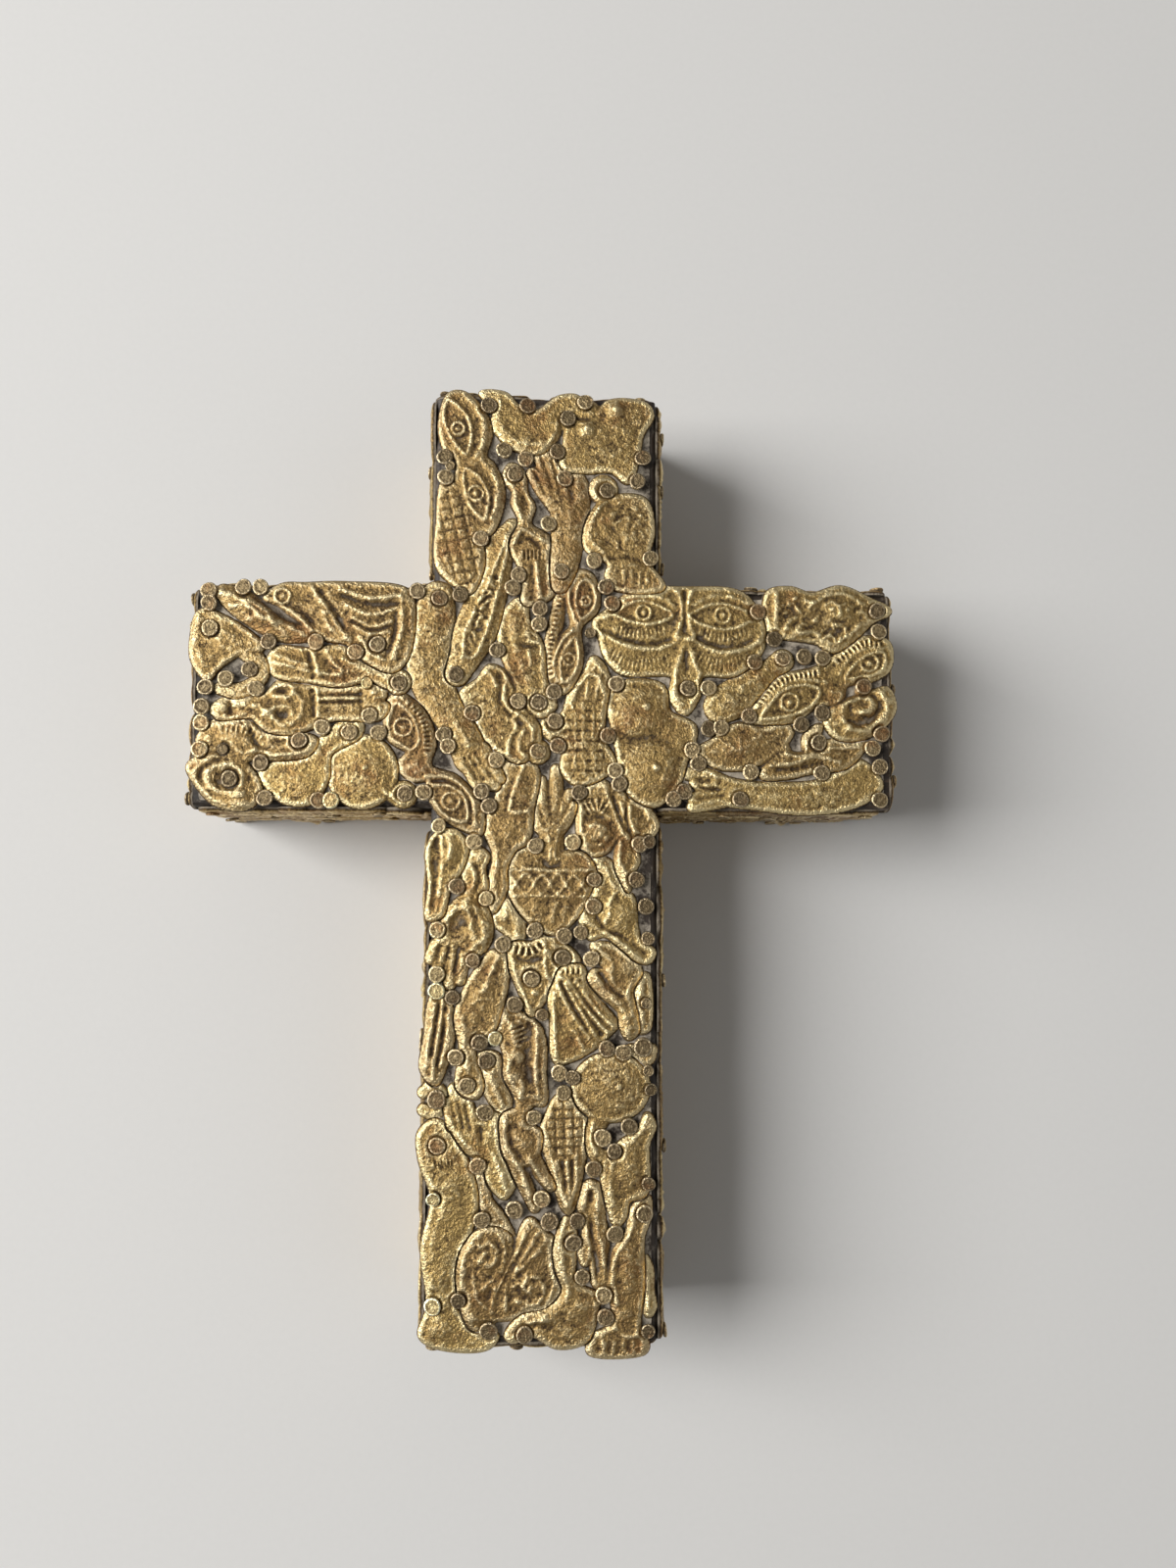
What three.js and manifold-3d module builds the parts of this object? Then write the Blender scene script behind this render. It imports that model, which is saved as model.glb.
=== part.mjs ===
import * as THREE from 'three';
import { mergeVertices } from 'three/addons/utils/BufferGeometryUtils.js';
import Module from 'manifold-3d';

const wasm = await Module();
wasm.setup();

// A milagro cross: two half-lapped boards covered with small stamped brass charms,
// each held by flat-headed nails. Millimetres. The cross lies on its back:
// +Z is out of its front, +Y is towards its top, and the back face is z = 0.

// Boards
const boardThickness = 24;
const postWidth = 36;
const postLength = 149.2;
const beamWidth = 35;
const beamLength = 111.2;
const beamHeight = 25;
const edgeRadius = 1;
const lapDepth = 12;
const lapGap = 0.3;

// Charms and the nails that hold them
const charmThickness = 0.95;
const charmRim = 0.35;
const charmGap = 0.4;
const nailGap = 0.1;
const reliefHeight = 0.3;
const reliefFoot = 0.6;
const nailHeadRadius = 1.3;
const nailHeadHeight = 0.45;
const nailHeadSunk = 0.05;
const nailSides = 8;

// Rows of charms on the side faces: their room to the face's edges and at the inner
// corners, and how far neighbours lie over each other
const sideMargin = 0.5;
const cornerRoom = 3;
const sideOverlap = 1;

// Nails that hold the lap, driven from the back
const lapNailRadius = 1.4;
const lapNailLength = 19;
const lapNailHeadRadius = 3.4;
const lapNailHeadHeight = 1;
const lapNailSpacing = 18;

// Blind hole for a wall nail, in the post's back
const hangHoleRadius = 2.2;
const hangHoleDepth = 10;
const hangHoleFromTop = 14;

// Spacing of the points along an outline, and how far a left-out point may lie off it
const outlineStep = 1.2;
const limbStep = 2;
const outlineTolerance = 0.24;
const sideTolerance = 0.4;
const cutTolerance = 0.08;

// The charms are laid out for boards of these sizes and move with the boards' edges
const layout = {
  postWidth: 36, postLength: 149.2, beamWidth: 35, beamLength: 111.2, beamHeight: 25,
};

const brass = new THREE.MeshStandardMaterial({ color: 0xa88545, metalness: 1, roughness: 0.45 });
const wood = new THREE.MeshStandardMaterial({ color: 0x2a1f16, metalness: 0, roughness: 0.7 });
const iron = new THREE.MeshStandardMaterial({ color: 0x6d6a66, metalness: 1, roughness: 0.6 });

// Outlines. Each is a closed ring of [x, y] points, counterclockwise, and can be asked
// for wider (negative inset) or narrower (positive inset) with the same number of points.

function plate(...points) {
  const through = points.map(([x, y]) => new THREE.Vector3(x, y, 0));
  const curve = new THREE.CatmullRomCurve3(through, true, 'centripetal');
  const count = Math.max(8, Math.round(curve.getLength() / outlineStep));
  const ring = curve.getSpacedPoints(count).slice(0, count).map((p) => [p.x, p.y]);
  if (THREE.ShapeUtils.area(ring.map(([x, y]) => new THREE.Vector2(x, y))) < 0) ring.reverse();
  return (inset) => shifted(ring, inset);
}

function oval(x, y, radiusX, radiusY = radiusX, sides = 0) {
  const count = sides || Math.max(8, Math.round((Math.PI * (radiusX + radiusY)) / outlineStep));
  return (inset) => Array.from({ length: count }, (_, k) => {
    const angle = (2 * Math.PI * (k + 0.5)) / count;
    return [x + (radiusX - inset) * Math.cos(angle), y + (radiusY - inset) * Math.sin(angle)];
  });
}

// A limb tapers along a smooth line through [x, y, radius] stations and ends round
function limb(...stations) {
  const line = new THREE.CatmullRomCurve3(
    stations.map(([x, y, r]) => new THREE.Vector3(x, y, r)), false, 'centripetal');
  const steps = Math.max(1, Math.round(line.getLength() / limbStep));
  const along = Array.from({ length: steps + 1 }, (_, k) => line.getPointAt(k / steps));
  const heading = along.map((_, k) => {
    const from = along[Math.max(0, k - 1)];
    const to = along[Math.min(steps, k + 1)];
    return Math.atan2(to.y - from.y, to.x - from.x);
  });
  return (inset) => {
    const at = (k, turn) => {
      const radius = along[k].z - inset;
      const angle = heading[k] + turn;
      return [along[k].x + radius * Math.cos(angle), along[k].y + radius * Math.sin(angle)];
    };
    const right = along.map((_, k) => at(k, -Math.PI / 2));
    const left = along.map((_, k) => at(steps - k, Math.PI / 2));
    const tip = [at(steps, -Math.PI / 5), at(steps, Math.PI / 5)];
    const tail = [at(0, Math.PI * 0.8), at(0, Math.PI * 1.2)];
    return [...right, ...tip, ...left, ...tail];
  };
}

// Moves each point of a ring inwards, square to the ring there
function shifted(ring, inset) {
  return ring.map(([x, y], k) => {
    const before = ring[(k + ring.length - 1) % ring.length];
    const after = ring[(k + 1) % ring.length];
    const dx = after[0] - before[0];
    const dy = after[1] - before[1];
    const length = Math.hypot(dx, dy) || 1;
    return [x - (inset * dy) / length, y + (inset * dx) / length];
  });
}

// A copy of an outline, turned about a centre and moved by a step
function moved(outline, centre, turn, step) {
  const cos = Math.cos(turn);
  const sin = Math.sin(turn);
  return (inset) => outline(inset).map(([x, y]) => {
    const dx = x - centre[0];
    const dy = y - centre[1];
    return [centre[0] + dx * cos - dy * sin + step[0], centre[1] + dx * sin + dy * cos + step[1]];
  });
}

// Solids

// A closed solid through levels. Each level is a list of loops, the outer one first and
// then any holes, with the same points in the same order at every level.
function loft(levels) {
  const loops = levels[0].loops;
  const count = loops.flat().length;
  const flat = ({ loops: rings, height }) => rings.flat().flatMap(([x, y]) => [x, y, height]);
  const [contour, ...holes] = loops.map((loop) => loop.map(([x, y]) => new THREE.Vector2(x, y)));
  const cap = THREE.ShapeUtils.triangulateShape(contour, holes);
  const top = (levels.length - 1) * count;
  const index = cap.flatMap(([a, b, c]) => [a, c, b, top + a, top + b, top + c]);
  for (let level = 0; level + 1 < levels.length; level += 1) {
    let first = level * count;
    loops.forEach((loop) => {
      loop.forEach((_, k) => {
        const here = first + k;
        const next = first + ((k + 1) % loop.length);
        index.push(here, next, next + count, here, next + count, here + count);
      });
      first += loop.length;
    });
  }
  return solid(levels.flatMap(flat), index);
}

const prism = (loops, low, high) => loft([{ loops, height: low }, { loops, height: high }]);

function solid(vertices, triangles) {
  return new wasm.Manifold(new wasm.Mesh({
    numProp: 3, vertProperties: new Float32Array(vertices), triVerts: new Uint32Array(triangles),
  }));
}

function fromGeometry(geometry) {
  geometry.deleteAttribute('normal');
  geometry.deleteAttribute('uv');
  const merged = mergeVertices(geometry, 1e-3);
  return solid(merged.attributes.position.array, merged.index.array);
}

function toMesh(name, shape, material) {
  const mesh = shape.getMesh();
  const geometry = new THREE.BufferGeometry();
  geometry.setAttribute('position', new THREE.BufferAttribute(mesh.vertProperties, 3));
  geometry.setIndex(new THREE.BufferAttribute(mesh.triVerts, 1));
  geometry.computeVertexNormals();
  const result = new THREE.Mesh(geometry, material);
  result.name = name;
  return result;
}

// A solid on a face: u and v run along the face and w stands out of it.
// place maps (u, v, w) to (x, y, z).
function onFace(shape, place) {
  const mesh = shape.getMesh();
  const vertices = [];
  for (let k = 0; k < mesh.vertProperties.length; k += 3) {
    vertices.push(...place(...mesh.vertProperties.slice(k, k + 3)));
  }
  return solid(vertices, mesh.triVerts);
}

function box(x0, x1, y0, y1, z0, z1) {
  const geometry = new THREE.BoxGeometry(x1 - x0, y1 - y0, z1 - z0);
  geometry.translate((x0 + x1) / 2, (y0 + y1) / 2, (z0 + z1) / 2);
  return fromGeometry(geometry);
}

const union = (solids) => solids.reduce((whole, next) => whole.add(next));

// The largest single body of a solid: a neighbour's room can cut off a sliver
function largestBody(shape) {
  const bodies = shape.decompose();
  return bodies.reduce((best, next) => (next.volume() > best.volume() ? next : best));
}

function rod(x, y, radius, z0, z1, sides = 12) {
  return prism([oval(x, y, radius, radius, sides)(0)], z0, z1);
}

// A raised line on a charm's face
function ridge(...stations) {
  const ring = simplified(limb(...stations)(0), outlineTolerance);
  return prism([ring], reliefFoot, charmThickness + reliefHeight);
}

// A raised round dome on a charm's face
function dome(x, y, radius, height) {
  const sides = radius > 2 ? 10 : 7;
  const level = (share, rise) => ({
    loops: [oval(x, y, radius * share, radius * share, sides)(0)],
    height: charmThickness + rise,
  });
  const foot = { ...level(1, 0), height: reliefFoot };
  if (radius <= 2) return loft([foot, level(0.7, height)]);
  return loft([foot, level(0.9, height * 0.55), level(0.5, height)]);
}

function nailHead([x, y]) {
  const crown = charmThickness + nailHeadHeight;
  return rod(x, y, nailHeadRadius, charmThickness - nailHeadSunk, crown, nailSides);
}

// The flat regions of an upright solid: for each, its outer loop and its holes
function regions(shape) {
  return shape.decompose().map((body) => {
    const { vertProperties: at, triVerts: index } = body.getMesh();
    const low = Math.min(...Array.from(at).filter((_, k) => k % 3 === 2));
    const next = new Map();
    for (let k = 0; k < index.length; k += 3) {
      const corner = [index[k], index[k + 1], index[k + 2]];
      if (corner.some((v) => at[3 * v + 2] !== low)) continue;
      corner.forEach((v, side) => next.set(`${corner[(side + 1) % 3]},${v}`, v));
    }
    const after = new Map();
    next.forEach((v, edge) => {
      const [from, to] = edge.split(',').map(Number);
      if (!next.has(`${to},${from}`)) after.set(from, to);
    });
    const loops = [];
    while (after.size) {
      const loop = [];
      let v = after.keys().next().value;
      while (after.has(v)) {
        const following = after.get(v);
        after.delete(v);
        loop.push([at[3 * v], at[3 * v + 1]]);
        v = following;
      }
      loops.push(simplified(loop, cutTolerance));
    }
    const size = (loop) => Math.abs(THREE.ShapeUtils.area(
      loop.map(([x, y]) => new THREE.Vector2(x, y))));
    return loops.filter((loop) => loop.length > 2).sort((a, b) => size(b) - size(a));
  }).filter((loops) => loops.length > 0);
}

// Leaves out the points of a loop that lie within the tolerance of the line without them
function simplified(loop, tolerance) {
  const kept = (from, to) => {
    const [x1, y1] = loop[from];
    const [x2, y2] = loop[to % loop.length];
    const length = Math.hypot(x2 - x1, y2 - y1) || 1;
    let worst = 0;
    let at = from;
    for (let k = from + 1; k < to; k += 1) {
      const [x, y] = loop[k];
      const off = Math.abs((x - x1) * (y2 - y1) - (y - y1) * (x2 - x1)) / length;
      if (off > worst) [worst, at] = [off, k];
    }
    if (worst < tolerance) return [loop[from]];
    return [...kept(from, at), ...kept(at, to)];
  };
  const far = loop.reduce((best, [x, y], k) => {
    const away = Math.hypot(x - loop[0][0], y - loop[0][1]);
    return away > best[0] ? [away, k] : best;
  }, [0, 0])[1];
  return [...kept(0, far), ...kept(far, loop.length)];
}

// The flat regions of the given outlines joined, with the room of other pieces cut away
function flats(outlines, rooms, tolerance) {
  const flat = (outline, inset) => prism([simplified(outline(inset), tolerance)], 0, 1);
  let shape = union(outlines.map((outline) => flat(outline, 0)));
  rooms.forEach((outline) => { shape = shape.subtract(flat(outline, -charmGap)); });
  return regions(shape).filter(([outer]) => outer.length > 3);
}

// A stamped plate, with sloping walls and a flat crown
function stamped(loops) {
  const crown = loops.map((loop) => shifted(loop, charmRim));
  return loft([{ loops, height: 0 }, { loops: crown, height: charmThickness }]);
}

// Charms of the front, in the order in which they lie on each other: the first is uppermost.
// Each has plates and limbs (outlines), and relief (ridges and domes).

const hand = (...fingers) => fingers.map((finger) => limb(...finger));

const charms = {
  // Upper post
  eyes_and_corn_upper: {
    outlines: [
      plate([-15.7, 75], [-17.1, 70.1], [-16.2, 65.8], [-14.3, 64.2], [-14.3, 60], [-12.4, 54.6],
        [-9.3, 51.9], [-7.4, 55.5], [-7.1, 59.5], [-8.6, 63.2], [-10, 64.8], [-9.2, 68.5],
        [-10.5, 72.5], [-13.7, 75.3]),
      plate([-16.4, 60.2], [-17.2, 54.3], [-17.1, 46.2], [-13.7, 43], [-12.1, 42.3],
        [-10.2, 46.8], [-10.9, 51.6], [-12.9, 55.6], [-13.8, 59.2]),
    ],
    relief: [dome(-14.3, 69.2, 1.6, 0.35), dome(-11.1, 58.3, 1.6, 0.35)],
    nails: [[-10.3, 72.7]],
  },
  crescent_and_chest: {
    outlines: [
      plate([-10.5, 75.3], [-6.8, 75.2], [-4.5, 73], [-1.6, 72.2], [2.4, 74.8], [5.1, 74.8],
        [5.3, 73.1], [2.5, 71.7], [1.8, 68.3], [-1, 65.6], [-5.3, 66.3], [-8.4, 69.8],
        [-8.4, 73]),
      plate([8.6, 72.2], [10.5, 74.1], [16.3, 73.7], [17.2, 72], [15.5, 68.5], [14.9, 64.8],
        [13.4, 60.9], [10.8, 62.6], [6.6, 62.5], [2.9, 63.1], [3.2, 66.7], [3.8, 70.1],
        [7.4, 70.9]),
      limb([4.2, 74, 0.9], [6.4, 72.8, 1.5], [8.3, 71.8, 1]),
      limb([1.9, 70.6, 0.8], [4.6, 69.8, 0.8]),
    ],
    relief: [
      dome(10.9, 72.3, 1.5, 0.4), dome(6.8, 69.3, 1.7, 0.4),
      ridge([-7.2, 74, 0.4], [-6, 69.4, 0.4], [-3, 67.2, 0.4], [0.2, 67.6, 0.4], [1.2, 71, 0.4]),
    ],
    nails: [[-3, 73.1], [3.6, 71.1], [15.4, 64.6]],
  },
  veiled_bust: {
    outlines: [
      plate([9.2, 57.2], [6.8, 53.3], [6.8, 49.6], [10.4, 47.2], [10.1, 45], [11.6, 43.1],
        [19, 43.3], [16.5, 47.6], [17.3, 52.7], [16.2, 57.6], [13.2, 58.4]),
      oval(9.4, 59.4, 1.9, 2),
    ],
    relief: [ridge([8.2, 51, 0.6], [11, 54.6, 0.6], [15, 53, 0.6], [15.2, 49.5, 0.5])],
    nails: [[9.6, 59.3], [16.7, 47.9]],
  },
  forearm_upper: {
    outlines: [
      limb([2.4, 43.6, 1], [2.9, 46, 1.7], [3.6, 50.5, 2.2], [4.1, 55.5, 2.8]),
      ...hand(
        [[1.9, 56.6, 1.1], [-0.6, 59.8, 0.9], [-2.1, 62, 0.6]],
        [[2.4, 57, 1], [0.3, 61.4, 0.8], [-1, 64.7, 0.5]],
        [[3, 57.6, 1], [1.5, 61.6, 0.8], [0.4, 65, 0.5]],
        [[3.8, 57.5, 1.2], [2.7, 60.4, 0.9], [1.9, 62.7, 0.5]],
        [[5.4, 56.6, 1.3], [5.6, 59.4, 1.2], [5.2, 61.4, 0.7]],
      ),
    ],
    relief: [],
    nails: [[2.4, 45.4]],
  },
  standing_man_upper: {
    outlines: [
      plate([-5.7, 63.3], [-3.9, 62.2], [-3.2, 58.5], [-2.1, 56.5], [-2.6, 53.5], [0.7, 51],
        [0.4, 48], [1.1, 42], [-3.2, 40.5], [-3.3, 44.8], [-5.4, 50], [-4, 53.8], [-5.2, 57],
        [-5.1, 58.8], [-6.6, 61.4]),
    ],
    relief: [
      ridge([-2.3, 47.6, 0.5], [-2.2, 42, 0.5]), ridge([-0.5, 47.6, 0.5], [-0.2, 42.6, 0.5]),
    ],
    nails: [[-5, 61.7], [-4.1, 45]],
  },
  pod_upper: {
    outlines: [
      limb([-5.4, 53.2, 0.8], [-7.2, 50, 1.6], [-8.4, 45, 2.3], [-9.8, 40, 2.7], [-11.3, 35.5, 2.9],
        [-12.6, 32, 2.1], [-14, 28.9, 1.5]),
    ],
    relief: [ridge([-7, 50, 0.5], [-8.3, 45, 0.9], [-9.8, 40, 1.2], [-11.4, 34.6, 1.2])],
    nails: [[-14.1, 28.8]],
  },
  // Left arm
  braid_and_robe: {
    outlines: [
      limb([-51.5, 41.8, 0.9], [-49, 40.3, 1.8], [-45.5, 38, 1.9], [-42, 35.9, 1.6], [-37, 35.4, 1.1]),
      plate([-44.7, 41], [-42.2, 42.9], [-38.5, 43.1], [-32.2, 43.3], [-22.2, 42.2], [-21.2, 38.7],
        [-22.3, 31.3], [-24.3, 29.4], [-28.5, 31], [-31.4, 33.7], [-35, 34.5], [-38.7, 36.8],
        [-42.7, 40]),
    ],
    relief: [
      dome(-42, 41.2, 1.2, 0.4), ridge([-36, 41.5, 0.6], [-33.5, 38, 0.6], [-32.5, 35.2, 0.5]),
      ridge([-30, 41.6, 0.5], [-27, 38, 0.5], [-24.3, 31.5, 0.5]),
    ],
    nails: [[-36.4, 34.4], [-21.6, 41.6]],
  },
  stomach: {
    outlines: [
      plate([-55, 38.6], [-50.3, 37.2], [-45.2, 32.9], [-49, 31.8], [-52.2, 29.5], [-53.6, 27.9],
        [-55.8, 30.5], [-56.2, 33.7]),
      limb([-48.5, 32.6, 0.9], [-45.8, 30.8, 0.9], [-45.2, 28.6, 0.8], [-46.6, 26.8, 0.8],
        [-49, 25.9, 0.8], [-51.5, 26.3, 0.6]),
    ],
    relief: [ridge([-54, 36.4, 0.6], [-53, 32.6, 0.8], [-50, 34.2, 0.6])],
    nails: [[-53.6, 35.9], [-50.6, 26.9]],
  },
  leaf: {
    outlines: [
      plate([-43.9, 30.2], [-42.9, 32.6], [-37.2, 32.5], [-32.4, 32.9], [-29.8, 30.6],
        [-25.8, 29.3], [-24.2, 28.4], [-25.2, 26.9], [-27.7, 27.9], [-32.7, 27], [-37.2, 27.6],
        [-42.7, 28.5]),
      oval(-23.4, 27.5, 1.6),
    ],
    relief: [ridge([-42, 30.4, 0.5], [-35, 30, 0.6], [-27, 28.6, 0.4])],
    nails: [[-23.2, 27.4]],
  },
  lying_man: {
    outlines: [
      plate([-52.6, 23.1], [-50, 24.8], [-44.8, 24.9], [-42, 27.4], [-38.7, 26.6], [-29.5, 26.4],
        [-25.9, 26.7], [-25.6, 25.2], [-27, 24.4], [-25.1, 23.7], [-26, 21.9], [-33.7, 21.5],
        [-37.6, 20], [-40, 19.3], [-44, 19.8], [-46.5, 21.8], [-51.8, 21.7]),
    ],
    relief: [
      dome(-50.3, 23.2, 1.2, 0.35), ridge([-46, 23.4, 0.8], [-41, 23.7, 1.1], [-37.5, 23.8, 0.8]),
      ridge([-35.6, 25.2, 0.7], [-28.5, 25.6, 0.5]), ridge([-35.6, 22.7, 0.6], [-28, 22.9, 0.5]),
    ],
    nails: [[-36.7, 20.6]],
  },
  boar_and_shell: {
    outlines: [
      plate([-54.7, 18.1], [-52.2, 20.9], [-47.7, 21.2], [-44.8, 19], [-38.6, 18.9], [-36.3, 18],
        [-37.4, 16], [-42.2, 15.2], [-45.8, 15.3], [-49.3, 14.2], [-50.5, 16.2], [-53.5, 16.5]),
      plate([-56.1, 13.9], [-52.7, 15.8], [-47.4, 14.2], [-45, 10.3], [-46.5, 7.5], [-51.6, 7.9],
        [-55.3, 11.8]),
    ],
    relief: [
      ridge([-52.5, 18.6, 0.7], [-46, 17.4, 1], [-40, 17.1, 0.6]),
      ridge([-53.6, 13.6, 0.6], [-52.4, 11, 0.6], [-49.4, 9.4, 0.6], [-47.2, 10, 0.6]),
    ],
    nails: [[-50.9, 15.8], [-54.2, 19.6]],
  },
  gourd: {
    outlines: [
      plate([-44.7, 12.6], [-42.5, 14.2], [-38.7, 14.6], [-35.6, 17.9], [-32.4, 20.6],
        [-29.3, 20.8], [-29.4, 19], [-34, 15.9], [-34.4, 12.1], [-36.6, 8.4], [-41.1, 8.4],
        [-44, 11.2]),
    ],
    relief: [dome(-38.7, 11.4, 2.6, 0.45)],
    nails: [[-30.8, 19.6]],
  },
  breast_disc_left: {
    outlines: [
      oval(-28.8, 13.1, 5.2, 5.5),
      limb([-25.8, 10.6, 1.3], [-23.9, 9.8, 1.1], [-22.3, 9.5, 1.7]),
    ],
    relief: [dome(-28.6, 13.4, 3.8, 0.5)],
    nails: [[-22.2, 9.5]],
  },
  eyes_left: {
    outlines: [
      plate([-25, 23.5], [-23.5, 25.5], [-19.5, 22.8], [-17.6, 18], [-18.2, 14], [-14, 12.2],
        [-11.4, 9.6], [-9.9, 7], [-10.1, 3.4], [-12.3, 4], [-15.8, 6], [-17.9, 9],
        [-18.6, 11.8], [-21, 11.9], [-23, 14.2], [-21.6, 16.2], [-24.6, 18.5]),
    ],
    relief: [dome(-21.9, 20.1, 1.6, 0.35), dome(-14.6, 8.4, 1.6, 0.35)],
    nails: [[-18.8, 10.6]],
  },
  // Centre
  bent_arm: {
    outlines: [
      limb([-17.3, 41.3, 2.2], [-17.9, 37, 3], [-18.7, 31, 3], [-17.6, 26.5, 2.8], [-15.4, 22.7, 2.2],
        [-13, 18.7, 2.3], [-11.6, 15.6, 2.4]),
      ...hand(
        [[-12.4, 15.2, 1], [-10.9, 12.2, 0.8], [-10.4, 11.2, 0.6]],
        [[-11.4, 15, 1], [-9.8, 12.2, 0.8], [-9.2, 11, 0.6]],
        [[-10.4, 15.4, 1], [-8.6, 12.4, 0.8], [-7.9, 11.1, 0.6]],
        [[-9.9, 16.6, 0.9], [-7.9, 13.4, 0.7], [-7.1, 12.1, 0.5]],
      ),
    ],
    relief: [],
    nails: [[-15.4, 41.8], [-15.7, 19.4]],
  },
  liver_and_kidneys: {
    outlines: [
      plate([-4.2, 41], [-6.8, 37.9], [-6.9, 33], [-4.9, 27.9], [-3.4, 24.8], [-0.8, 22.2],
        [1.5, 23.7], [0, 28], [-0.7, 33.8], [-2.8, 37.6], [-3.2, 40]),
      plate([-8.7, 30.1], [-5.8, 28.4], [-4.4, 24.4], [-1.2, 20.6], [-1.2, 17], [-3.9, 14.9],
        [-7.4, 16.8], [-10.6, 20.5], [-10.2, 23.4], [-13.2, 24], [-13, 26], [-10.6, 27.8]),
      limb([-2.6, 17.4, 1.2], [-1, 16.4, 1.5]),
    ],
    relief: [
      ridge([-5, 38.6, 0.5], [-4.2, 33.6, 0.8], [-2.6, 29, 0.5]),
      ridge([-8.3, 28.6, 0.6], [-6.4, 25.2, 0.7], [-4.6, 20.6, 0.7], [-5.4, 17.4, 0.6]),
    ],
    nails: [[-0.9, 23.8], [-1, 16.4], [-3.9, 24.7]],
  },
  eyes_upright: {
    outlines: [
      plate([4.9, 45.6], [3.5, 41.8], [4.4, 36.9], [2.7, 34.7], [1.1, 30.3], [3, 26.1],
        [5.4, 29.5], [5.8, 32.1], [5.6, 36.6], [8.2, 39.5], [8.5, 42.1], [7.2, 45.3]),
      limb([2.6, 42, 0.6], [2, 38.4, 0.7], [1.3, 34.6, 0.8], [0.7, 31.4, 0.8], [1.2, 28.6, 0.6]),
    ],
    relief: [dome(6.4, 40.8, 1.4, 0.35), dome(3.7, 31.2, 1.3, 0.35)],
    nails: [[6.3, 36.6]],
  },
  window_house: {
    outlines: [
      plate([7.9, 31.6], [6.3, 28.4], [4.1, 25.6], [3, 22.4], [-0.2, 21], [1, 18.5],
        [3.2, 17.9], [3.1, 13.4], [5.3, 11.4], [9.5, 12.7], [11, 14.7], [9.3, 18.5],
        [9.5, 23.2], [10, 29]),
    ],
    relief: [
      ridge([5, 14, 0.35], [4.9, 24.4, 0.35]), ridge([7.9, 14, 0.35], [8, 27.6, 0.35]),
      ridge([4, 16, 0.35], [9.4, 16.2, 0.35]), ridge([4, 20.4, 0.35], [9, 20.6, 0.35]),
      ridge([5, 24.4, 0.35], [9.2, 24.6, 0.35]),
    ],
    nails: [[1.7, 21.1], [9.8, 19]],
  },
  breast_pair: {
    outlines: [
      plate([10.5, 25.8], [13.7, 27.8], [18.9, 27], [19.9, 23], [24, 20.4], [22.4, 14.5],
        [21, 10.8], [17.6, 8], [13.9, 9.8], [12.5, 13.8], [11.4, 19.2]),
    ],
    relief: [dome(15.6, 22.6, 4.1, 0.5), dome(17.3, 14, 4.2, 0.5)],
    nails: [[11.8, 26.8]],
  },
  eyes_large: {
    outlines: [
      plate([8.1, 37.3], [10.3, 39.4], [14.7, 42.6], [22.5, 43], [31.7, 42.3], [34.8, 38.2],
        [35, 33.4], [30.9, 29.3], [25.2, 28.8], [24.6, 25.5], [22.5, 22.8], [20.4, 25.5],
        [20.6, 28.8], [12.6, 29.3], [10, 31.8], [9, 35]),
    ],
    relief: [
      dome(15.8, 38.8, 1.8, 0.4), dome(28.7, 38.5, 1.8, 0.4),
      ridge([10.6, 36, 0.4], [15, 34.2, 0.4], [19.8, 34.4, 0.4]),
      ridge([24, 34.4, 0.4], [29, 33.2, 0.4], [33.6, 35, 0.4]),
    ],
    nails: [[22.8, 26.2], [10.9, 40.1]],
  },
  // Right arm
  bearded_bust: {
    outlines: [
      plate([36.2, 42.4], [39.8, 43.2], [43.3, 42.2], [48, 43.4], [52.7, 41.5], [55.9, 39.7],
        [53.3, 38.2], [50.4, 35.5], [46.7, 33.2], [43.8, 34.6], [38.3, 35.5], [36.4, 36.6]),
    ],
    relief: [dome(47.6, 38.6, 2.6, 0.5), ridge([38, 37, 0.6], [42, 38.4, 0.7], [42.6, 41, 0.5])],
    nails: [[54, 39.6], [37.2, 35.3]],
  },
  club: {
    outlines: [
      limb([38.4, 31.4, 1.4], [36, 29.7, 1.2], [33, 27.2, 1.9], [29.8, 24.8, 2.6], [28.4, 23.9, 2.3]),
    ],
    relief: [],
    nails: [[38.2, 31.4]],
  },
  eyes_and_shell_right: {
    outlines: [
      plate([33.5, 21.8], [35.1, 26], [38, 28.6], [43.8, 30.1], [47.5, 32.3], [51.7, 35.1],
        [55.6, 34.4], [55.6, 30.3], [52.2, 28.2], [48.6, 27.5], [47.7, 24.9], [43.8, 24.2],
        [40.6, 22], [36.5, 21.4]),
      plate([45.4, 21.3], [46.9, 23.9], [52.7, 26.2], [55.4, 26.8], [56.3, 23.5], [52.7, 19.6],
        [47.5, 18.9]),
      limb([51.4, 26, 0.9], [51.6, 28.6, 0.9]),
    ],
    relief: [
      dome(39.3, 24.8, 1.7, 0.35), dome(52.4, 31.3, 1.8, 0.35),
      ridge([48, 22.4, 0.5], [50.6, 24, 0.6], [53.6, 23.6, 0.5], [52.4, 21.4, 0.5]),
    ],
    nails: [[51.5, 27.3], [45.2, 22.6]],
  },
  bean_and_dog: {
    outlines: [
      plate([24.7, 16.6], [26.9, 18.2], [31.2, 20.9], [35, 20.1], [38.5, 21], [39.7, 19.9],
        [36.9, 16.2], [31.7, 14], [27.2, 14.4]),
      plate([34.9, 12.7], [37.2, 16], [38.6, 17.8], [39.6, 16.4], [41.6, 16.4], [41.9, 19],
        [44.3, 20.8], [43.9, 17.8], [46.7, 18.4], [51.5, 18], [48.5, 14.4], [43.3, 13.6],
        [38.8, 12.6]),
    ],
    relief: [
      ridge([27, 16.2, 0.6], [32, 17.6, 0.9], [37, 18.6, 0.6]),
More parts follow.
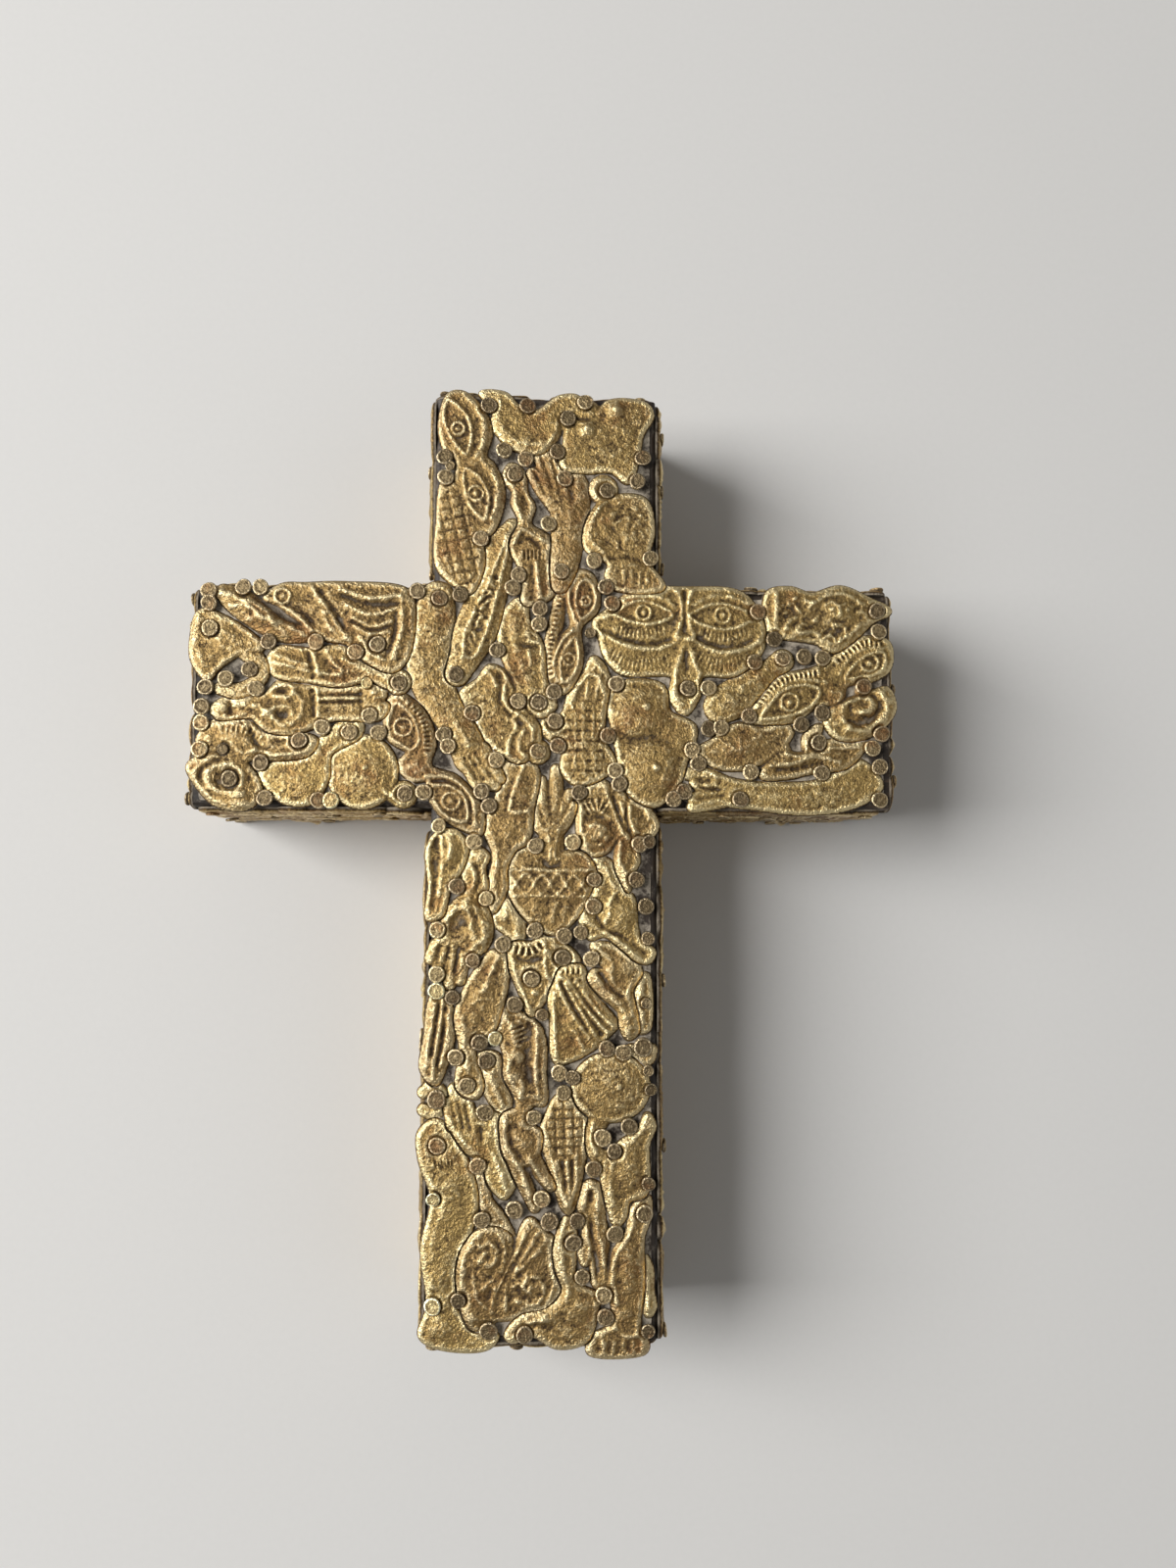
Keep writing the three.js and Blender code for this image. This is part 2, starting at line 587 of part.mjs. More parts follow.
      ridge([38.4, 14.4, 0.6], [43, 15.4, 0.8], [47.6, 16.4, 0.6]),
    ],
    nails: [[26.6, 18.2]],
  },
  long_arm: {
    outlines: [
      plate([25.4, 13.4], [30.6, 11.8], [35.9, 11.3], [44.8, 11.9], [50.6, 15.1], [54, 11.2],
        [50.1, 8.2], [42.2, 6.9], [32.7, 7.8], [28, 8.6], [26, 10.4]),
      ...hand(
        [[26.8, 12.4, 1], [24.6, 12.7, 0.8], [22.8, 13, 0.5]],
        [[27, 11, 1], [24.8, 11.4, 0.7], [24.2, 11.6, 0.5]],
        [[27.4, 9.6, 1], [25.4, 9.4, 0.8], [24, 9, 0.5]],
        [[28.4, 8.9, 0.9], [25.8, 8.2, 0.7], [23.8, 7.7, 0.5]],
      ),
    ],
    relief: [ridge([30, 9.9, 0.7], [38, 9, 0.9], [47, 10.2, 0.9])],
    nails: [[52.9, 13.2]],
  },
  // Lower post
  limb_left: {
    outlines: [
      plate([-18.1, 1], [-16.5, 3.4], [-13.9, 3.5], [-12.3, 1.3], [-12.9, -1.7], [-15, -5.5],
        [-16.2, -9.6], [-18, -10], [-17.7, -5]),
    ],
    relief: [ridge([-15, 2.2, 0.5], [-15.2, -1.5, 0.5], [-16.4, -7, 0.4])],
    nails: [[-17.3, 3.2]],
  },
  kneeler_and_hand: {
    outlines: [
      plate([-10.6, 0.9], [-8.9, -0.2], [-9.6, -2.2], [-9.1, -4.8], [-10.2, -7.4], [-12.6, -7.2],
        [-12.2, -5], [-12.4, -3.2], [-11.6, -1]),
      plate([-12.8, -6.8], [-10, -7.4], [-8.3, -11], [-8.7, -14], [-10.3, -15.5], [-13.4, -15.8],
        [-17.3, -15.2], [-16.1, -12.6], [-15.2, -9.5]),
      ...hand(
        [[-16.5, -14.4, 0.9], [-17.5, -16.2, 0.6]],
        [[-15.4, -14.6, 1], [-16, -17.4, 0.8], [-16.4, -19, 0.5]],
        [[-13.8, -15, 1], [-14.3, -18, 0.8], [-14.6, -20.3, 0.5]],
        [[-12.5, -15, 0.8], [-13, -19.6, 0.5]],
      ),
    ],
    relief: [ridge([-12.4, -9, 0.9], [-11.2, -12.6, 0.9])],
    nails: [[-9.2, -6.8], [-11, -15.9]],
  },
  leg_centre: {
    outlines: [
      plate([-5.9, 14.4], [-1.4, 13.8], [-2, 7], [-2.7, 2.2], [-4.7, 0.8], [-6.1, -2.2],
        [-6.1, -5.5], [-7.9, -8.8], [-8.4, -5.2], [-7.7, 0], [-9, 3.8], [-7.5, 8.6],
        [-6.7, 12.2]),
    ],
    relief: [ridge([-3.4, 12.6, 0.9], [-3.7, 8.4, 1])],
    nails: [[-8.4, 7.3]],
  },
  flaming_heart: {
    outlines: [
      plate([-0.1, 0.1], [-2.4, 0.8], [-4.9, 0.1], [-6, -2.8], [-4.7, -6.9], [-2, -10.4],
        [1.6, -12.3], [4.6, -10.3], [6.9, -6.2], [7.9, -2.4], [6, 0.1], [3, 0.1], [1.4, -0.8]),
      limb([1.3, -1.5, 1.5], [1.2, 4, 1.5]),
      ...hand(
        [[0.5, 3.6, 0.9], [-0.9, 5.4, 0.8], [-1.5, 7.7, 0.3]],
        [[0.8, 4.8, 0.9], [-0.1, 8.2, 0.7], [-0.4, 11.8, 0.35]],
        [[1.4, 4.8, 0.9], [1.9, 9, 0.8], [1.9, 13.6, 0.4]],
        [[2, 4.4, 0.9], [3, 7.6, 0.6], [4.1, 9.8, 0.3]],
        [[2, 3.8, 0.9], [3.6, 5.9, 0.7], [4.6, 7.8, 0.3]],
      ),
    ],
    relief: [
      ridge([-5, -2.5, 0.4], [0, -2.2, 0.4], [6.6, -2.5, 0.4]),
      ridge([-4, -6.6, 0.4], [1, -6.3, 0.4], [5.4, -6.6, 0.4]),
    ],
    nails: [[-1.2, -11.6], [7.7, -3.9]],
  },
  head_and_sash: {
    outlines: [
      plate([5.4, 8.2], [7.1, 10.7], [9.7, 11.5], [10.9, 9.4], [13.2, 3.6], [11.3, 2.1],
        [9.5, 0.4], [7, 0.3], [5.7, 2.9], [5.5, 6]),
      plate([11.2, 10.5], [13, 8.8], [12.8, 5], [14, 2.3], [14.9, -1], [13.6, -3.4],
        [13.4, -5.5], [12.8, -4.4], [11.7, -2], [11.7, 1.6], [12.2, 4], [10.4, 8.7]),
      plate([13.5, 8.4], [16.4, 7.3], [17.9, 5], [17, 3.1], [14.6, 3], [13.4, 5.6]),
    ],
    relief: [dome(8.4, 3.6, 2.4, 0.45), ridge([9, 9.6, 0.5], [11, 6, 0.5], [12.4, 3.4, 0.4])],
    nails: [[5.6, 2.1], [14.9, 2.2]],
  },
  seated_figure: {
    outlines: [
      plate([7.9, -0.5], [10.4, -1.1], [11.9, -4.3], [13.2, -6.4], [9, -7], [8.4, -5.4], [9.7, -3.6]),
      plate([8.8, -6], [13.6, -6.3], [14.3, -7.6], [14.5, -10.9], [15.3, -13.7], [17.3, -15.2],
        [16.6, -16.7], [15, -16.5], [12.7, -14.6], [9.8, -12.6], [7.4, -13], [7.2, -11.9],
        [6.1, -10.6], [6.2, -8.3]),
    ],
    relief: [dome(12.3, -9.4, 2.3, 0.4)],
    nails: [[7.4, -8.4], [6.7, -12.2]],
  },
  walking_figure: {
    outlines: [
      plate([7.9, -14.2], [11, -14.4], [14.2, -16.5], [15.2, -18.4], [13.8, -21.2], [14.6, -25.5],
        [14.7, -27.6], [13.5, -28.6], [12.5, -27], [12, -24.4], [9.2, -21.8], [7.4, -19.3],
        [8, -18.3], [9.6, -18]),
    ],
    relief: [ridge([10.6, -16.6, 0.7], [12.4, -19.6, 0.8], [13, -23.6, 0.6])],
    nails: [[8.6, -16.2]],
  },
  pleated_bundle: {
    outlines: [
      plate([3, -18.1], [6.1, -17.7], [6.6, -20.3], [9.3, -23.6], [11.4, -26.6], [10.2, -28.1],
        [8.6, -29.6], [4.5, -31.9], [2.2, -32.2], [1.5, -25.5], [1.3, -22], [2.1, -20]),
    ],
    relief: [
      ridge([2.9, -20.6, 0.5], [4.4, -23.8, 0.5], [6.2, -26.6, 0.5]),
      ridge([4.1, -20, 0.5], [6.6, -23.8, 0.5], [9.6, -27.2, 0.6]),
      ridge([5.3, -19.8, 0.5], [8.2, -23.6, 0.5]),
    ],
    nails: [[3, -32.4]],
  },
  praying_figure: {
    outlines: [
      plate([-4.7, -14.2], [-1.7, -14], [0.5, -13], [3.5, -14.4], [5.5, -16.7], [2.5, -18.4],
        [0.3, -22.3], [-1.7, -24.9], [-3.3, -21.8], [-5, -17.2]),
    ],
    relief: [
      ridge([-4.4, -16.8, 0.5], [-3.6, -20, 0.5], [-2.2, -23, 0.4]),
      ridge([0.4, -14.8, 0.5], [0.8, -18.6, 0.5]),
    ],
    nails: [[-1.8, -19.4]],
  },
  thigh: {
    outlines: [
      plate([-7.7, -15.2], [-5.9, -16], [-5.8, -20], [-6.8, -24.5], [-8.1, -27.7], [-10.7, -28.6],
        [-10.6, -32], [-9.5, -36], [-10.3, -37.6], [-12.9, -36.3], [-12.6, -30], [-13.4, -25.2],
        [-11.4, -19.9], [-9.5, -17.1]),
    ],
    relief: [ridge([-7.4, -16.8, 0.5], [-9, -21.4, 0.6], [-10.6, -26, 0.5])],
    nails: [[-9.9, -29.4], [-11.7, -35.8]],
  },
  drape: {
    outlines: [
      plate([-16.2, -20.4], [-15.2, -20.6], [-14.4, -24.5], [-14.2, -29], [-15.3, -33],
        [-16.6, -35.5], [-18.6, -33.5], [-18.1, -28.5], [-17.5, -23.2]),
    ],
    relief: [ridge([-16.4, -23, 0.5], [-16.6, -28, 0.5], [-16.8, -33.4, 0.4])],
    nails: [[-14.6, -22.3]],
  },
  kneeling_woman: {
    outlines: [
      plate([-6.5, -24.4], [-3, -25.2], [-0.6, -27], [0.2, -29.5], [0.2, -34], [0.2, -38.6],
        [-1.6, -38.8], [-3.3, -41.4], [-3.9, -37.8], [-5.7, -34.3], [-5.6, -32], [-6.8, -27]),
      plate([-5.9, -40.6], [-3.4, -39.8], [-2.5, -41.8], [-0.5, -43], [-0.9, -46.6], [-2.4, -48],
        [-5.2, -47], [-6.2, -43]),
      limb([-1.6, -46.8, 0.9], [0, -49.4, 0.7], [1.3, -51.2, 0.4]),
      limb([-4.2, -47, 0.9], [-2.8, -50.4, 0.8], [-1.1, -54.4, 0.4]),
    ],
    relief: [
      ridge([-5, -26.6, 0.7], [-3.4, -30, 0.8], [-3.2, -35, 0.6]),
      ridge([-1.2, -28, 0.4], [-0.9, -36.6, 0.4]), dome(-2.4, -44, 1.4, 0.35),
    ],
    nails: [[-4.6, -24.3], [-1.8, -40.4]],
  },
  hand_lower: {
    outlines: [
      plate([-14.6, -40.4], [-12.4, -41], [-8.6, -41.7], [-6.6, -41.7], [-6.6, -45], [-4.2, -49.5],
        [-5.7, -52.8], [-7.9, -50.8], [-8.9, -47.4], [-11.5, -45.8]),
      ...hand(
        [[-13.6, -41.6, 0.9], [-14.5, -38.6, 0.5]],
        [[-12.7, -41.6, 0.8], [-13.8, -36.4, 0.4]],
        [[-11.7, -41.8, 0.8], [-12.9, -37, 0.4]],
        [[-10.7, -42, 0.8], [-11.9, -38, 0.4]],
        [[-8.4, -43, 1.1], [-7.4, -41.1, 0.8]],
      ),
    ],
    relief: [],
    nails: [[-9.8, -47.6]],
  },
  disc_and_calf: {
    outlines: [
      oval(10.7, -36.2, 5.7, 5),
      limb([9, -40.8, 1.2], [8, -43.4, 0.8], [8.4, -46.2, 0.8], [10.4, -47.2, 0.8]),
      plate([16.4, -40.5], [15, -43], [12.2, -44.8], [9.6, -47.6], [9.9, -52], [11.6, -57],
        [12.7, -56], [13.4, -53.4], [16, -52.3], [16.3, -45], [17.3, -42]),
    ],
    relief: [dome(11, -36.1, 3.7, 0.5), ridge([13.6, -46.6, 0.8], [12.2, -51, 0.9], [11.6, -54.6, 0.4])],
    nails: [[9.6, -43.8], [15.6, -50.8]],
  },
  corn_cob_lower: {
    outlines: [
      plate([2.6, -37.6], [4.9, -37.6], [6.7, -41.5], [6.5, -46.5], [5.1, -53], [4.3, -55.1],
        [3.5, -54.6], [1.7, -49], [0.1, -43.2], [1.1, -39.9]),
    ],
    relief: [
      ridge([2, -40.6, 0.5], [1.6, -44.4, 0.5], [3, -51, 0.4]),
      ridge([3.5, -39, 0.5], [3.4, -45, 0.5], [4, -52, 0.4]),
      ridge([5, -40.6, 0.5], [5.2, -45, 0.5], [4.8, -50.6, 0.4]),
    ],
    nails: [[3.4, -37.2]],
  },
  boot: {
    outlines: [
      plate([3.9, -56.1], [2.3, -60], [2.5, -63.6], [3.6, -66.9], [1.2, -69.7], [-3.2, -71],
        [-5.2, -73.6], [-4.3, -74.2], [-1.5, -73.2], [2.6, -75.1], [6.8, -74.2], [8.3, -70.5],
        [8.4, -67.7], [5.3, -65.9], [4.9, -61.5], [5, -58]),
    ],
    relief: [ridge([5.6, -68.6, 0.9], [4.4, -71.6, 1], [0.6, -72.4, 0.7])],
    nails: [[4.9, -59.6]],
  },
  leg_and_figure_right: {
    outlines: [
      plate([16.4, -53], [14.4, -54.4], [13.3, -58.3], [11.1, -61.5], [10.4, -65.5], [11.1, -68.5],
        [11, -72], [7.9, -74], [7.5, -76], [15.8, -76], [16.2, -74.9], [15, -72.4], [15.5, -66],
        [15.5, -59], [16.5, -56]),
      plate([7.3, -50.7], [9, -51.5], [9.4, -55.5], [10, -60], [9.4, -66.4], [8.3, -66],
        [7.6, -62], [6.7, -63], [6.1, -61.5], [6.8, -57], [5.9, -53.8]),
      limb([9.4, -65.6, 0.6], [11.2, -66.4, 0.7]),
    ],
    relief: [
      ridge([14.4, -57.4, 0.8], [12.8, -63, 1], [13.2, -70, 0.8]),
      ridge([7.6, -55.6, 0.6], [8.6, -62.4, 0.5]),
    ],
    nails: [[15.4, -55.3], [9.9, -67.2]],
  },
  eyes_lower: {
    outlines: [
      plate([-1.9, -56.3], [0.6, -58.3], [2, -59.6], [1.3, -61], [2.3, -64], [2.8, -67.2],
        [0.4, -69.7], [-4.4, -70.8], [-7.9, -70.6], [-7.2, -67], [-4.2, -61]),
      plate([-9.4, -57.9], [-11.9, -60.8], [-12.6, -65.5], [-10.4, -72.2], [-7.4, -71.4],
        [-7, -67], [-4.6, -61.4], [-5, -58.8], [-6.8, -57.8]),
    ],
    relief: [
      dome(-8.2, -61.6, 1.8, 0.4), dome(-2.2, -66.4, 1.8, 0.4),
      ridge([-11.2, -62, 0.5], [-11, -66, 0.5], [-9.6, -70.6, 0.4]),
    ],
    nails: [[1.3, -57.6], [-8.6, -57.4], [-8, -72]],
  },
  long_leg: {
    outlines: [
      plate([-18.8, -43], [-16.5, -41.3], [-14.2, -43], [-11.1, -49], [-10.2, -54], [-11.6, -59.4],
        [-12.9, -64.5], [-13.4, -69.3], [-9.6, -72.7], [-6.9, -73.6], [-8, -75], [-10.8, -75.5],
        [-16.5, -74.7], [-18.3, -73.3], [-17.1, -69], [-18.1, -60.5], [-16.7, -53],
        [-18.7, -47]),
    ],
    relief: [ridge([-14.8, -50, 1], [-14.6, -60, 1], [-15.2, -69, 0.8])],
    nails: [[-16.2, -44.9], [-17.4, -68.9]],
  },
};

// Placing

// Carries a value from a scale with the given marks to a scale with other marks
function carried(value, from, to) {
  let k = 0;
  while (k < from.length - 2 && value > from[k + 1]) k += 1;
  const share = (value - from[k]) / (from[k + 1] - from[k]);
  return to[k] + share * (to[k + 1] - to[k]);
}

function marks(size) {
  const low = size.beamHeight - size.beamWidth / 2;
  const high = size.beamHeight + size.beamWidth / 2;
  return {
    x: [-size.beamLength / 2, -size.postWidth / 2, size.postWidth / 2, size.beamLength / 2],
    y: [-size.postLength / 2, low, high, size.postLength / 2],
  };
}

const drawnMarks = marks(layout);
const boardMarks = marks({ postWidth, postLength, beamWidth, beamLength, beamHeight });

// How far a point of the layout moves when the boards differ from the layout's
function travel([x, y]) {
  return [
    carried(x, drawnMarks.x, boardMarks.x) - x,
    carried(y, drawnMarks.y, boardMarks.y) - y,
  ];
}

function middle(ring) {
  const xs = ring.map(([x]) => x);
  const ys = ring.map(([, y]) => y);
  return [(Math.min(...xs) + Math.max(...xs)) / 2, (Math.min(...ys) + Math.max(...ys)) / 2];
}

function inside([x, y], ring) {
  let odd = false;
  ring.forEach(([x1, y1], k) => {
    const [x2, y2] = ring[(k + 1) % ring.length];
    if ((y1 > y) !== (y2 > y) && x < x1 + ((y - y1) * (x2 - x1)) / (y2 - y1)) odd = !odd;
  });
  return odd;
}

// The front charms in their places on the boards
const placed = Object.values(charms).map(({ outlines, relief, nails }) => {
  const [right, up] = travel(middle(outlines[0](0)));
  return {
    outlines: outlines.map((outline) => moved(outline, [0, 0], 0, [right, up])),
    relief: relief.map((shape) => onFace(shape, (x, y, z) => [x + right, y + up, z])),
    nails: nails.map(([x, y]) => [x + right, y + up]),
  };
});

const nailRooms = ({ nails }) => nails.map(
  ([x, y]) => oval(x, y, nailHeadRadius, nailHeadRadius, nailSides));

// Cuts the room of other pieces out of a solid on a charm
function clearOf(shape, rooms, gap) {
  return rooms.reduce(
    (rest, outline) => rest.subtract(prism([outline(-gap)], 0, 2 * charmThickness)), shape);
}

// A front charm: its plates and relief, cut by the charms that lie over it and by its
// neighbours' nails, and its own nails
function frontCharm({ outlines, relief, nails }, index) {
  const wide = outlines.map((outline) => outline(-2 * charmGap));
  const near = (outline) => outline(0).some((point) => wide.some((ring) => inside(point, ring)));
  const above = placed.slice(0, index);
  const others = placed.filter((_, k) => k !== index);
  const nailsAbove = above.flatMap(nailRooms).filter(near);
  const otherCharms = above.flatMap((other) => other.outlines).filter(near);
  const rooms = [...otherCharms, ...others.flatMap(nailRooms).filter(near)];
  const plates = flats(outlines, rooms, outlineTolerance).map(stamped);
  const raised = relief.map((shape) => clearOf(shape, rooms, charmGap));
  const heads = nails.map((nail) => clearOf(nailHead(nail), nailsAbove, nailGap));
  return onFace(largestBody(union([...plates, ...raised, ...heads])),
    (x, y, z) => [x, y, z + boardThickness]);
}

// Boards

function roundedBoard(width, length, thickness) {
  const shape = new THREE.Shape();
  const half = width / 2;
  const r = edgeRadius;
  shape.moveTo(-half + r, 0);
  shape.lineTo(half - r, 0);
  shape.absarc(half - r, r, r, -Math.PI / 2, 0);
  shape.lineTo(half, thickness - r);
  shape.absarc(half - r, thickness - r, r, 0, Math.PI / 2);
  shape.lineTo(-half + r, thickness);
  shape.absarc(-half + r, thickness - r, r, Math.PI / 2, Math.PI);
  shape.lineTo(-half, r);
  shape.absarc(-half + r, r, r, Math.PI, 1.5 * Math.PI);
  const geometry = new THREE.ExtrudeGeometry(shape, {
    depth: length, bevelEnabled: false, curveSegments: 2,
  });
  geometry.rotateX(Math.PI / 2);
  geometry.translate(0, length / 2, 0);
  return fromGeometry(geometry);
}

const far = 100;
const postHalf = postWidth / 2;
const beamHalf = beamLength / 2;
const postEnd = postLength / 2;
const beamLow = beamHeight - beamWidth / 2;
const beamHigh = beamHeight + beamWidth / 2;
const lapNailHeights = [beamHeight - lapNailSpacing / 2, beamHeight + lapNailSpacing / 2];

// Clearance holes of the lap nails and the seats of their heads
const lapNailHoles = union(lapNailHeights.flatMap((y) => [
  rod(0, y, lapNailRadius + lapGap, -1, lapNailLength + 1),
  rod(0, y, lapNailHeadRadius + lapGap, -1, lapNailHeadHeight),
]));

function makePost() {
  const housing = box(-far, far, beamLow - lapGap, beamHigh + lapGap, lapDepth, far);
  const hangHole = rod(0, postEnd - hangHoleFromTop, hangHoleRadius, -1, hangHoleDepth);
  return roundedBoard(postWidth, postLength, boardThickness)
    .subtract(housing).subtract(lapNailHoles).subtract(hangHole);
}

function makeBeam() {
  const housing = box(-postHalf - lapGap, postHalf + lapGap, -far, far, -1, lapDepth);
  const straight = roundedBoard(beamWidth, beamLength, boardThickness);
  const across = onFace(straight, (x, y, z) => [-y, x + beamHeight, z]);
  return across.subtract(housing).subtract(lapNailHoles);
}

function makeLapNail(y) {
  return rod(0, y, lapNailHeadRadius, 0, lapNailHeadHeight)
    .add(rod(0, y, lapNailRadius, 0, lapNailLength));
}

// Rows of charms on the side faces. Each entry repeats the first outline of a front charm,
// turned by some degrees.

const rowCharms = {
  flaming_heart: 4,
  limb_left: -4,
  breast_disc_left: 0,
  leaf: 84,
  bearded_bust: 92,
  stomach: -20,
  corn_cob_lower: 5,
};
const rowNames = Object.keys(rowCharms);

// Turns one of these and lays it with its middle at the origin
function turned(name) {
  const [outline] = charms[name].outlines;
  const turn = (rowCharms[name] * Math.PI) / 180;
  const centre = middle(outline(0));
  const atOrigin = moved(outline, centre, turn, [-centre[0], -centre[1]]);
  const ring = atOrigin(0);
  const first = ring.reduce((best, point) => (point[0] < best[0] ? point : best));
  const last = ring.reduce((best, point) => (point[0] > best[0] ? point : best));
  const height = 2 * Math.max(...ring.map(([, v]) => Math.abs(v)));
  return { outline: atOrigin, first, last, height };
}

// Lays the charms end to end for as long as they fit, in the list's order from the named
// one on. Each starts where the last one ends, a little over it, and a nail holds both.
function sideRow(length, start, place) {
  const outlines = [];
  const nails = [];
  let end = [sideMargin, 0];
  for (let k = rowNames.indexOf(start); ; k += 1) {
    const room = length - sideMargin - end[0];
    const choice = rowNames.map((_, j) => turned(rowNames[(k + j) % rowNames.length]))
      .find(({ first, last }) => last[0] - first[0] <= room);
    if (!choice) break;
    const { outline, first, last, height } = choice;
    const play = Math.max(0, boardThickness / 2 - sideMargin - height / 2);
    const u = end[0] - first[0] - (outlines.length ? sideOverlap : 0);
    const v = Math.min(play, Math.max(-play, end[1] - first[1]));
    outlines.push(moved(outline, [0, 0], 0, [u, v]));
    if (outlines.length > 1) nails.push([u + first[0] + sideOverlap / 2, v + first[1]]);
    end = [u + last[0], v + last[1]];
  }
  const plates = flats(outlines, [], sideTolerance).map(stamped);
  return onFace(largestBody(union([...plates, ...nails.map(nailHead)])), place);
}

// The side faces. Each maps u (along the row), v (through the board's thickness, from its
// middle) and w (out of the face) to x, y and z.
const midDepth = boardThickness / 2;
const flankRight = (start) => (u, v, w) => [postHalf + w, start + u, midDepth + v];
const flankLeft = (start) => (u, v, w) => [-postHalf - w, start - u, midDepth + v];
const endRight = (start) => (u, v, w) => [beamHalf + w, start + u, midDepth + v];
const endLeft = (start) => (u, v, w) => [-beamHalf - w, start - u, midDepth + v];
const facingUp = (high, start) => (u, v, w) => [start - u, high + w, midDepth + v];
const facingDown = (low, start) => (u, v, w) => [start + u, low - w, midDepth + v];

// Each row: its length, its first charm and its face. At an inner corner the post's row
// starts clear of the beam's.
const upperLength = postEnd - beamHigh - cornerRoom;
const lowerLength = beamLow + postEnd - cornerRoom;
const armLength = beamHalf - postHalf;
const rows = {
  side_post_upper_right: [upperLength, 'flaming_heart', flankRight(beamHigh + cornerRoom)],
  side_post_upper_left: [upperLength, 'bearded_bust', flankLeft(postEnd)],
  side_post_lower_right: [lowerLength, 'breast_disc_left', flankRight(-postEnd)],
  side_post_lower_left: [lowerLength, 'limb_left', flankLeft(beamLow - cornerRoom)],
  side_beam_end_right: [beamWidth, 'leaf', endRight(beamLow)],
  side_beam_end_left: [beamWidth, 'corn_cob_lower', endLeft(beamHigh)],
  side_post_end_top: [postWidth, 'stomach', facingUp(postEnd, postHalf)],
  side_post_end_bottom: [postWidth, 'flaming_heart', facingDown(-postEnd, -postHalf)],
  side_beam_top_right: [armLength, 'breast_disc_left', facingUp(beamHigh, beamHalf)],
  side_beam_top_left: [armLength, 'flaming_heart', facingUp(beamHigh, -postHalf)],
  side_beam_bottom_right: [armLength, 'bearded_bust', facingDown(beamLow, postHalf)],
  side_beam_bottom_left: [armLength, 'stomach', facingDown(beamLow, -beamHalf)],
};

// The cross

const cross = new THREE.Group();
cross.add(toMesh('post', makePost(), wood));
cross.add(toMesh('beam', makeBeam(), wood));
cross.add(toMesh('lap_nail_lower', makeLapNail(lapNailHeights[0]), iron));
cross.add(toMesh('lap_nail_upper', makeLapNail(lapNailHeights[1]), iron));
Object.keys(charms).forEach((name, index) => {
  cross.add(toMesh(name, frontCharm(placed[index], index), brass));
});
Object.entries(rows).forEach(([name, [length, start, place]]) => {
  cross.add(toMesh(name, sideRow(length, start, place), brass));
});

export default cross;
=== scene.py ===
"""A wooden wall cross covered with small stamped brass votive charms (milagros).

Sizes in the tables are millimetres in the cross's own frame: x to the right, y to the
cross's top and z out of its front, with the back face at z = 0.
"""

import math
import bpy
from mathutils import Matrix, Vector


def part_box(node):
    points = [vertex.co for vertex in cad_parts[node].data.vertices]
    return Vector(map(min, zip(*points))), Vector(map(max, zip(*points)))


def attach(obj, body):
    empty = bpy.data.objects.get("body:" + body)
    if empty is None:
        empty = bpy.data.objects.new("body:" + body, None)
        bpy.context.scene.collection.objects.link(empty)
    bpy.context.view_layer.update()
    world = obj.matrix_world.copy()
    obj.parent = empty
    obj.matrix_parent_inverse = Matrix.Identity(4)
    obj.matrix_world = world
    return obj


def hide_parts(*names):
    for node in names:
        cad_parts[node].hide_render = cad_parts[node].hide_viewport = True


bl_info = {
    "name": "Milagro cross",
    "version": (1, 0, 0),
    "blender": (4, 5, 0),
    "location": "3D View > Sidebar > Milagro cross",
    "description": "Builds the charms, nails, boards and stage of a milagro wall cross",
    "category": "Add Mesh",
}

import bpy
import numpy as np
from mathutils import Matrix, Vector

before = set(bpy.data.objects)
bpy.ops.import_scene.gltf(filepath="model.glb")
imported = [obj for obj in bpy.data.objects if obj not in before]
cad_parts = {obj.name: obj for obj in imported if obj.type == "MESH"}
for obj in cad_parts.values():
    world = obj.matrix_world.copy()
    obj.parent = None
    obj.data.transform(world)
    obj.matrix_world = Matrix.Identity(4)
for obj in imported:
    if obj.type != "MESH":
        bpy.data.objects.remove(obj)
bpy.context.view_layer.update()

MM = 0.001
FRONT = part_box("post")[1].z / MM
POST_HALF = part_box("post")[1].x / MM
POST_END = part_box("post")[1].y / MM
BEAM_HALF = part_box("beam")[1].x / MM
BEAM_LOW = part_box("beam")[0].y / MM
BEAM_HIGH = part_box("beam")[1].y / MM


# Sizes and colours that a user would change


def size_property(name, description, millimetres):
    return bpy.props.FloatProperty(
        name=name, description=description, default=millimetres * MM, unit="LENGTH", precision=5)


def color_property(name, description, color):
    return bpy.props.FloatVectorProperty(
        name=name, description=description, default=color, subtype="COLOR", size=3)


class CharmSettings(bpy.types.PropertyGroup):
    pitch: size_property("Mesh pitch", "Spacing of the points on a charm's face", 0.2)
    wall: size_property("Wall", "Height of a charm's edge above the wood", 0.42)
    swell: size_property("Swell", "How far a charm's face rises from its edge", 0.5)
    edge: size_property("Edge roundness", "Width of the rounded border of a charm", 0.65)
    spread: size_property("Spread", "How far a charm's edge reaches past its drawn outline", 0.62)
    gap: size_property("Gap", "Space between a charm and the one lying over it", 0.1)
    grain: size_property("Grain", "Depth of the pebbled surface of a charm", 0.045)
    # Brass shows where a face is neither lightened nor darkened. Rubbed brass on raised parts is partly
    # wear and partly a painted highlight. Patina in recesses is partly real patina and partly painted
    # shade.
    brass: color_property(
        "Brass", "Colour of the brass where it is neither worn nor dirty", (0.385, 0.255, 0.097))
    bright: color_property("Rubbed brass", "Colour of the raised parts", (0.82, 0.66, 0.37))
    patina: color_property("Patina", "Colour of the recesses", (0.055, 0.03, 0.01))
    stain: color_property(
        "Stain", "Colour of the reddish patches on charms and nails", (0.25, 0.115, 0.042))


class NailSettings(bpy.types.PropertyGroup):
    thickness: size_property("Head thickness", "Thickness of a nail's head", 0.5)
    top: size_property("Head height", "Height of the top of a nail's head above the wood", 1.38)
    color: color_property("Nail", "Colour of an aged nail head", (0.27, 0.2, 0.105))
    # Rubbed nail, on a nail's raised edge, is partly wear and partly a painted highlight.
    bright: color_property("Rubbed nail", "Colour of a nail's raised edge", (0.74, 0.6, 0.38))


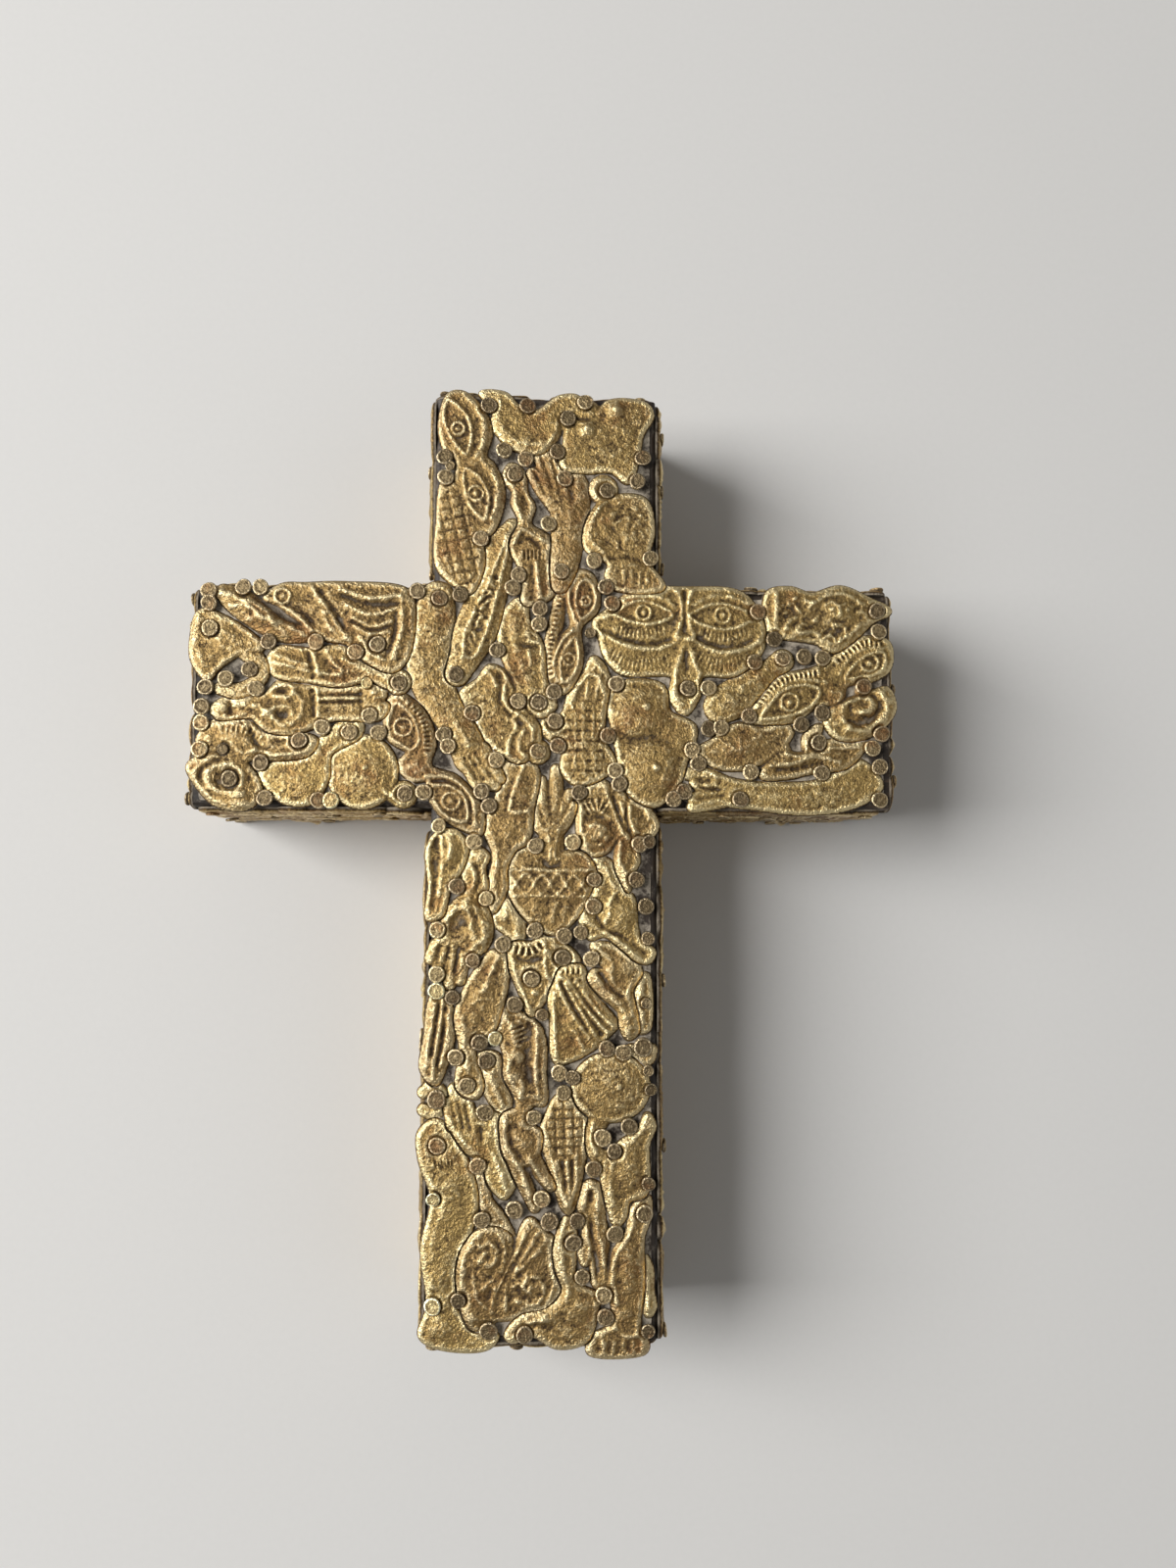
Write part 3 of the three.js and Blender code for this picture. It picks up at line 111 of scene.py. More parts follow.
class BoardSettings(bpy.types.PropertyGroup):
    wood: color_property("Wood", "Colour of the stained wood", (0.03, 0.019, 0.011))
    worn: color_property(
        "Worn wood", "Colour of the wood where the stain is rubbed through", (0.16, 0.095, 0.05))
    residue: color_property(
        "Residue", "Colour of the waxy dust between the charms", (0.43, 0.37, 0.285))


class StageSettings(bpy.types.PropertyGroup):
    floor: color_property("Floor", "Colour of the floor", (0.66, 0.65, 0.63))
    lens: bpy.props.FloatProperty(
        name="Lens", description="Focal length of the camera in millimetres", default=25.99)
    key: bpy.props.FloatProperty(
        name="Key light", description="Power of the large soft lamp on the left",
        default=29, unit="POWER")


# Curves and noise


def blend(a, b, low, high, t):
    """Goes from a, where t is low, to b, where t is high."""
    return (high - t) / (high - low) * a + (t - low) / (high - low) * b


def spline(points, closed, step=0.25, least=1e-4):
    """Points along the smooth curve through the given ones, rows of any width."""
    p = np.array(points, float)
    if len(p) == 1:
        return p
    if closed:
        around = np.concatenate([p[-1:], p, p[:2]])
    else:
        around = np.concatenate([[2 * p[0] - p[1]], p, [2 * p[-1] - p[-2]]])
    out = []
    for a, b, c, d in zip(around, around[1:], around[2:], around[3:]):
        gaps = [max(math.sqrt(np.linalg.norm(end - start)), least)
                for start, end in ((a, b), (b, c), (c, d))]
        t0, t1, t2, t3 = np.cumsum([0, *gaps])
        steps = max(2, round(np.linalg.norm(c - b) / step))
        t = (t1 + (t2 - t1) * np.arange(steps) / steps)[:, None]
        near_a = blend(a, b, t0, t1, t)
        near_b = blend(b, c, t1, t2, t)
        near_c = blend(c, d, t2, t3, t)
        before = blend(near_a, near_b, t0, t2, t)
        after = blend(near_b, near_c, t1, t3, t)
        out.append(blend(before, after, t1, t2, t))
    if not closed:
        out.append(p[-1:])
    return np.concatenate(out)


def line_distance(p, way, closed=False):
    """Distance of each point of p to a polyline."""
    if len(way) == 1:
        return np.linalg.norm(p - way[0], axis=1)
    start = way if closed else way[:-1]
    along = (np.roll(way, -1, 0) if closed else way[1:]) - start
    size = np.maximum((along ** 2).sum(1), 1e-12)
    best = np.full(len(p), np.inf)
    for s, d, q in zip(start, along, size):
        t = np.clip(((p - s) @ d) / q, 0, 1)
        best = np.minimum(best, ((p - s - t[:, None] * d) ** 2).sum(1))
    return np.sqrt(best)


def angles(count):
    """Angles once round, evenly spaced."""
    return np.linspace(0, 2 * math.pi, count, endpoint=False)


def turned(points, degrees):
    """Points turned about the origin."""
    c, s = math.cos(math.radians(degrees)), math.sin(math.radians(degrees))
    x, y = points.T
    return np.column_stack([x * c - y * s, x * s + y * c])


def smooth(t):
    """0 below 0, 1 above 1, smooth between."""
    t = np.clip(t, 0, 1)
    return t * t * (3 - 2 * t)


def bell(x):
    return np.exp(-x ** 2)


def scatter(i, j, seed=0):
    """Numbers from 0 to 1 that look random, always the same for the same place."""
    n = np.sin(i * 127.1 + j * 311.7 + seed * 74.7) * 43758.5453
    return n - np.floor(n)


def noise(p, seed=0):
    """Smooth noise from -1 to 1, one wave to a unit square or so."""
    i, j = np.floor(p).T
    u, v = smooth(p - np.floor(p)).T
    low = scatter(i, j, seed) * (1 - u) + scatter(i + 1, j, seed) * u
    high = scatter(i, j + 1, seed) * (1 - u) + scatter(i + 1, j + 1, seed) * u
    return 2 * (low * (1 - v) + high * v) - 1


def close_to(p, box, reach):
    """Which points lie in a box that is widened by a reach."""
    return np.all((p > box[0] - reach) & (p < box[1] + reach), axis=1)


# Outlines


def outline(depth, rim):
    """depth gives, for points on the face, how deep they lie inside the outline, and the half
    width there where the form is round across."""
    return {"depth": depth, "box": (rim.min(0), rim.max(0)), "rim": rim}


def plate(*points):
    """A flat shape inside a smooth closed curve."""
    rim = spline(points, True)

    def depth(p):
        inside = np.zeros(len(p), bool)
        for (x1, y1), (x2, y2) in zip(rim, np.roll(rim, -1, 0)):
            if y1 == y2:
                continue
            crosses = (y1 > p[:, 1]) != (y2 > p[:, 1])
            inside ^= crosses & (p[:, 0] < x1 + (p[:, 1] - y1) * (x2 - x1) / (y2 - y1))
        away = line_distance(p, rim, True)
        return np.where(inside, away, -away), np.zeros(len(p))

    return outline(depth, rim)


def oval(x, y, rx, ry=None):
    """A flat ellipse."""
    ry = ry or rx
    return plate(*[(x + rx * math.cos(t), y + ry * math.sin(t)) for t in angles(48)])


def limb(*stations):
    """A form that is round across, along a smooth line of (x, y, radius) stations."""
    way = spline(stations, False)

    def depth(p):
        best = np.full(len(p), -np.inf)
        width = np.zeros(len(p))
        for x, y, r in way:
            inner = r - np.hypot(p[:, 0] - x, p[:, 1] - y)
            width = np.where(inner > best, r, width)
            best = np.maximum(best, inner)
        return best, width

    return outline(depth, np.concatenate(
        [way[:, :2] + way[:, 2:] * (math.cos(t), math.sin(t)) for t in angles(12)]))


def hand(*fingers):
    """A limb for each finger."""
    return [limb(*finger) for finger in fingers]


# Relief


def nearby(points, reach, raised):
    """A relief: gives the height to add at points on the face. It is worked out only close to
    the points that the relief is drawn through."""
    drawn = np.array(points, float)[:, :2]
    box = drawn.min(0), drawn.max(0)

    def height(p):
        out = np.zeros(len(p))
        near = close_to(p, box, reach)
        if near.any():
            out[near] = raised(p[near])
        return out

    return height


def line(width, height, *points, soft=1.4, core=0.7, foot=2.2, waver=0.3, wave=1.2, reach=5):
    """A raised line, or a groove where the height is negative. It has a narrow core and a
    wider foot, and its height wavers."""
    way = spline(points, False, 0.4)
    width = soft * width

    def raised(p):
        away = line_distance(p, way) / width
        swell = core * bell(away) + (1 - core) * bell(away / foot)
        return height * swell * (1 + waver * noise(p / wave, 11))

    return nearby(points, reach * width, raised)


def lines(width, height, *ways):
    """Several lines of one width and height."""
    made = [line(width, height, *way) for way in ways]
    return lambda p: sum(raised(p) for raised in made)


def lashes(width, spacing, height, *points, soft=0.3):
    """Short strokes across a smooth line."""
    way = spline(points, False, 0.12)
    reach = np.concatenate([[0], np.cumsum(np.linalg.norm(np.diff(way, axis=0), axis=1))])

    def raised(p):
        away = np.hypot(p[:, :1] - way[:, 0], p[:, 1:] - way[:, 1])
        mask = smooth((width - away.min(1)) / soft)
        return mask * height * np.cos(2 * math.pi * reach[away.argmin(1)] / spacing)

    return nearby(points, width + 0.5, raised)


def ridge(*stations, height=0.3):
    """A raised round ridge along (x, y, radius) stations."""
    form = limb(*stations)

    def raised(p):
        depth, width = form["depth"](p)
        return height * smooth(0.5 + 0.5 * depth / np.maximum(width, 0.01))

    return nearby(stations, 3, raised)


def area(p, x, y, rx, ry, turn, soft=0.35):
    """A soft mask over an ellipse, and the points in its own axes."""
    u, v = turned(p - (x, y), -turn).T
    inner = (1 - np.sqrt((u / rx) ** 2 + (v / ry) ** 2)) * min(rx, ry)
    return smooth(inner / soft), u, v


def bump(x, y, rx, height, ry=None, turn=0.0, fullness=1.05):
    """A round swelling, or a dent where the height is negative."""
    ry = ry or rx

    def raised(p):
        _, u, v = area(p, x, y, rx, ry, turn)
        return height * np.clip(1 - (u / rx) ** 2 - (v / ry) ** 2, 0, 1) ** fullness

    return nearby([(x, y)], max(rx, ry), raised)


def ring(x, y, r, width, height):
    """A raised ring."""
    def raised(p):
        return height * bell((np.hypot(p[:, 0] - x, p[:, 1] - y) - r) / width)

    return nearby([(x, y)], r + 3 * width, raised)


def eye(lid, x, y, r, height=0.28, lid_width=0.38, iris_width=0.28, pupil=0.42, inner=0.9):
    """An eye: a raised lid line round an almond, an iris ring and a pupil."""
    edge = spline(lid, True, 0.4)

    def raised(p):
        away = np.hypot(p[:, 0] - x, p[:, 1] - y)
        lids = height * bell(line_distance(p, edge, True) / lid_width)
        iris = inner * height * bell((away - r) / iris_width)
        return np.maximum(np.maximum(lids, iris), inner * height * bell(away / (pupil * r)))

    return nearby(lid, 1.5, raised)


def kernels(x, y, rx, ry, turn, pitch, height, crown=1.7, sunk=0.9, waver=0.12):
    """Rows of kernels, over an ellipse."""
    def raised(p):
        mask, u, v = area(p, x, y, rx, ry, turn)
        a = 2 * np.abs(((u + waver * noise(p / 1.5, 21)) / pitch) % 1 - 0.5)
        b = 2 * np.abs((v / pitch) % 1 - 0.5)
        return mask * height * (crown * (1 - a ** 4) * (1 - b ** 4) - sunk)

    return nearby([(x, y)], max(rx, ry), raised)


def curls(x, y, rx, ry, turn, pitch, height, warp=0.9, broad=1.1, fine=0.6):
    """Winding locks, as of hair or fleece, over an ellipse."""
    def raised(p):
        mask, _, _ = area(p, x, y, rx, ry, turn, 0.9)
        q = p / pitch
        q = q + warp * np.stack([noise(q / 1.7, 5), noise(q / 1.7, 9)], 1)
        return mask * height * (broad * noise(q, 3) + fine * noise(2.1 * q, 4))

    return nearby([(x, y)], max(rx, ry), raised)


def charm(*parts):
    """A charm, given as its outlines and the relief on them."""
    return {"outlines": [part for part in parts if isinstance(part, dict)],
            "relief": [part for part in parts if callable(part)]}


# Charms of the front, those that lie on top first, all in millimetres

CHARMS = {
    # Upper post
    "eyes_and_corn_upper": charm(
        plate((-15.7, 75), (-17.1, 70.1), (-16.2, 65.8), (-14.3, 64.2), (-14.3, 60), (-12.4, 54.6),
            (-9.3, 51.9), (-7.4, 55.5), (-7.1, 59.5), (-8.6, 63.2), (-10, 64.8), (-9.2, 68.5),
            (-10.5, 72.5), (-13.7, 75.3)),
        plate((-16.4, 60.2), (-17.2, 54.3), (-17.1, 46.2), (-13.7, 43), (-12.1, 42.3), (-10.2, 46.8),
            (-10.9, 51.6), (-12.9, 55.6), (-13.8, 59.2)),
        eye([(-16.2, 74), (-13.4, 72), (-12.2, 69.4), (-12.3, 66.4), (-13, 65), (-15.2, 67.4),
            (-16.6, 71)], -14.3, 69.2, 1),
        line(0.35, 0.3, (-13.2, 74.6), (-11.2, 72.6), (-10.1, 69.8), (-10.3, 66.6), (-11.2, 64.8)),
        eye([(-13, 62.4), (-10.6, 60.8), (-9.4, 58.6), (-9.3, 56), (-9.9, 54.2), (-12, 56), (-13.2, 59.4)],
            -11.3, 58.4, 1.2),
        line(0.35, 0.3, (-10.4, 63.8), (-8.6, 61.8), (-7.8, 59.4), (-7.9, 56.8), (-8.7, 54.4)),
        kernels(-14.1, 50.8, 8.6, 3.3, -77, 1.8, 0.12)),
    "crescent_and_chest": charm(
        plate((-10.5, 75.3), (-6.8, 75.2), (-4.5, 73), (-1.6, 72.2), (2.4, 74.8), (5.1, 74.8), (5.3, 73.1),
            (2.5, 71.7), (1.8, 68.3), (-1, 65.6), (-5.3, 66.3), (-8.4, 69.8), (-8.4, 73)),
        plate((8.6, 72.2), (10.5, 74.1), (16.3, 73.7), (17.2, 72), (15.5, 68.5), (14.9, 64.8),
            (13.4, 60.9), (10.8, 62.6), (6.6, 62.5), (2.9, 63.1), (3.2, 66.7), (3.8, 70.1), (7.4, 70.9)),
        limb((4.2, 74, 0.9), (6.4, 72.8, 1.5), (8.3, 71.8, 1)),
        limb((1.9, 70.6, 0.8), (4.6, 69.8, 0.8)),
        line(0.4, 0.22, (-7.8, 73.6), (-7.6, 70.4), (-5.2, 67.4), (-2, 66.6), (0.8, 67.6), (1.6, 70)),
        bump(11.2, 72.6, 1.7, 0.42),
        bump(6.6, 69.4, 1.7, 0.45),
        bump(11.4, 72.7, 0.6, 0.26),
        bump(6.7, 69.5, 0.6, 0.26),
        curls(9.6, 67.6, 5, 4, 0, 2.4, 0.06)),
    "veiled_bust": charm(
        plate((9.2, 57.2), (6.8, 53.3), (6.8, 49.6), (10.4, 47.2), (10.1, 45), (11.6, 43.1), (19, 43.3),
            (16.5, 47.6), (17.3, 52.7), (16.2, 57.6), (13.2, 58.4)),
        oval(9.4, 59.4, 1.9, 2),
        curls(12, 53.2, 4.8, 4.4, 0, 1.1, 0.15),
        line(0.35, 0.28, (8.6, 56.4), (7.5, 53.4), (7.4, 50.8), (9.4, 48.9)),
        line(0.35, -0.2, (10.2, 47.6), (13, 48.2), (16, 47.4)),
        lashes(1.4, 1.3, 0.05, (11.4, 45), (17.6, 44.8)),
        ring(9.4, 59.4, 1.5, 0.3, 0.2)),
    "forearm_upper": charm(
        limb((2.4, 43.6, 1), (2.9, 46, 1.7), (3.6, 50.5, 2.2), (4.1, 55.5, 2.8)),
        *hand([(1.9, 56.6, 1.1), (-0.6, 59.8, 0.9), (-2.1, 62, 0.6)], [(2.4, 57, 1), (0.3, 61.4, 0.8),
            (-1, 64.7, 0.5)], [(3, 57.6, 1), (1.5, 61.6, 0.8), (0.4, 65, 0.5)], [(3.8, 57.5, 1.2),
            (2.7, 60.4, 0.9), (1.9, 62.7, 0.5)], [(5.4, 56.6, 1.3), (5.6, 59.4, 1.2), (5.2, 61.4, 0.7)]),
        lines(0.22, -0.22, [(-1.9, 62.4), (-0.2, 58.8)], [(-0.6, 64.4), (1, 59.8)], [(1, 64),
            (2.3, 59.6)]),
        line(0.25, -0.2, (3.6, 60.6), (4.4, 57.4)),
        bump(4.2, 53, 1.4, 0.1, 3.4, 8)),
    "standing_man_upper": charm(
        plate((-5.7, 63.3), (-3.9, 62.2), (-3.2, 58.5), (-2.1, 56.5), (-2.6, 53.5), (0.7, 51), (0.4, 48),
            (1.1, 42), (-3.2, 40.5), (-3.3, 44.8), (-5.4, 50), (-4, 53.8), (-5.2, 57), (-5.1, 58.8),
            (-6.6, 61.4)),
        bump(-4.9, 61.4, 1.2, 0.2),
        bump(-3.3, 57.2, 0.9, -0.3, 1.7),
        lines(0.3, 0.3, [(-5.5, 59.6), (-4.9, 56.8), (-4, 54.2)], [(-4.9, 50.4), (-3.9, 52.4), (-2.4, 52),
            (-0.4, 50.8)]),
        line(0.28, -0.25, (-4.1, 50.4), (-2.6, 51), (-1, 49.8)),
        lashes(1, 0.62, 0.14, (-3.6, 48.4), (-0.4, 48.4)),
        line(0.3, 0.28, (-1.4, 46.9), (-1.1, 43.4), (-0.7, 41.2)),
        line(0.28, -0.22, (-2.1, 46.6), (-2, 41.4))),
    "pod_upper": charm(
        limb((-5.4, 53.2, 0.8), (-7.2, 50, 1.6), (-8.4, 45, 2.3), (-9.8, 40, 2.7), (-11.3, 35.5, 2.9),
            (-12.6, 32, 2.1), (-14, 28.9, 1.5)),
        lines(0.24, 0.24, [(-6, 51.8), (-8.6, 45), (-11, 39.6), (-12.8, 35.4), (-13.1, 31.7)], [(-5.6, 51),
            (-7.1, 44.6), (-8.2, 39.6), (-9.5, 35.4), (-11.4, 31.6), (-13.1, 31.7)]),
        curls(-9.8, 39.8, 8.4, 1.7, 71, 0.75, 0.22)),
    # Left arm
    "braid_and_robe": charm(
        limb((-51.5, 41.8, 0.9), (-49, 40.3, 1.8), (-45.5, 38, 1.9), (-42, 35.9, 1.6), (-37, 35.4, 1.1)),
        plate((-44.7, 41), (-42.2, 42.9), (-38.5, 43.1), (-32.2, 43.3), (-22.2, 42.2), (-21.2, 38.7),
            (-22.3, 31.3), (-24.3, 29.4), (-28.5, 31), (-31.4, 33.7), (-35, 34.5), (-38.7, 36.8),
            (-42.7, 40)),
        lines(0.38, 0.32, [(-51.6, 41.6), (-49.4, 41.2), (-46.8, 39.2)], [(-50.2, 39.4), (-47.8, 39.6),
            (-45, 37.6)], [(-47.6, 40.6), (-45, 39.2), (-43, 36.8)], [(-47, 37.6), (-44.2, 37.4),
            (-41.6, 35.4)]),
        line(0.35, 0.28, (-43.6, 37.4), (-41, 36.4), (-38.4, 34.9)),
        ring(-42, 41.2, 1.2, 0.28, 0.28),
        bump(-42, 41.2, 0.8, 0.15),
        line(0.32, 0.3, (-43.4, 39.8), (-40.6, 38.8), (-38.6, 37.2), (-37.2, 35.6)),
        line(0.3, -0.22, (-41.6, 39.8), (-39.4, 39.2), (-37.4, 37.2)),
        bump(-38.6, 41, 1.8, -0.18, 1.2),
        line(0.35, 0.32, (-37.2, 42.4), (-35, 39.6), (-33.2, 36.8), (-31.4, 34.2)),
        line(0.3, -0.3, (-36, 42), (-33.8, 39), (-32.2, 36.2)),
        line(0.3, 0.28, (-35.4, 38.6), (-34.4, 36.2), (-32.4, 34.6)),
        line(0.3, 0.3, (-32.8, 42.4), (-28, 41), (-23.2, 41.5)),
        line(0.3, -0.26, (-32.6, 41.4), (-28, 40), (-22.8, 40.2)),
        line(0.3, 0.28, (-31.6, 39.6), (-28, 38.3), (-24, 39.2)),
        line(0.28, 0.26, (-30.8, 37.8), (-27.6, 36.4), (-24.4, 37.2)),
        line(0.28, 0.24, (-30.4, 36.4), (-27.6, 35.2), (-25, 35.6)),
        line(0.3, -0.22, (-30.6, 37.1), (-27.4, 35.8), (-24.6, 36.4)),
        line(0.4, 0.28, (-22.9, 40.4), (-22.9, 36), (-24.2, 31.4)),
        line(0.3, -0.26, (-23.9, 39), (-24.1, 35), (-25.4, 31.6)),
        line(0.3, 0.28, (-29.6, 34.6), (-27.8, 32.4), (-25.6, 31))),
    "stomach": charm(
        plate((-55, 38.6), (-50.3, 37.2), (-45.2, 32.9), (-49, 31.8), (-52.2, 29.5), (-53.6, 27.9),
            (-55.8, 30.5), (-56.2, 33.7)),
        limb((-48.5, 32.6, 0.9), (-45.8, 30.8, 0.9), (-45.2, 28.6, 0.8), (-46.6, 26.8, 0.8),
            (-49, 25.9, 0.8), (-51.5, 26.3, 0.6)),
        bump(-51.4, 34.2, 3.6, 0.14, 2.4, -20),
        line(0.35, 0.2, (-55.2, 37.4), (-55.5, 33.6), (-54.2, 30)),
        line(0.25, 0.14, (-52.2, 34.8), (-51.4, 33.2), (-50, 32.4))),
    "leaf": charm(
        plate((-43.9, 30.2), (-42.9, 32.6), (-37.2, 32.5), (-32.4, 32.9), (-29.8, 30.6), (-25.8, 29.3),
            (-24.2, 28.4), (-25.2, 26.9), (-27.7, 27.9), (-32.7, 27), (-37.2, 27.6), (-42.7, 28.5)),
        oval(-23.4, 27.5, 1.6),
        line(0.28, 0.26, (-43.2, 30.4), (-40, 29.7), (-36.5, 28.9), (-32.6, 28.4)),
        line(0.3, 0.26, (-42.8, 31.6), (-39.8, 30.6), (-37.8, 30)),
        line(0.3, -0.26, (-37.8, 32.4), (-37.3, 30.4), (-36.9, 28.2)),
        line(0.3, 0.28, (-36.9, 32.5), (-36.4, 30.4), (-35.9, 28.6)),
        line(0.26, 0.2, (-34.8, 32.3), (-33.6, 30.6), (-32.2, 29.2)),
        line(0.26, 0.16, (-32, 31.2), (-28.6, 29.3), (-25.2, 28.1)),
        curls(-33, 30, 3.6, 2, 0, 1.5, 0.07),
        ring(-23.4, 27.5, 1.4, 0.25, 0.16)),
    "lying_man": charm(
        plate((-52.6, 23.1), (-50, 24.8), (-44.8, 24.9), (-42, 27.4), (-38.7, 26.6), (-29.5, 26.4),
            (-25.9, 26.7), (-25.6, 25.2), (-27, 24.4), (-25.1, 23.7), (-26, 21.9), (-33.7, 21.5),
            (-37.6, 20), (-40, 19.3), (-44, 19.8), (-46.5, 21.8), (-51.8, 21.7)),
        bump(-51.2, 23.4, 1.2, 0.26),
        line(0.28, -0.22, (-49.8, 24.6), (-49.8, 22.1)),
        line(0.4, 0.3, (-49, 23.9), (-46, 23.5), (-43.6, 22.2), (-42.2, 20.8)),
        line(0.35, 0.32, (-44.4, 26), (-41.8, 26.9), (-40, 26.4), (-40.4, 25), (-43, 25)),
        bump(-41.8, 25.8, 1, -0.22, 0.7),
        line(0.35, 0.32, (-44.4, 22), (-42.4, 23.3), (-40.3, 23.1), (-39.8, 21), (-41.2, 20.3)),
        bump(-41.4, 21.9, 1, -0.22, 0.8),
        line(0.33, 0.26, (-39.4, 25.6), (-38.4, 23.8), (-38.8, 21.6)),
        line(0.26, -0.24, (-36.9, 26.4), (-36.6, 22)),
        line(0.28, 0.26, (-36.1, 26.4), (-35.9, 22)),
        line(0.25, 0.26, (-35.6, 24.7), (-29.4, 24.9)),
        lines(0.2, -0.22, [(-35.5, 25.3), (-29.4, 25.4)], [(-35.5, 24.1), (-29.4, 24.3)]),
        line(0.25, -0.24, (-29.2, 26.4), (-29.1, 22)),
        bump(-27.2, 25.8, 0.9, 0.2),
        bump(-26.4, 23, 0.9, 0.22)),
    "boar_and_shell": charm(
        plate((-54.7, 18.1), (-52.2, 20.9), (-47.7, 21.2), (-44.8, 19), (-38.6, 18.9), (-36.3, 18),
            (-37.4, 16), (-42.2, 15.2), (-45.8, 15.3), (-49.3, 14.2), (-50.5, 16.2), (-53.5, 16.5)),
        plate((-56.1, 13.9), (-52.7, 15.8), (-47.4, 14.2), (-45, 10.3), (-46.5, 7.5), (-51.6, 7.9),
            (-55.3, 11.8)),
        bump(-48.8, 18.5, 3.6, 0.34, 1.7, -18),
        bump(-53.3, 18, 1, 0.22),
        line(0.28, 0.28, (-52.2, 20.3), (-49.6, 20.5), (-47.4, 20.1)),
        line(0.3, 0.28, (-49.4, 17.2), (-47.4, 15.9), (-45.6, 16.4)),
        line(0.26, -0.24, (-46.4, 19.6), (-45.7, 17.6), (-44, 16.5)),
        line(0.35, 0.3, (-44.4, 15.8), (-41.6, 15.7), (-38.8, 16.2), (-37, 17.4)),
        ring(-38.9, 18, 1.7, 0.25, 0.22),
        bump(-42, 17.9, 1.7, -0.22, 1),
        lashes(0.7, 0.8, 0.1, (-51, 19.8), (-47, 19.4), (-44.4, 18.4)),
        line(0.5, 0.42, (-51.8, 14), (-53.2, 12.6), (-53, 11), (-51.6, 9.9), (-49.6, 9.2), (-47.6, 9.4)),
        line(0.4, 0.28, (-51.6, 15.3), (-54, 14.2), (-55.1, 12.2), (-53.2, 9.7), (-50.4, 8.3), (-47.2, 8)),
        line(0.35, -0.28, (-51.6, 14.8), (-53.9, 13.4), (-54.2, 11.9), (-52.4, 9.6), (-49.8, 8.7)),
        line(0.4, 0.35, (-50.8, 13.9), (-49, 14), (-47.7, 12.6), (-47.9, 11), (-49, 10.3)),
        bump(-50.9, 11.6, 1.2, -0.32, 1.8)),
    "gourd": charm(
        plate((-44.7, 12.6), (-42.5, 14.2), (-38.7, 14.6), (-35.6, 17.9), (-32.4, 20.6), (-29.3, 20.8),
            (-29.4, 19), (-34, 15.9), (-34.4, 12.1), (-36.6, 8.4), (-41.1, 8.4), (-44, 11.2)),
        bump(-39.4, 11.4, 3.8, 0.2, 2.5, 8),
        line(0.35, 0.15, (-36, 16.6), (-33.6, 18.8), (-31.4, 19.8)),
        ring(-30.9, 19.5, 1.5, 0.3, 0.16)),
    "breast_disc_left": charm(
        oval(-28.8, 13.1, 5.2, 5.5),
        limb((-25.8, 10.6, 1.3), (-23.9, 9.8, 1.1), (-22.3, 9.5, 1.7)),
        bump(-28.8, 13.2, 4.7, 0.26),
        bump(-28.3, 13.7, 0.55, 0.26),
        ring(-22.2, 9.6, 1.5, 0.26, 0.2),
        line(0.3, 0.22, (-25.4, 10), (-24, 9.1), (-22.6, 8))),
    "eyes_left": charm(
        plate((-25, 23.5), (-23.5, 25.5), (-19.5, 22.8), (-17.6, 18), (-18.2, 14), (-14, 12.2),
            (-11.4, 9.6), (-9.9, 7), (-10.1, 3.4), (-12.3, 4), (-15.8, 6), (-17.9, 9), (-18.6, 11.8),
            (-21, 11.9), (-23, 14.2), (-21.6, 16.2), (-24.6, 18.5)),
        eye([(-24.9, 18.9), (-24.7, 21.6), (-23.6, 24), (-21.4, 22.4), (-20.2, 20.2), (-20, 17.6),
            (-21.2, 16.6), (-23.2, 17.6)], -22.4, 20.2, 1.4),
        line(0.33, 0.3, (-23.2, 25), (-20.6, 22.8), (-19.2, 20), (-19.1, 17.4)),
        lashes(0.8, 0.75, 0.12, (-21.4, 24.2), (-19.4, 21.8), (-18.4, 18.6), (-18.5, 16)),
        bump(-20.2, 13.8, 1.9, 0.2, 1.5),
        eye([(-18, 10.6), (-15.6, 11), (-13.2, 9.8), (-12.1, 7.6), (-12.2, 5.4), (-14.4, 5.6),
            (-16.6, 7.2), (-17.8, 9)], -14.7, 8.4, 1.35),
        line(0.33, 0.32, (-18.6, 12.4), (-15.4, 12.2), (-12.7, 10.6), (-11.2, 8), (-10.9, 4.6)),
        line(0.24, -0.2, (-17.6, 11.6), (-14.6, 11.4), (-12, 9.2), (-11.5, 5.6)),
        line(0.26, 0.2, (-17.4, 8), (-15.6, 5.9), (-13, 4.9))),
    # Centre
    "bent_arm": charm(
        limb((-17.3, 41.3, 2.2), (-17.9, 37, 3), (-18.7, 31, 3), (-17.6, 26.5, 2.8), (-15.4, 22.7, 2.2),
            (-13, 18.7, 2.3), (-11.6, 15.6, 2.4)),
        *hand([(-12.4, 15.2, 1), (-10.9, 12.2, 0.8), (-10.4, 11.2, 0.6)], [(-11.4, 15, 1),
            (-9.8, 12.2, 0.8), (-9.2, 11, 0.6)], [(-10.4, 15.4, 1), (-8.6, 12.4, 0.8), (-7.9, 11.1, 0.6)],
            [(-9.9, 16.6, 0.9), (-7.9, 13.4, 0.7), (-7.1, 12.1, 0.5)]),
        bump(-17.9, 37, 1.8, 0.12, 4.4),
        line(0.35, -0.12, (-19.4, 33), (-18.4, 30), (-16.8, 30.6)),
        lines(0.22, -0.24, [(-12.6, 15.2), (-10.7, 12)], [(-11.7, 15.4), (-9.6, 12)], [(-10.8, 16),
            (-8.4, 12.4)]),
        line(0.3, 0.14, (-14.2, 21), (-12, 17.4))),
    "liver_and_kidneys": charm(
        plate((-4.2, 41), (-6.8, 37.9), (-6.9, 33), (-4.9, 27.9), (-3.4, 24.8), (-0.8, 22.2), (1.5, 23.7),
            (0, 28), (-0.7, 33.8), (-2.8, 37.6), (-3.2, 40)),
        plate((-8.7, 30.1), (-5.8, 28.4), (-4.4, 24.4), (-1.2, 20.6), (-1.2, 17), (-3.9, 14.9),
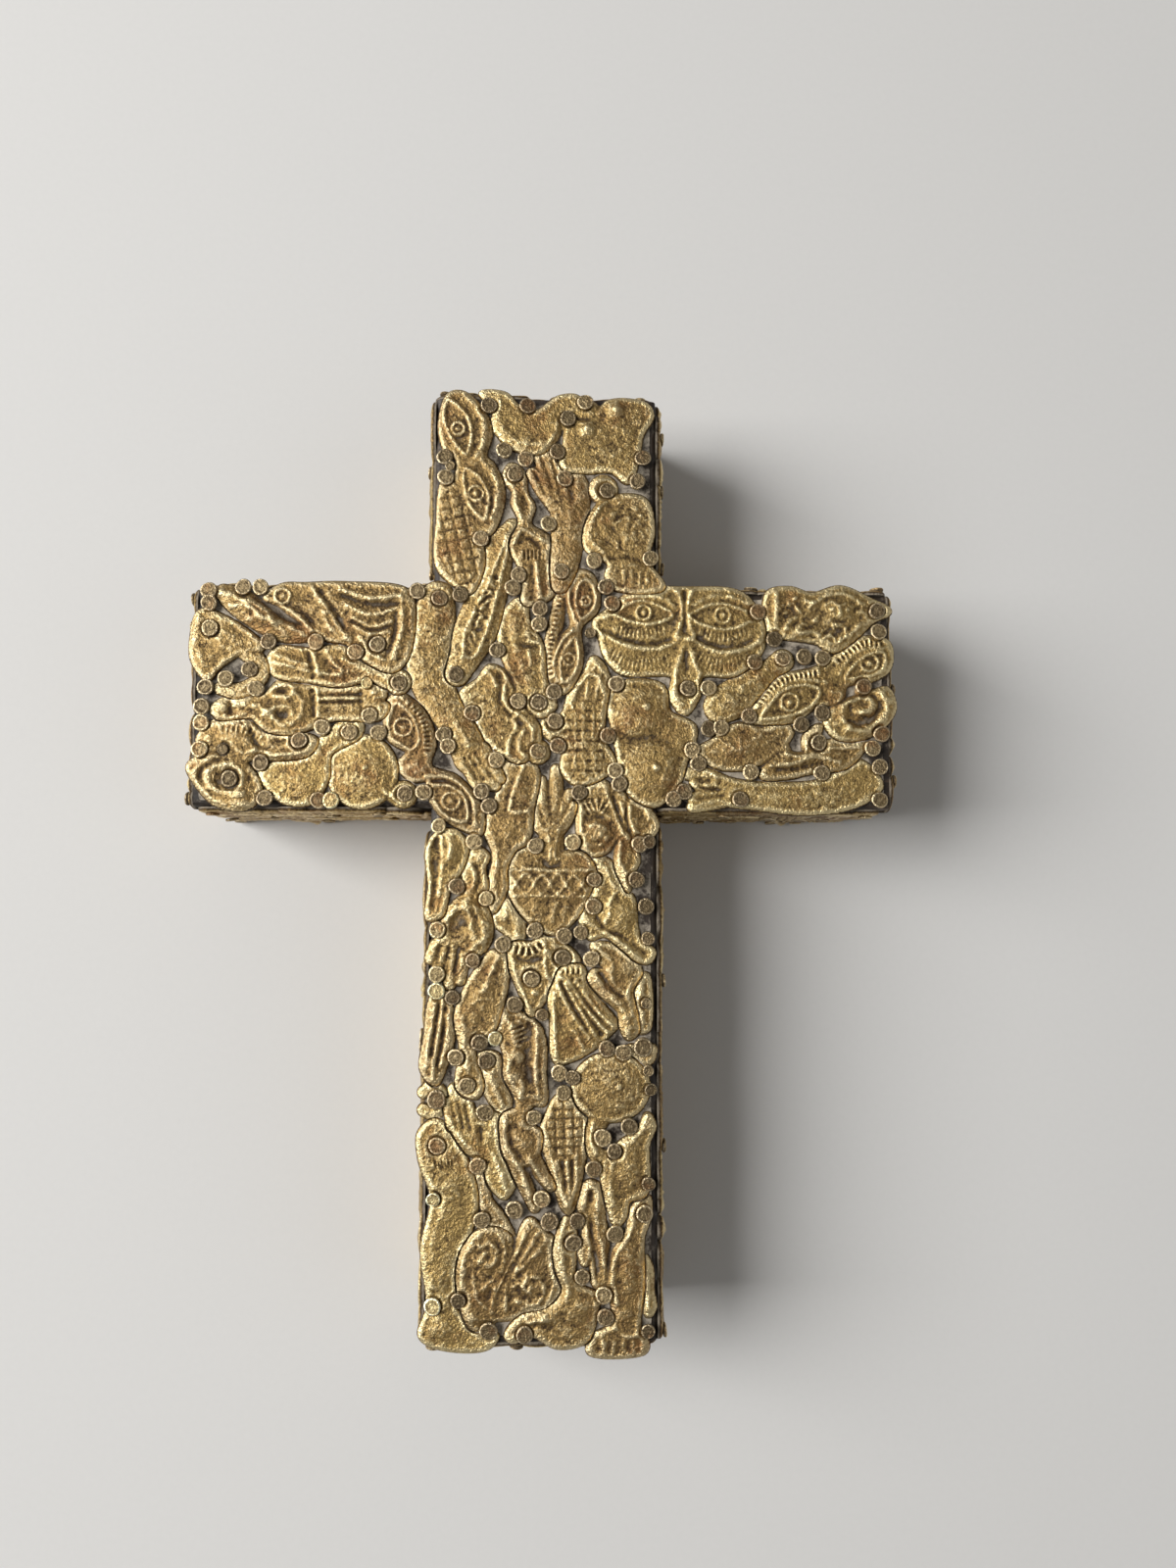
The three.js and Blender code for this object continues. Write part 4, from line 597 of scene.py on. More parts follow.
            (-7.4, 16.8), (-10.6, 20.5), (-10.2, 23.4), (-13.2, 24), (-13, 26), (-10.6, 27.8)),
        limb((-2.6, 17.4, 1.2), (-1, 16.4, 1.5)),
        line(0.45, 0.14, (-5.6, 38.4), (-4.9, 34), (-3.4, 29), (-1.6, 25.4)),
        line(0.25, 0.24, (-2.9, 35.6), (-2.3, 34.4), (-1.2, 34)),
        line(0.25, 0.22, (-2.5, 32.6), (-2.4, 30.4)),
        line(0.3, -0.2, (-4.6, 34), (-3, 33.3), (-1.3, 33.4)),
        line(0.3, 0.3, (-6.7, 30), (-6, 28.6), (-6.4, 26.6), (-6.3, 24.4), (-4.7, 22.9), (-3, 21.5),
            (-1.9, 20), (-1.8, 18.4)),
        line(0.28, -0.24, (-7.3, 29), (-7, 26.6), (-7.1, 24.4), (-5.6, 22.4), (-3.8, 20.9)),
        line(0.3, 0.28, (-4.9, 21.7), (-4.5, 20.3), (-5.3, 18.7), (-5.8, 17), (-5.6, 15.8)),
        lines(0.28, 0.24, [(-3.2, 19.7), (-4, 18.2), (-3.9, 16.4), (-2.9, 15.6)], [(-9.4, 29.4),
            (-8.3, 28.2), (-7.6, 27)]),
        bump(-9, 24, 1.6, 0.14, 2.6, 10)),
    "eyes_upright": charm(
        plate((4.9, 45.6), (3.5, 41.8), (4.4, 36.9), (2.7, 34.7), (1.1, 30.3), (3, 26.1), (5.4, 29.5),
            (5.8, 32.1), (5.6, 36.6), (8.2, 39.5), (8.5, 42.1), (7.2, 45.3)),
        limb((2.6, 42, 0.6), (2, 38.4, 0.7), (1.3, 34.6, 0.8), (0.7, 31.4, 0.8), (1.2, 28.6, 0.6)),
        eye([(6.6, 44.4), (8, 42.8), (8.2, 40.6), (7, 38.6), (5.9, 38), (5.1, 39.6), (5, 41.8),
            (5.6, 43.8)], 6.6, 40.8, 0.75),
        line(0.3, 0.3, (4.5, 44.8), (3.8, 42), (4.1, 39.4), (5.2, 37)),
        eye([(4.8, 34.8), (5.4, 32.8), (5.3, 30.6), (4.4, 28.6), (3.1, 27.6), (2.5, 29.6), (2.7, 31.8),
            (3.7, 33.6)], 3.9, 31.3, 0.95),
        line(0.3, 0.3, (4.4, 36), (2.2, 33.6), (1.5, 31), (1.9, 27.6)),
        lashes(0.55, 0.8, 0.16, (2.5, 42), (1.9, 38.4), (1.2, 34.6), (0.7, 31.4), (1.2, 28.6))),
    "window_house": charm(
        plate((7.9, 31.6), (6.3, 28.4), (4.1, 25.6), (3, 22.4), (-0.2, 21), (1, 18.5), (3.2, 17.9),
            (3.1, 13.4), (5.3, 11.4), (9.5, 12.7), (11, 14.7), (9.3, 18.5), (9.5, 23.2), (10, 29)),
        kernels(6.4, 18.2, 3.8, 7, -1, 1.6, 0.12),
        lines(0.18, 0.2, [(4.8, 13.4), (4.7, 22.8), (4.2, 24.4)], [(6.4, 12.6), (6.4, 23.6), (7, 27.6)],
            [(8, 13), (8, 23.4), (8.6, 27.6)]),
        line(0.28, 0.26, (4.6, 24.8), (5.6, 27.6), (7, 28.8), (8.6, 28.4), (9.4, 26)),
        line(0.25, 0.22, (7.6, 29.6), (8.4, 30.6), (9.2, 29.4)),
        ring(1.7, 21.2, 1.6, 0.3, 0.24),
        line(0.3, 0.24, (0.2, 20.2), (1, 18.9), (3, 18.7))),
    "breast_pair": charm(
        plate((10.5, 25.8), (13.7, 27.8), (18.9, 27), (19.9, 23), (24, 20.4), (22.4, 14.5), (21, 10.8),
            (17.6, 8), (13.9, 9.8), (12.5, 13.8), (11.4, 19.2)),
        bump(15.4, 23, 4.8, 0.55, 4.5),
        bump(16.3, 23.7, 0.85, 0.34),
        bump(17.1, 14, 4.6, 0.55, 4.7),
        bump(17.8, 13.9, 0.85, 0.38),
        line(0.6, -0.16, (12.6, 18.4), (17, 18.8), (20.6, 18.2)),
        ring(16.2, 23.7, 1.4, 0.4, -0.06)),
    "eyes_large": charm(
        plate((8.1, 37.3), (10.3, 39.4), (14.7, 42.6), (22.5, 43), (31.7, 42.3), (34.8, 38.2), (35, 33.4),
            (30.9, 29.3), (25.2, 28.8), (24.6, 25.5), (22.5, 22.8), (20.4, 25.5), (20.6, 28.8),
            (12.6, 29.3), (10, 31.8), (9, 35)),
        eye([(11, 39), (13.4, 40.4), (15.5, 40.9), (18.2, 40.2), (20.6, 38.7), (18.2, 37.4), (15.3, 37.2),
            (12.6, 38)], 15.9, 39, 1.15),
        eye([(23.4, 38.5), (25.1, 39.7), (27.2, 40.5), (29.8, 40.3), (32.7, 39.2), (34, 38.4),
            (31.2, 36.8), (28.5, 36.4), (25.4, 37.1)], 28.7, 38.7, 1.2),
        lines(0.33, 0.24, [(9.8, 38.2), (12.4, 41), (16, 42), (19.4, 41.2), (21.2, 39.6)], [(24, 40.4),
            (27, 41.7), (30.8, 41.5), (34, 39.9)]),
        lines(0.3, 0.3, [(21.3, 43), (22.1, 40.4), (22, 37.6), (21, 35.2)], [(23.8, 43), (23, 40.4),
            (23.2, 37.4), (24, 35.2)]),
        line(0.25, -0.28, (22.6, 42.8), (22.5, 36)),
        lines(0.38, 0.34, [(9.2, 35.4), (12.9, 33.8), (16.8, 33.1), (19.6, 33.6), (21.8, 35)],
            [(23.4, 34.8), (26.7, 33), (29.3, 32.7), (32.7, 33.4), (34.6, 34.6)]),
        lines(0.35, -0.24, [(9.4, 36.2), (13, 34.6), (16.8, 33.9), (20, 34.6)], [(24.6, 34.9), (27, 33.9),
            (29.4, 33.5), (33.6, 34.6)]),
        lashes(1.2, 0.7, 0.06, (10.4, 32.4), (13, 31.1), (16.6, 30.5), (20, 31.2)),
        lashes(1.2, 0.7, 0.06, (24.4, 31.9), (27, 30.7), (30, 30.6), (33.4, 31.8)),
        lashes(0.9, 0.7, 0.06, (11.6, 36.2), (15, 35.5), (19.4, 36.2)),
        lashes(0.9, 0.7, 0.06, (25.4, 35.9), (29, 35.2), (33, 36.2)),
        lines(0.33, 0.28, [(22.5, 34.6), (21.6, 31.4), (20.9, 28.6), (20.8, 26), (22, 24.2)],
            [(22.9, 34.6), (24, 31.2), (25, 28.8), (24.8, 26.2), (23.6, 24.4)]),
        line(0.25, -0.2, (22.7, 32.6), (22.8, 29))),
    # Right arm
    "bearded_bust": charm(
        plate((36.2, 42.4), (39.8, 43.2), (43.3, 42.2), (48, 43.4), (52.7, 41.5), (55.9, 39.7),
            (53.3, 38.2), (50.4, 35.5), (46.7, 33.2), (43.8, 34.6), (38.3, 35.5), (36.4, 36.6)),
        curls(41.2, 38.8, 3.8, 3.8, 0, 1.2, 0.2),
        curls(47.4, 35.8, 3.4, 1.8, 0, 0.9, 0.24),
        curls(52, 39.4, 1.9, 2.4, 0, 1, 0.2),
        bump(47.5, 39.1, 2.9, 0.42, 2.9),
        lines(0.22, 0.16, [(45.4, 40.6), (46.4, 41), (47.2, 40.5)], [(48, 40.5), (48.9, 40.9),
            (49.8, 40.3)]),
        line(0.2, 0.24, (47.6, 40.2), (47.7, 38.8)),
        line(0.2, -0.26, (46.8, 37.9), (48.5, 37.8)),
        bump(46.4, 39.8, 0.62, 0.2, 0.4),
        bump(48.9, 39.7, 0.62, 0.2, 0.4),
        line(0.35, 0.3, (37.4, 42.2), (37.4, 39.4), (37.2, 37)),
        line(0.35, 0.28, (39, 36.6), (41.4, 35.8), (43.4, 36), (45.4, 34.6), (47.4, 34.4), (49.4, 35.8),
            (51.6, 37.8)),
        line(0.3, 0.28, (40.4, 41.6), (43.4, 41), (46, 42.2), (49, 42.2), (51.4, 40.8)),
        ring(53.9, 39.7, 1.5, 0.28, 0.18)),
    "club": charm(
        limb((38.4, 31.4, 1.4), (36, 29.7, 1.2), (33, 27.2, 1.9), (29.8, 24.8, 2.6), (28.4, 23.9, 2.3)),
        bump(29.6, 24.7, 2.2, 0.16, 1.8, 40),
        line(0.35, 0.12, (31.6, 26.8), (35.6, 30)),
        ring(28.6, 23.8, 2, 0.35, 0.08)),
    "eyes_and_shell_right": charm(
        plate((33.5, 21.8), (35.1, 26), (38, 28.6), (43.8, 30.1), (47.5, 32.3), (51.7, 35.1), (55.6, 34.4),
            (55.6, 30.3), (52.2, 28.2), (48.6, 27.5), (47.7, 24.9), (43.8, 24.2), (40.6, 22),
            (36.5, 21.4)),
        plate((45.4, 21.3), (46.9, 23.9), (52.7, 26.2), (55.4, 26.8), (56.3, 23.5), (52.7, 19.6),
            (47.5, 18.9)),
        limb((51.4, 26, 0.9), (51.6, 28.6, 0.9)),
        eye([(34.8, 22), (36.4, 24.5), (38, 26.2), (40.1, 27.2), (42.5, 27.3), (44.3, 26.5), (43.4, 24.6),
            (41, 23), (38, 22.2)], 39.4, 24.6, 1.4),
        lashes(0.75, 0.78, 0.2, (34.2, 24.2), (36, 26.6), (38.6, 28.2), (41.6, 29.1), (44, 29.4)),
        line(0.32, 0.26, (35, 24), (36.9, 26.2), (39.4, 27.9), (42.6, 28.3), (45.4, 27.6)),
        eye([(48.6, 28.6), (49.6, 30.3), (51.2, 31.8), (53, 32.7), (54.8, 32.6), (54.8, 30.4), (53, 29.2),
            (50.8, 28.6)], 52.4, 31.1, 1.4),
        lashes(0.75, 0.78, 0.2, (47.2, 31.4), (49.4, 33), (51.6, 34.3), (54.4, 34.2)),
        line(0.32, 0.26, (47.6, 29.4), (49, 31.6), (51.2, 33.2), (54.4, 33.6)),
        bump(46.6, 26.4, 1.5, 0.14, 1),
        line(0.45, 0.42, (49.6, 25.2), (51.4, 25.6), (52.8, 24.6), (52.2, 23.3), (50.8, 23)),
        line(0.5, 0.38, (48.2, 24.6), (47.8, 22.6), (48.8, 20.9)),
        line(0.42, 0.34, (48.4, 20.1), (51.6, 20.1), (54.3, 21.8), (55.3, 24.2), (54.4, 26)),
        line(0.35, -0.3, (48.9, 21.6), (51.2, 21.4), (53.4, 22.6), (54, 24.6), (52.8, 26)),
        line(0.3, -0.24, (49.2, 24), (49.6, 22.7), (51.6, 22.2))),
    "bean_and_dog": charm(
        plate((24.7, 16.6), (26.9, 18.2), (31.2, 20.9), (35, 20.1), (38.5, 21), (39.7, 19.9), (36.9, 16.2),
            (31.7, 14), (27.2, 14.4)),
        plate((34.9, 12.7), (37.2, 16), (38.6, 17.8), (39.6, 16.4), (41.6, 16.4), (41.9, 19), (44.3, 20.8),
            (43.9, 17.8), (46.7, 18.4), (51.5, 18), (48.5, 14.4), (43.3, 13.6), (38.8, 12.6)),
        bump(31.4, 17.8, 5, 0.2, 1.9, 12),
        line(0.3, 0.1, (29.6, 17.6), (30.8, 16.8), (32.4, 17.4), (33.6, 18.8)),
        line(0.28, 0.28, (36.4, 14.4), (39.6, 14.7), (43.4, 15.8), (47.4, 15)),
        line(0.26, -0.24, (37.4, 13.6), (41, 14), (44.4, 14.8)),
        line(0.28, 0.28, (38.6, 16.2), (41.4, 15.9), (44.4, 16.7), (47.2, 16.4)),
        line(0.28, 0.26, (44.6, 17.3), (47.4, 17.2), (50.6, 17.6)),
        line(0.24, -0.2, (45.4, 16.9), (48.8, 16.6)),
        lashes(0.6, 0.75, 0.07, (36.2, 14.6), (38.2, 16.4)),
        lashes(0.6, 0.8, 0.05, (39.4, 13.8), (44, 14.4), (47.6, 14.9)),
        line(0.25, 0.22, (41.9, 17), (42.6, 18.8), (43.8, 20))),
    "long_arm": charm(
        plate((25.4, 13.4), (30.6, 11.8), (35.9, 11.3), (44.8, 11.9), (50.6, 15.1), (54, 11.2),
            (50.1, 8.2), (42.2, 6.9), (32.7, 7.8), (28, 8.6), (26, 10.4)),
        *hand([(26.8, 12.4, 1), (24.6, 12.7, 0.8), (22.8, 13, 0.5)], [(27, 11, 1), (24.8, 11.4, 0.7),
            (24.2, 11.6, 0.5)], [(27.4, 9.6, 1), (25.4, 9.4, 0.8), (24, 9, 0.5)], [(28.4, 8.9, 0.9),
            (25.8, 8.2, 0.7), (23.8, 7.7, 0.5)]),
        bump(42, 9.4, 8, 0.16, 1.9, -2),
        lines(0.24, -0.24, [(24.8, 12.1), (28, 11.6)], [(25, 10.6), (28.2, 10.5)]),
        line(0.24, -0.22, (25, 9), (28.6, 9.6)),
        line(0.3, 0.24, (26.2, 13.6), (27.4, 12.6), (27.2, 11.6)),
        line(0.35, 0.1, (30.4, 11.6), (30.8, 8.6))),
    # Lower post
    "limb_left": charm(
        plate((-18.1, 1), (-16.5, 3.4), (-13.9, 3.5), (-12.3, 1.3), (-12.9, -1.7), (-15, -5.5),
            (-16.2, -9.6), (-18, -10), (-17.7, -5)),
        line(0.7, -0.34, (-17, 2.2), (-17, -2.6), (-17.2, -7.4)),
        line(0.3, 0.26, (-16.2, 2.9), (-16, -1), (-16.6, -6.2)),
        line(0.35, 0.22, (-14.8, 2.6), (-14.6, 1), (-15, -0.6)),
        bump(-14.5, 0.6, 1.5, 0.16, 2.8)),
    "kneeler_and_hand": charm(
        plate((-10.6, 0.9), (-8.9, -0.2), (-9.6, -2.2), (-9.1, -4.8), (-10.2, -7.4), (-12.6, -7.2),
            (-12.2, -5), (-12.4, -3.2), (-11.6, -1)),
        plate((-12.8, -6.8), (-10, -7.4), (-8.3, -11), (-8.7, -14), (-10.3, -15.5), (-13.4, -15.8),
            (-17.3, -15.2), (-16.1, -12.6), (-15.2, -9.5)),
        *hand([(-16.5, -14.4, 0.9), (-17.5, -16.2, 0.6)], [(-15.4, -14.6, 1), (-16, -17.4, 0.8),
            (-16.4, -19, 0.5)], [(-13.8, -15, 1), (-14.3, -18, 0.8), (-14.6, -20.3, 0.5)],
            [(-12.5, -15, 0.8), (-13, -19.6, 0.5)]),
        bump(-10.2, -0.4, 0.9, 0.22),
        line(0.35, 0.26, (-11.6, -1.6), (-10.8, -3.2), (-11.2, -5.2), (-11.8, -6.8)),
        line(0.28, -0.24, (-10.6, -2), (-10, -3.8), (-10.6, -5.4)),
        bump(-13.4, -11, 1.9, -0.34, 2.6, -30),
        line(0.45, 0.34, (-15.8, -12.6), (-14.6, -9.6), (-12.6, -7.7), (-10.6, -8.4), (-9.3, -11),
            (-9.3, -13.6)),
        line(0.5, 0.36, (-12.2, -8.6), (-11.4, -10.6), (-10.8, -12.8)),
        line(0.32, 0.26, (-9.3, -13.2), (-10.8, -14.4), (-11.2, -15.2)),
        lines(0.25, -0.26, [(-16.2, -14.4), (-16.8, -17)], [(-14.8, -14.8), (-15.4, -18)], [(-13.2, -14.8),
            (-13.8, -18)])),
    "leg_centre": charm(
        plate((-5.9, 14.4), (-1.4, 13.8), (-2, 7), (-2.7, 2.2), (-4.7, 0.8), (-6.1, -2.2), (-6.1, -5.5),
            (-7.9, -8.8), (-8.4, -5.2), (-7.7, 0), (-9, 3.8), (-7.5, 8.6), (-6.7, 12.2)),
        line(0.3, 0.28, (-3.2, 14), (-4.2, 12), (-5.2, 8.6), (-5.4, 7.1), (-4.2, 6.7), (-2.4, 6.9)),
        line(0.26, -0.2, (-3.9, 14), (-4.9, 11.6), (-5.9, 8.4), (-6, 6.7)),
        bump(-3.6, 10, 1.2, 0.12, 3, -8),
        bump(-5.4, 3.6, 2, 0.12, 2.4),
        line(0.35, 0.2, (-8.2, 3.4), (-7.2, 0.4), (-7.6, -3), (-7.6, -6.6))),
    "flaming_heart": charm(
        plate((-0.1, 0.1), (-2.4, 0.8), (-4.9, 0.1), (-6, -2.8), (-4.7, -6.9), (-2, -10.4), (1.6, -12.3),
            (4.6, -10.3), (6.9, -6.2), (7.9, -2.4), (6, 0.1), (3, 0.1), (1.4, -0.8)),
        limb((1.3, -1.5, 1.5), (1.2, 4, 1.5)),
        *hand([(0.5, 3.6, 0.9), (-0.9, 5.4, 0.8), (-1.5, 7.7, 0.3)], [(0.8, 4.8, 0.9), (-0.1, 8.2, 0.7),
            (-0.4, 11.8, 0.35)], [(1.4, 4.8, 0.9), (1.9, 9, 0.8), (1.9, 13.6, 0.4)], [(2, 4.4, 0.9),
            (3, 7.6, 0.6), (4.1, 9.8, 0.3)], [(2, 3.8, 0.9), (3.6, 5.9, 0.7), (4.6, 7.8, 0.3)]),
        lines(0.26, 0.22, [(-5.6, -2.4), (-2, -2.3), (2, -2.5), (7.2, -2.4)], [(-4.9, -6.5), (-1, -6.4),
            (3, -6.5), (6.4, -6.5)]),
        lines(0.2, 0.18, [(-5.3, -3.2), (-2.8, -6), (-0.2, -3.2), (2.2, -6), (4.8, -3.2), (6.6, -5.6)],
            [(-5, -5.6), (-2.8, -3), (-0.2, -6), (2.2, -3), (4.8, -6), (7, -3.4)]),
        line(0.3, -0.16, (0.2, -1.4), (1.4, -2), (2.6, -1.4)),
        lines(0.24, 0.16, [(0.4, 4), (1, 1.4), (1, -0.6)], [(2.4, 3.8), (1.8, 1.4), (1.9, -0.4)]),
        lashes(2, 1.7, 0.05, (0, -8.6), (4, -9.4))),
    "head_and_sash": charm(
        plate((5.4, 8.2), (7.1, 10.7), (9.7, 11.5), (10.9, 9.4), (13.2, 3.6), (11.3, 2.1), (9.5, 0.4),
            (7, 0.3), (5.7, 2.9), (5.5, 6)),
        plate((11.2, 10.5), (13, 8.8), (12.8, 5), (14, 2.3), (14.9, -1), (13.6, -3.4), (13.4, -5.5),
            (12.8, -4.4), (11.7, -2), (11.7, 1.6), (12.2, 4), (10.4, 8.7)),
        plate((13.5, 8.4), (16.4, 7.3), (17.9, 5), (17, 3.1), (14.6, 3), (13.4, 5.6)),
        bump(8.4, 3.4, 2.7, 0.4, 2.6),
        bump(9, 1.6, 0.5, 0.12),
        line(0.22, 0.16, (7.4, 4.6), (8.6, 4.9), (9.6, 4.2)),
        line(0.2, -0.16, (8, 2), (9.2, 2.1)),
        line(0.22, 0.14, (8.7, 4.4), (9.1, 3)),
        line(0.28, 0.28, (5.9, 8), (5.9, 5.6), (6, 3), (6.9, 1.1)),
        lashes(1.2, 0.75, 0.12, (6.4, 7), (8.6, 8), (10.2, 7.2)),
        line(0.28, 0.24, (6.2, 7), (8.2, 7.2), (10.4, 6)),
        line(0.28, 0.28, (9.6, 11), (10.8, 7.8), (12, 4.6), (13.2, 2.6)),
        line(0.28, -0.24, (10.8, 10.2), (11.6, 7.4), (13.2, 4)),
        lines(0.3, 0.28, [(12.2, 1.6), (12, -1), (12.9, -3), (13.2, -5)], [(12.3, 8.2), (12.9, 5.6),
            (13.9, 3)]),
        line(0.33, 0.3, (13.7, 7.4), (13.8, 5.4), (14.6, 3.6)),
        curls(15.7, 5.6, 2, 2.2, 0, 1.1, 0.18)),
    "seated_figure": charm(
        plate((7.9, -0.5), (10.4, -1.1), (11.9, -4.3), (13.2, -6.4), (9, -7), (8.4, -5.4), (9.7, -3.6)),
        plate((8.8, -6), (13.6, -6.3), (14.3, -7.6), (14.5, -10.9), (15.3, -13.7), (17.3, -15.2),
            (16.6, -16.7), (15, -16.5), (12.7, -14.6), (9.8, -12.6), (7.4, -13), (7.2, -11.9),
            (6.1, -10.6), (6.2, -8.3)),
        line(0.3, 0.28, (11.2, -6.2), (10.4, -7.5), (10.3, -9.2), (9.6, -10.8)),
        bump(12.4, -9.4, 2.2, 0.34, 2.9),
        line(0.3, 0.26, (8.4, -0.9), (10, -2.2), (10.6, -4), (11.8, -5.6)),
        line(0.3, 0.24, (6.7, -8.4), (6.9, -10.4), (8.4, -11.6), (9.8, -12.2)),
        line(0.26, -0.24, (8.4, -9.8), (9.4, -11.2), (11, -12.4)),
        line(0.33, 0.28, (10, -12.8), (12.8, -14.4), (15, -16.4)),
        line(0.28, -0.2, (11.6, -12.4), (14, -13.8), (16, -15.4))),
    "walking_figure": charm(
        plate((7.9, -14.2), (11, -14.4), (14.2, -16.5), (15.2, -18.4), (13.8, -21.2), (14.6, -25.5),
            (14.7, -27.6), (13.5, -28.6), (12.5, -27), (12, -24.4), (9.2, -21.8), (7.4, -19.3), (8, -18.3),
            (9.6, -18)),
        line(0.45, 0.3, (8, -18.6), (9.6, -21), (12.2, -23.6), (13.2, -26), (13.4, -27.8)),
        line(0.3, -0.3, (8.8, -18.2), (10.4, -20.4), (12.4, -22.2)),
        line(0.33, 0.26, (10.2, -18), (11, -20), (12.8, -22)),
        line(0.3, 0.24, (8.6, -14.8), (10.6, -16.6), (11, -19)),
        bump(12.6, -17.2, 1.8, 0.2, 2.2, 20),
        line(0.28, 0.22, (13.8, -19.6), (13.4, -22), (14, -25))),
    "pleated_bundle": charm(
        plate((3, -18.1), (6.1, -17.7), (6.6, -20.3), (9.3, -23.6), (11.4, -26.6), (10.2, -28.1),
            (8.6, -29.6), (4.5, -31.9), (2.2, -32.2), (1.5, -25.5), (1.3, -22), (2.1, -20)),
        lines(0.32, 0.34, [(2.2, -20.2), (3.8, -23.4), (6, -26.8)], [(3, -19.4), (5, -22.8), (7.4, -26.8),
            (8.2, -28)], [(3.9, -19.8), (6.8, -24), (10.4, -28)], [(5.1, -20), (8.3, -24.2), (11, -27)]),
        lines(0.26, -0.3, [(2.7, -19.8), (4.5, -23.2), (6.8, -27)], [(3.6, -19.8), (6, -23.6), (9.2, -28)],
            [(4.6, -19.6), (7.6, -24), (10.8, -27.4)]),
        lashes(0.8, 0.8, 0.18, (2.8, -17.9), (6.6, -18)),
        line(0.3, 0.26, (1.8, -21.6), (1.8, -26), (2.2, -31.4)),
        lines(0.28, 0.22, [(5, -27.4), (6.6, -30.4)], [(6.2, -27), (7.8, -29.6)])),
    "praying_figure": charm(
        plate((-4.7, -14.2), (-1.7, -14), (0.5, -13), (3.5, -14.4), (5.5, -16.7), (2.5, -18.4),
            (0.3, -22.3), (-1.7, -24.9), (-3.3, -21.8), (-5, -17.2)),
        line(0.33, 0.3, (-4.7, -16.8), (-4.2, -19.4), (-3.2, -22), (-2, -24.2)),
        line(0.3, 0.3, (0.3, -15.4), (0.5, -18.5), (1.1, -19.6)),
        line(0.3, 0.28, (0.6, -15.2), (2.6, -18.2)),
        lashes(0.8, 1, 0.22, (-4.6, -14.8), (-2, -15.2), (0, -14)),
        line(0.3, -0.22, (-4, -16.2), (-2.4, -16.8), (-0.2, -16)),
        bump(-2.6, -18.2, 1.5, 0.14, 2.2, 20),
        bump(-1.2, -21.6, 0.8, 0.28, 0.6),
        line(0.3, 0.26, (1.6, -14.2), (3.6, -15.2), (5, -16.6))),
    "thigh": charm(
        plate((-7.7, -15.2), (-5.9, -16), (-5.8, -20), (-6.8, -24.5), (-8.1, -27.7), (-10.7, -28.6),
            (-10.6, -32), (-9.5, -36), (-10.3, -37.6), (-12.9, -36.3), (-12.6, -30), (-13.4, -25.2),
            (-11.4, -19.9), (-9.5, -17.1)),
        line(0.35, 0.28, (-7, -15.8), (-8, -18), (-9.2, -21.2)),
        bump(-9.6, -22.6, 2, 0.2, 4, -20),
        line(0.4, 0.26, (-12.6, -25.4), (-12.2, -28.6), (-12, -32)),
        line(0.33, 0.2, (-11.6, -33), (-11, -36.2)),
        line(0.3, -0.14, (-8.8, -26.8), (-10.2, -24))),
    "drape": charm(
        plate((-16.2, -20.4), (-15.2, -20.6), (-14.4, -24.5), (-14.2, -29), (-15.3, -33), (-16.6, -35.5),
            (-18.6, -33.5), (-18.1, -28.5), (-17.5, -23.2)),
        lines(0.28, 0.3, [(-16.3, -21), (-17, -25), (-17.6, -29), (-18, -33)], [(-15.4, -21.4),
            (-15.8, -25.6), (-16.6, -30), (-17, -34.6)]),
        line(0.28, 0.28, (-14.9, -25), (-14.9, -28.8), (-15.8, -32.6)),
        lines(0.26, -0.28, [(-15.9, -21.4), (-16.5, -26), (-17.2, -31)], [(-15.2, -24), (-15.4, -28),
            (-16.3, -32.6)])),
    "kneeling_woman": charm(
        plate((-6.5, -24.4), (-3, -25.2), (-0.6, -27), (0.2, -29.5), (0.2, -34), (0.2, -38.6),
            (-1.6, -38.8), (-3.3, -41.4), (-3.9, -37.8), (-5.7, -34.3), (-5.6, -32), (-6.8, -27)),
        plate((-5.9, -40.6), (-3.4, -39.8), (-2.5, -41.8), (-0.5, -43), (-0.9, -46.6), (-2.4, -48),
            (-5.2, -47), (-6.2, -43)),
        limb((-1.6, -46.8, 0.9), (0, -49.4, 0.7), (1.3, -51.2, 0.4)),
        limb((-4.2, -47, 0.9), (-2.8, -50.4, 0.8), (-1.1, -54.4, 0.4)),
        line(0.45, 0.3, (-6, -25), (-4.6, -27.6), (-4.3, -30.2), (-5.2, -32.6), (-4.8, -35),
            (-3.2, -37.4)),
        lashes(1.1, 0.75, 0.12, (-4, -26.6), (-3, -29.4)),
        line(0.5, -0.34, (-2, -26.6), (-2.3, -30.6), (-2.1, -35)),
        line(0.3, 0.3, (-0.8, -27.4), (-0.9, -31), (-1, -34), (-0.5, -37.6)),
        bump(-3.6, -31.4, 1, 0.26, 1.2),
        line(0.35, 0.26, (-4.4, -34.4), (-3, -35.6), (-3.2, -37.6)),
        bump(-1.6, -37.6, 1.2, 0.2, 0.8),
        bump(-2.6, -41.8, 1.5, 0.22, 1),
        line(0.35, 0.32, (-5.6, -41.2), (-5.8, -43.6), (-4.8, -46), (-3.4, -48.4), (-2, -52),
            (-0.8, -54.6)),
        line(0.28, -0.22, (-4.9, -42.4), (-4.8, -44.6), (-3.6, -46.4)),
        bump(-2.9, -44.4, 1.7, 0.2, 1.9),
        line(0.3, 0.24, (-2, -46.8), (-0.8, -49), (0.4, -51))),
    "hand_lower": charm(
        plate((-14.6, -40.4), (-12.4, -41), (-8.6, -41.7), (-6.6, -41.7), (-6.6, -45), (-4.2, -49.5),
            (-5.7, -52.8), (-7.9, -50.8), (-8.9, -47.4), (-11.5, -45.8)),
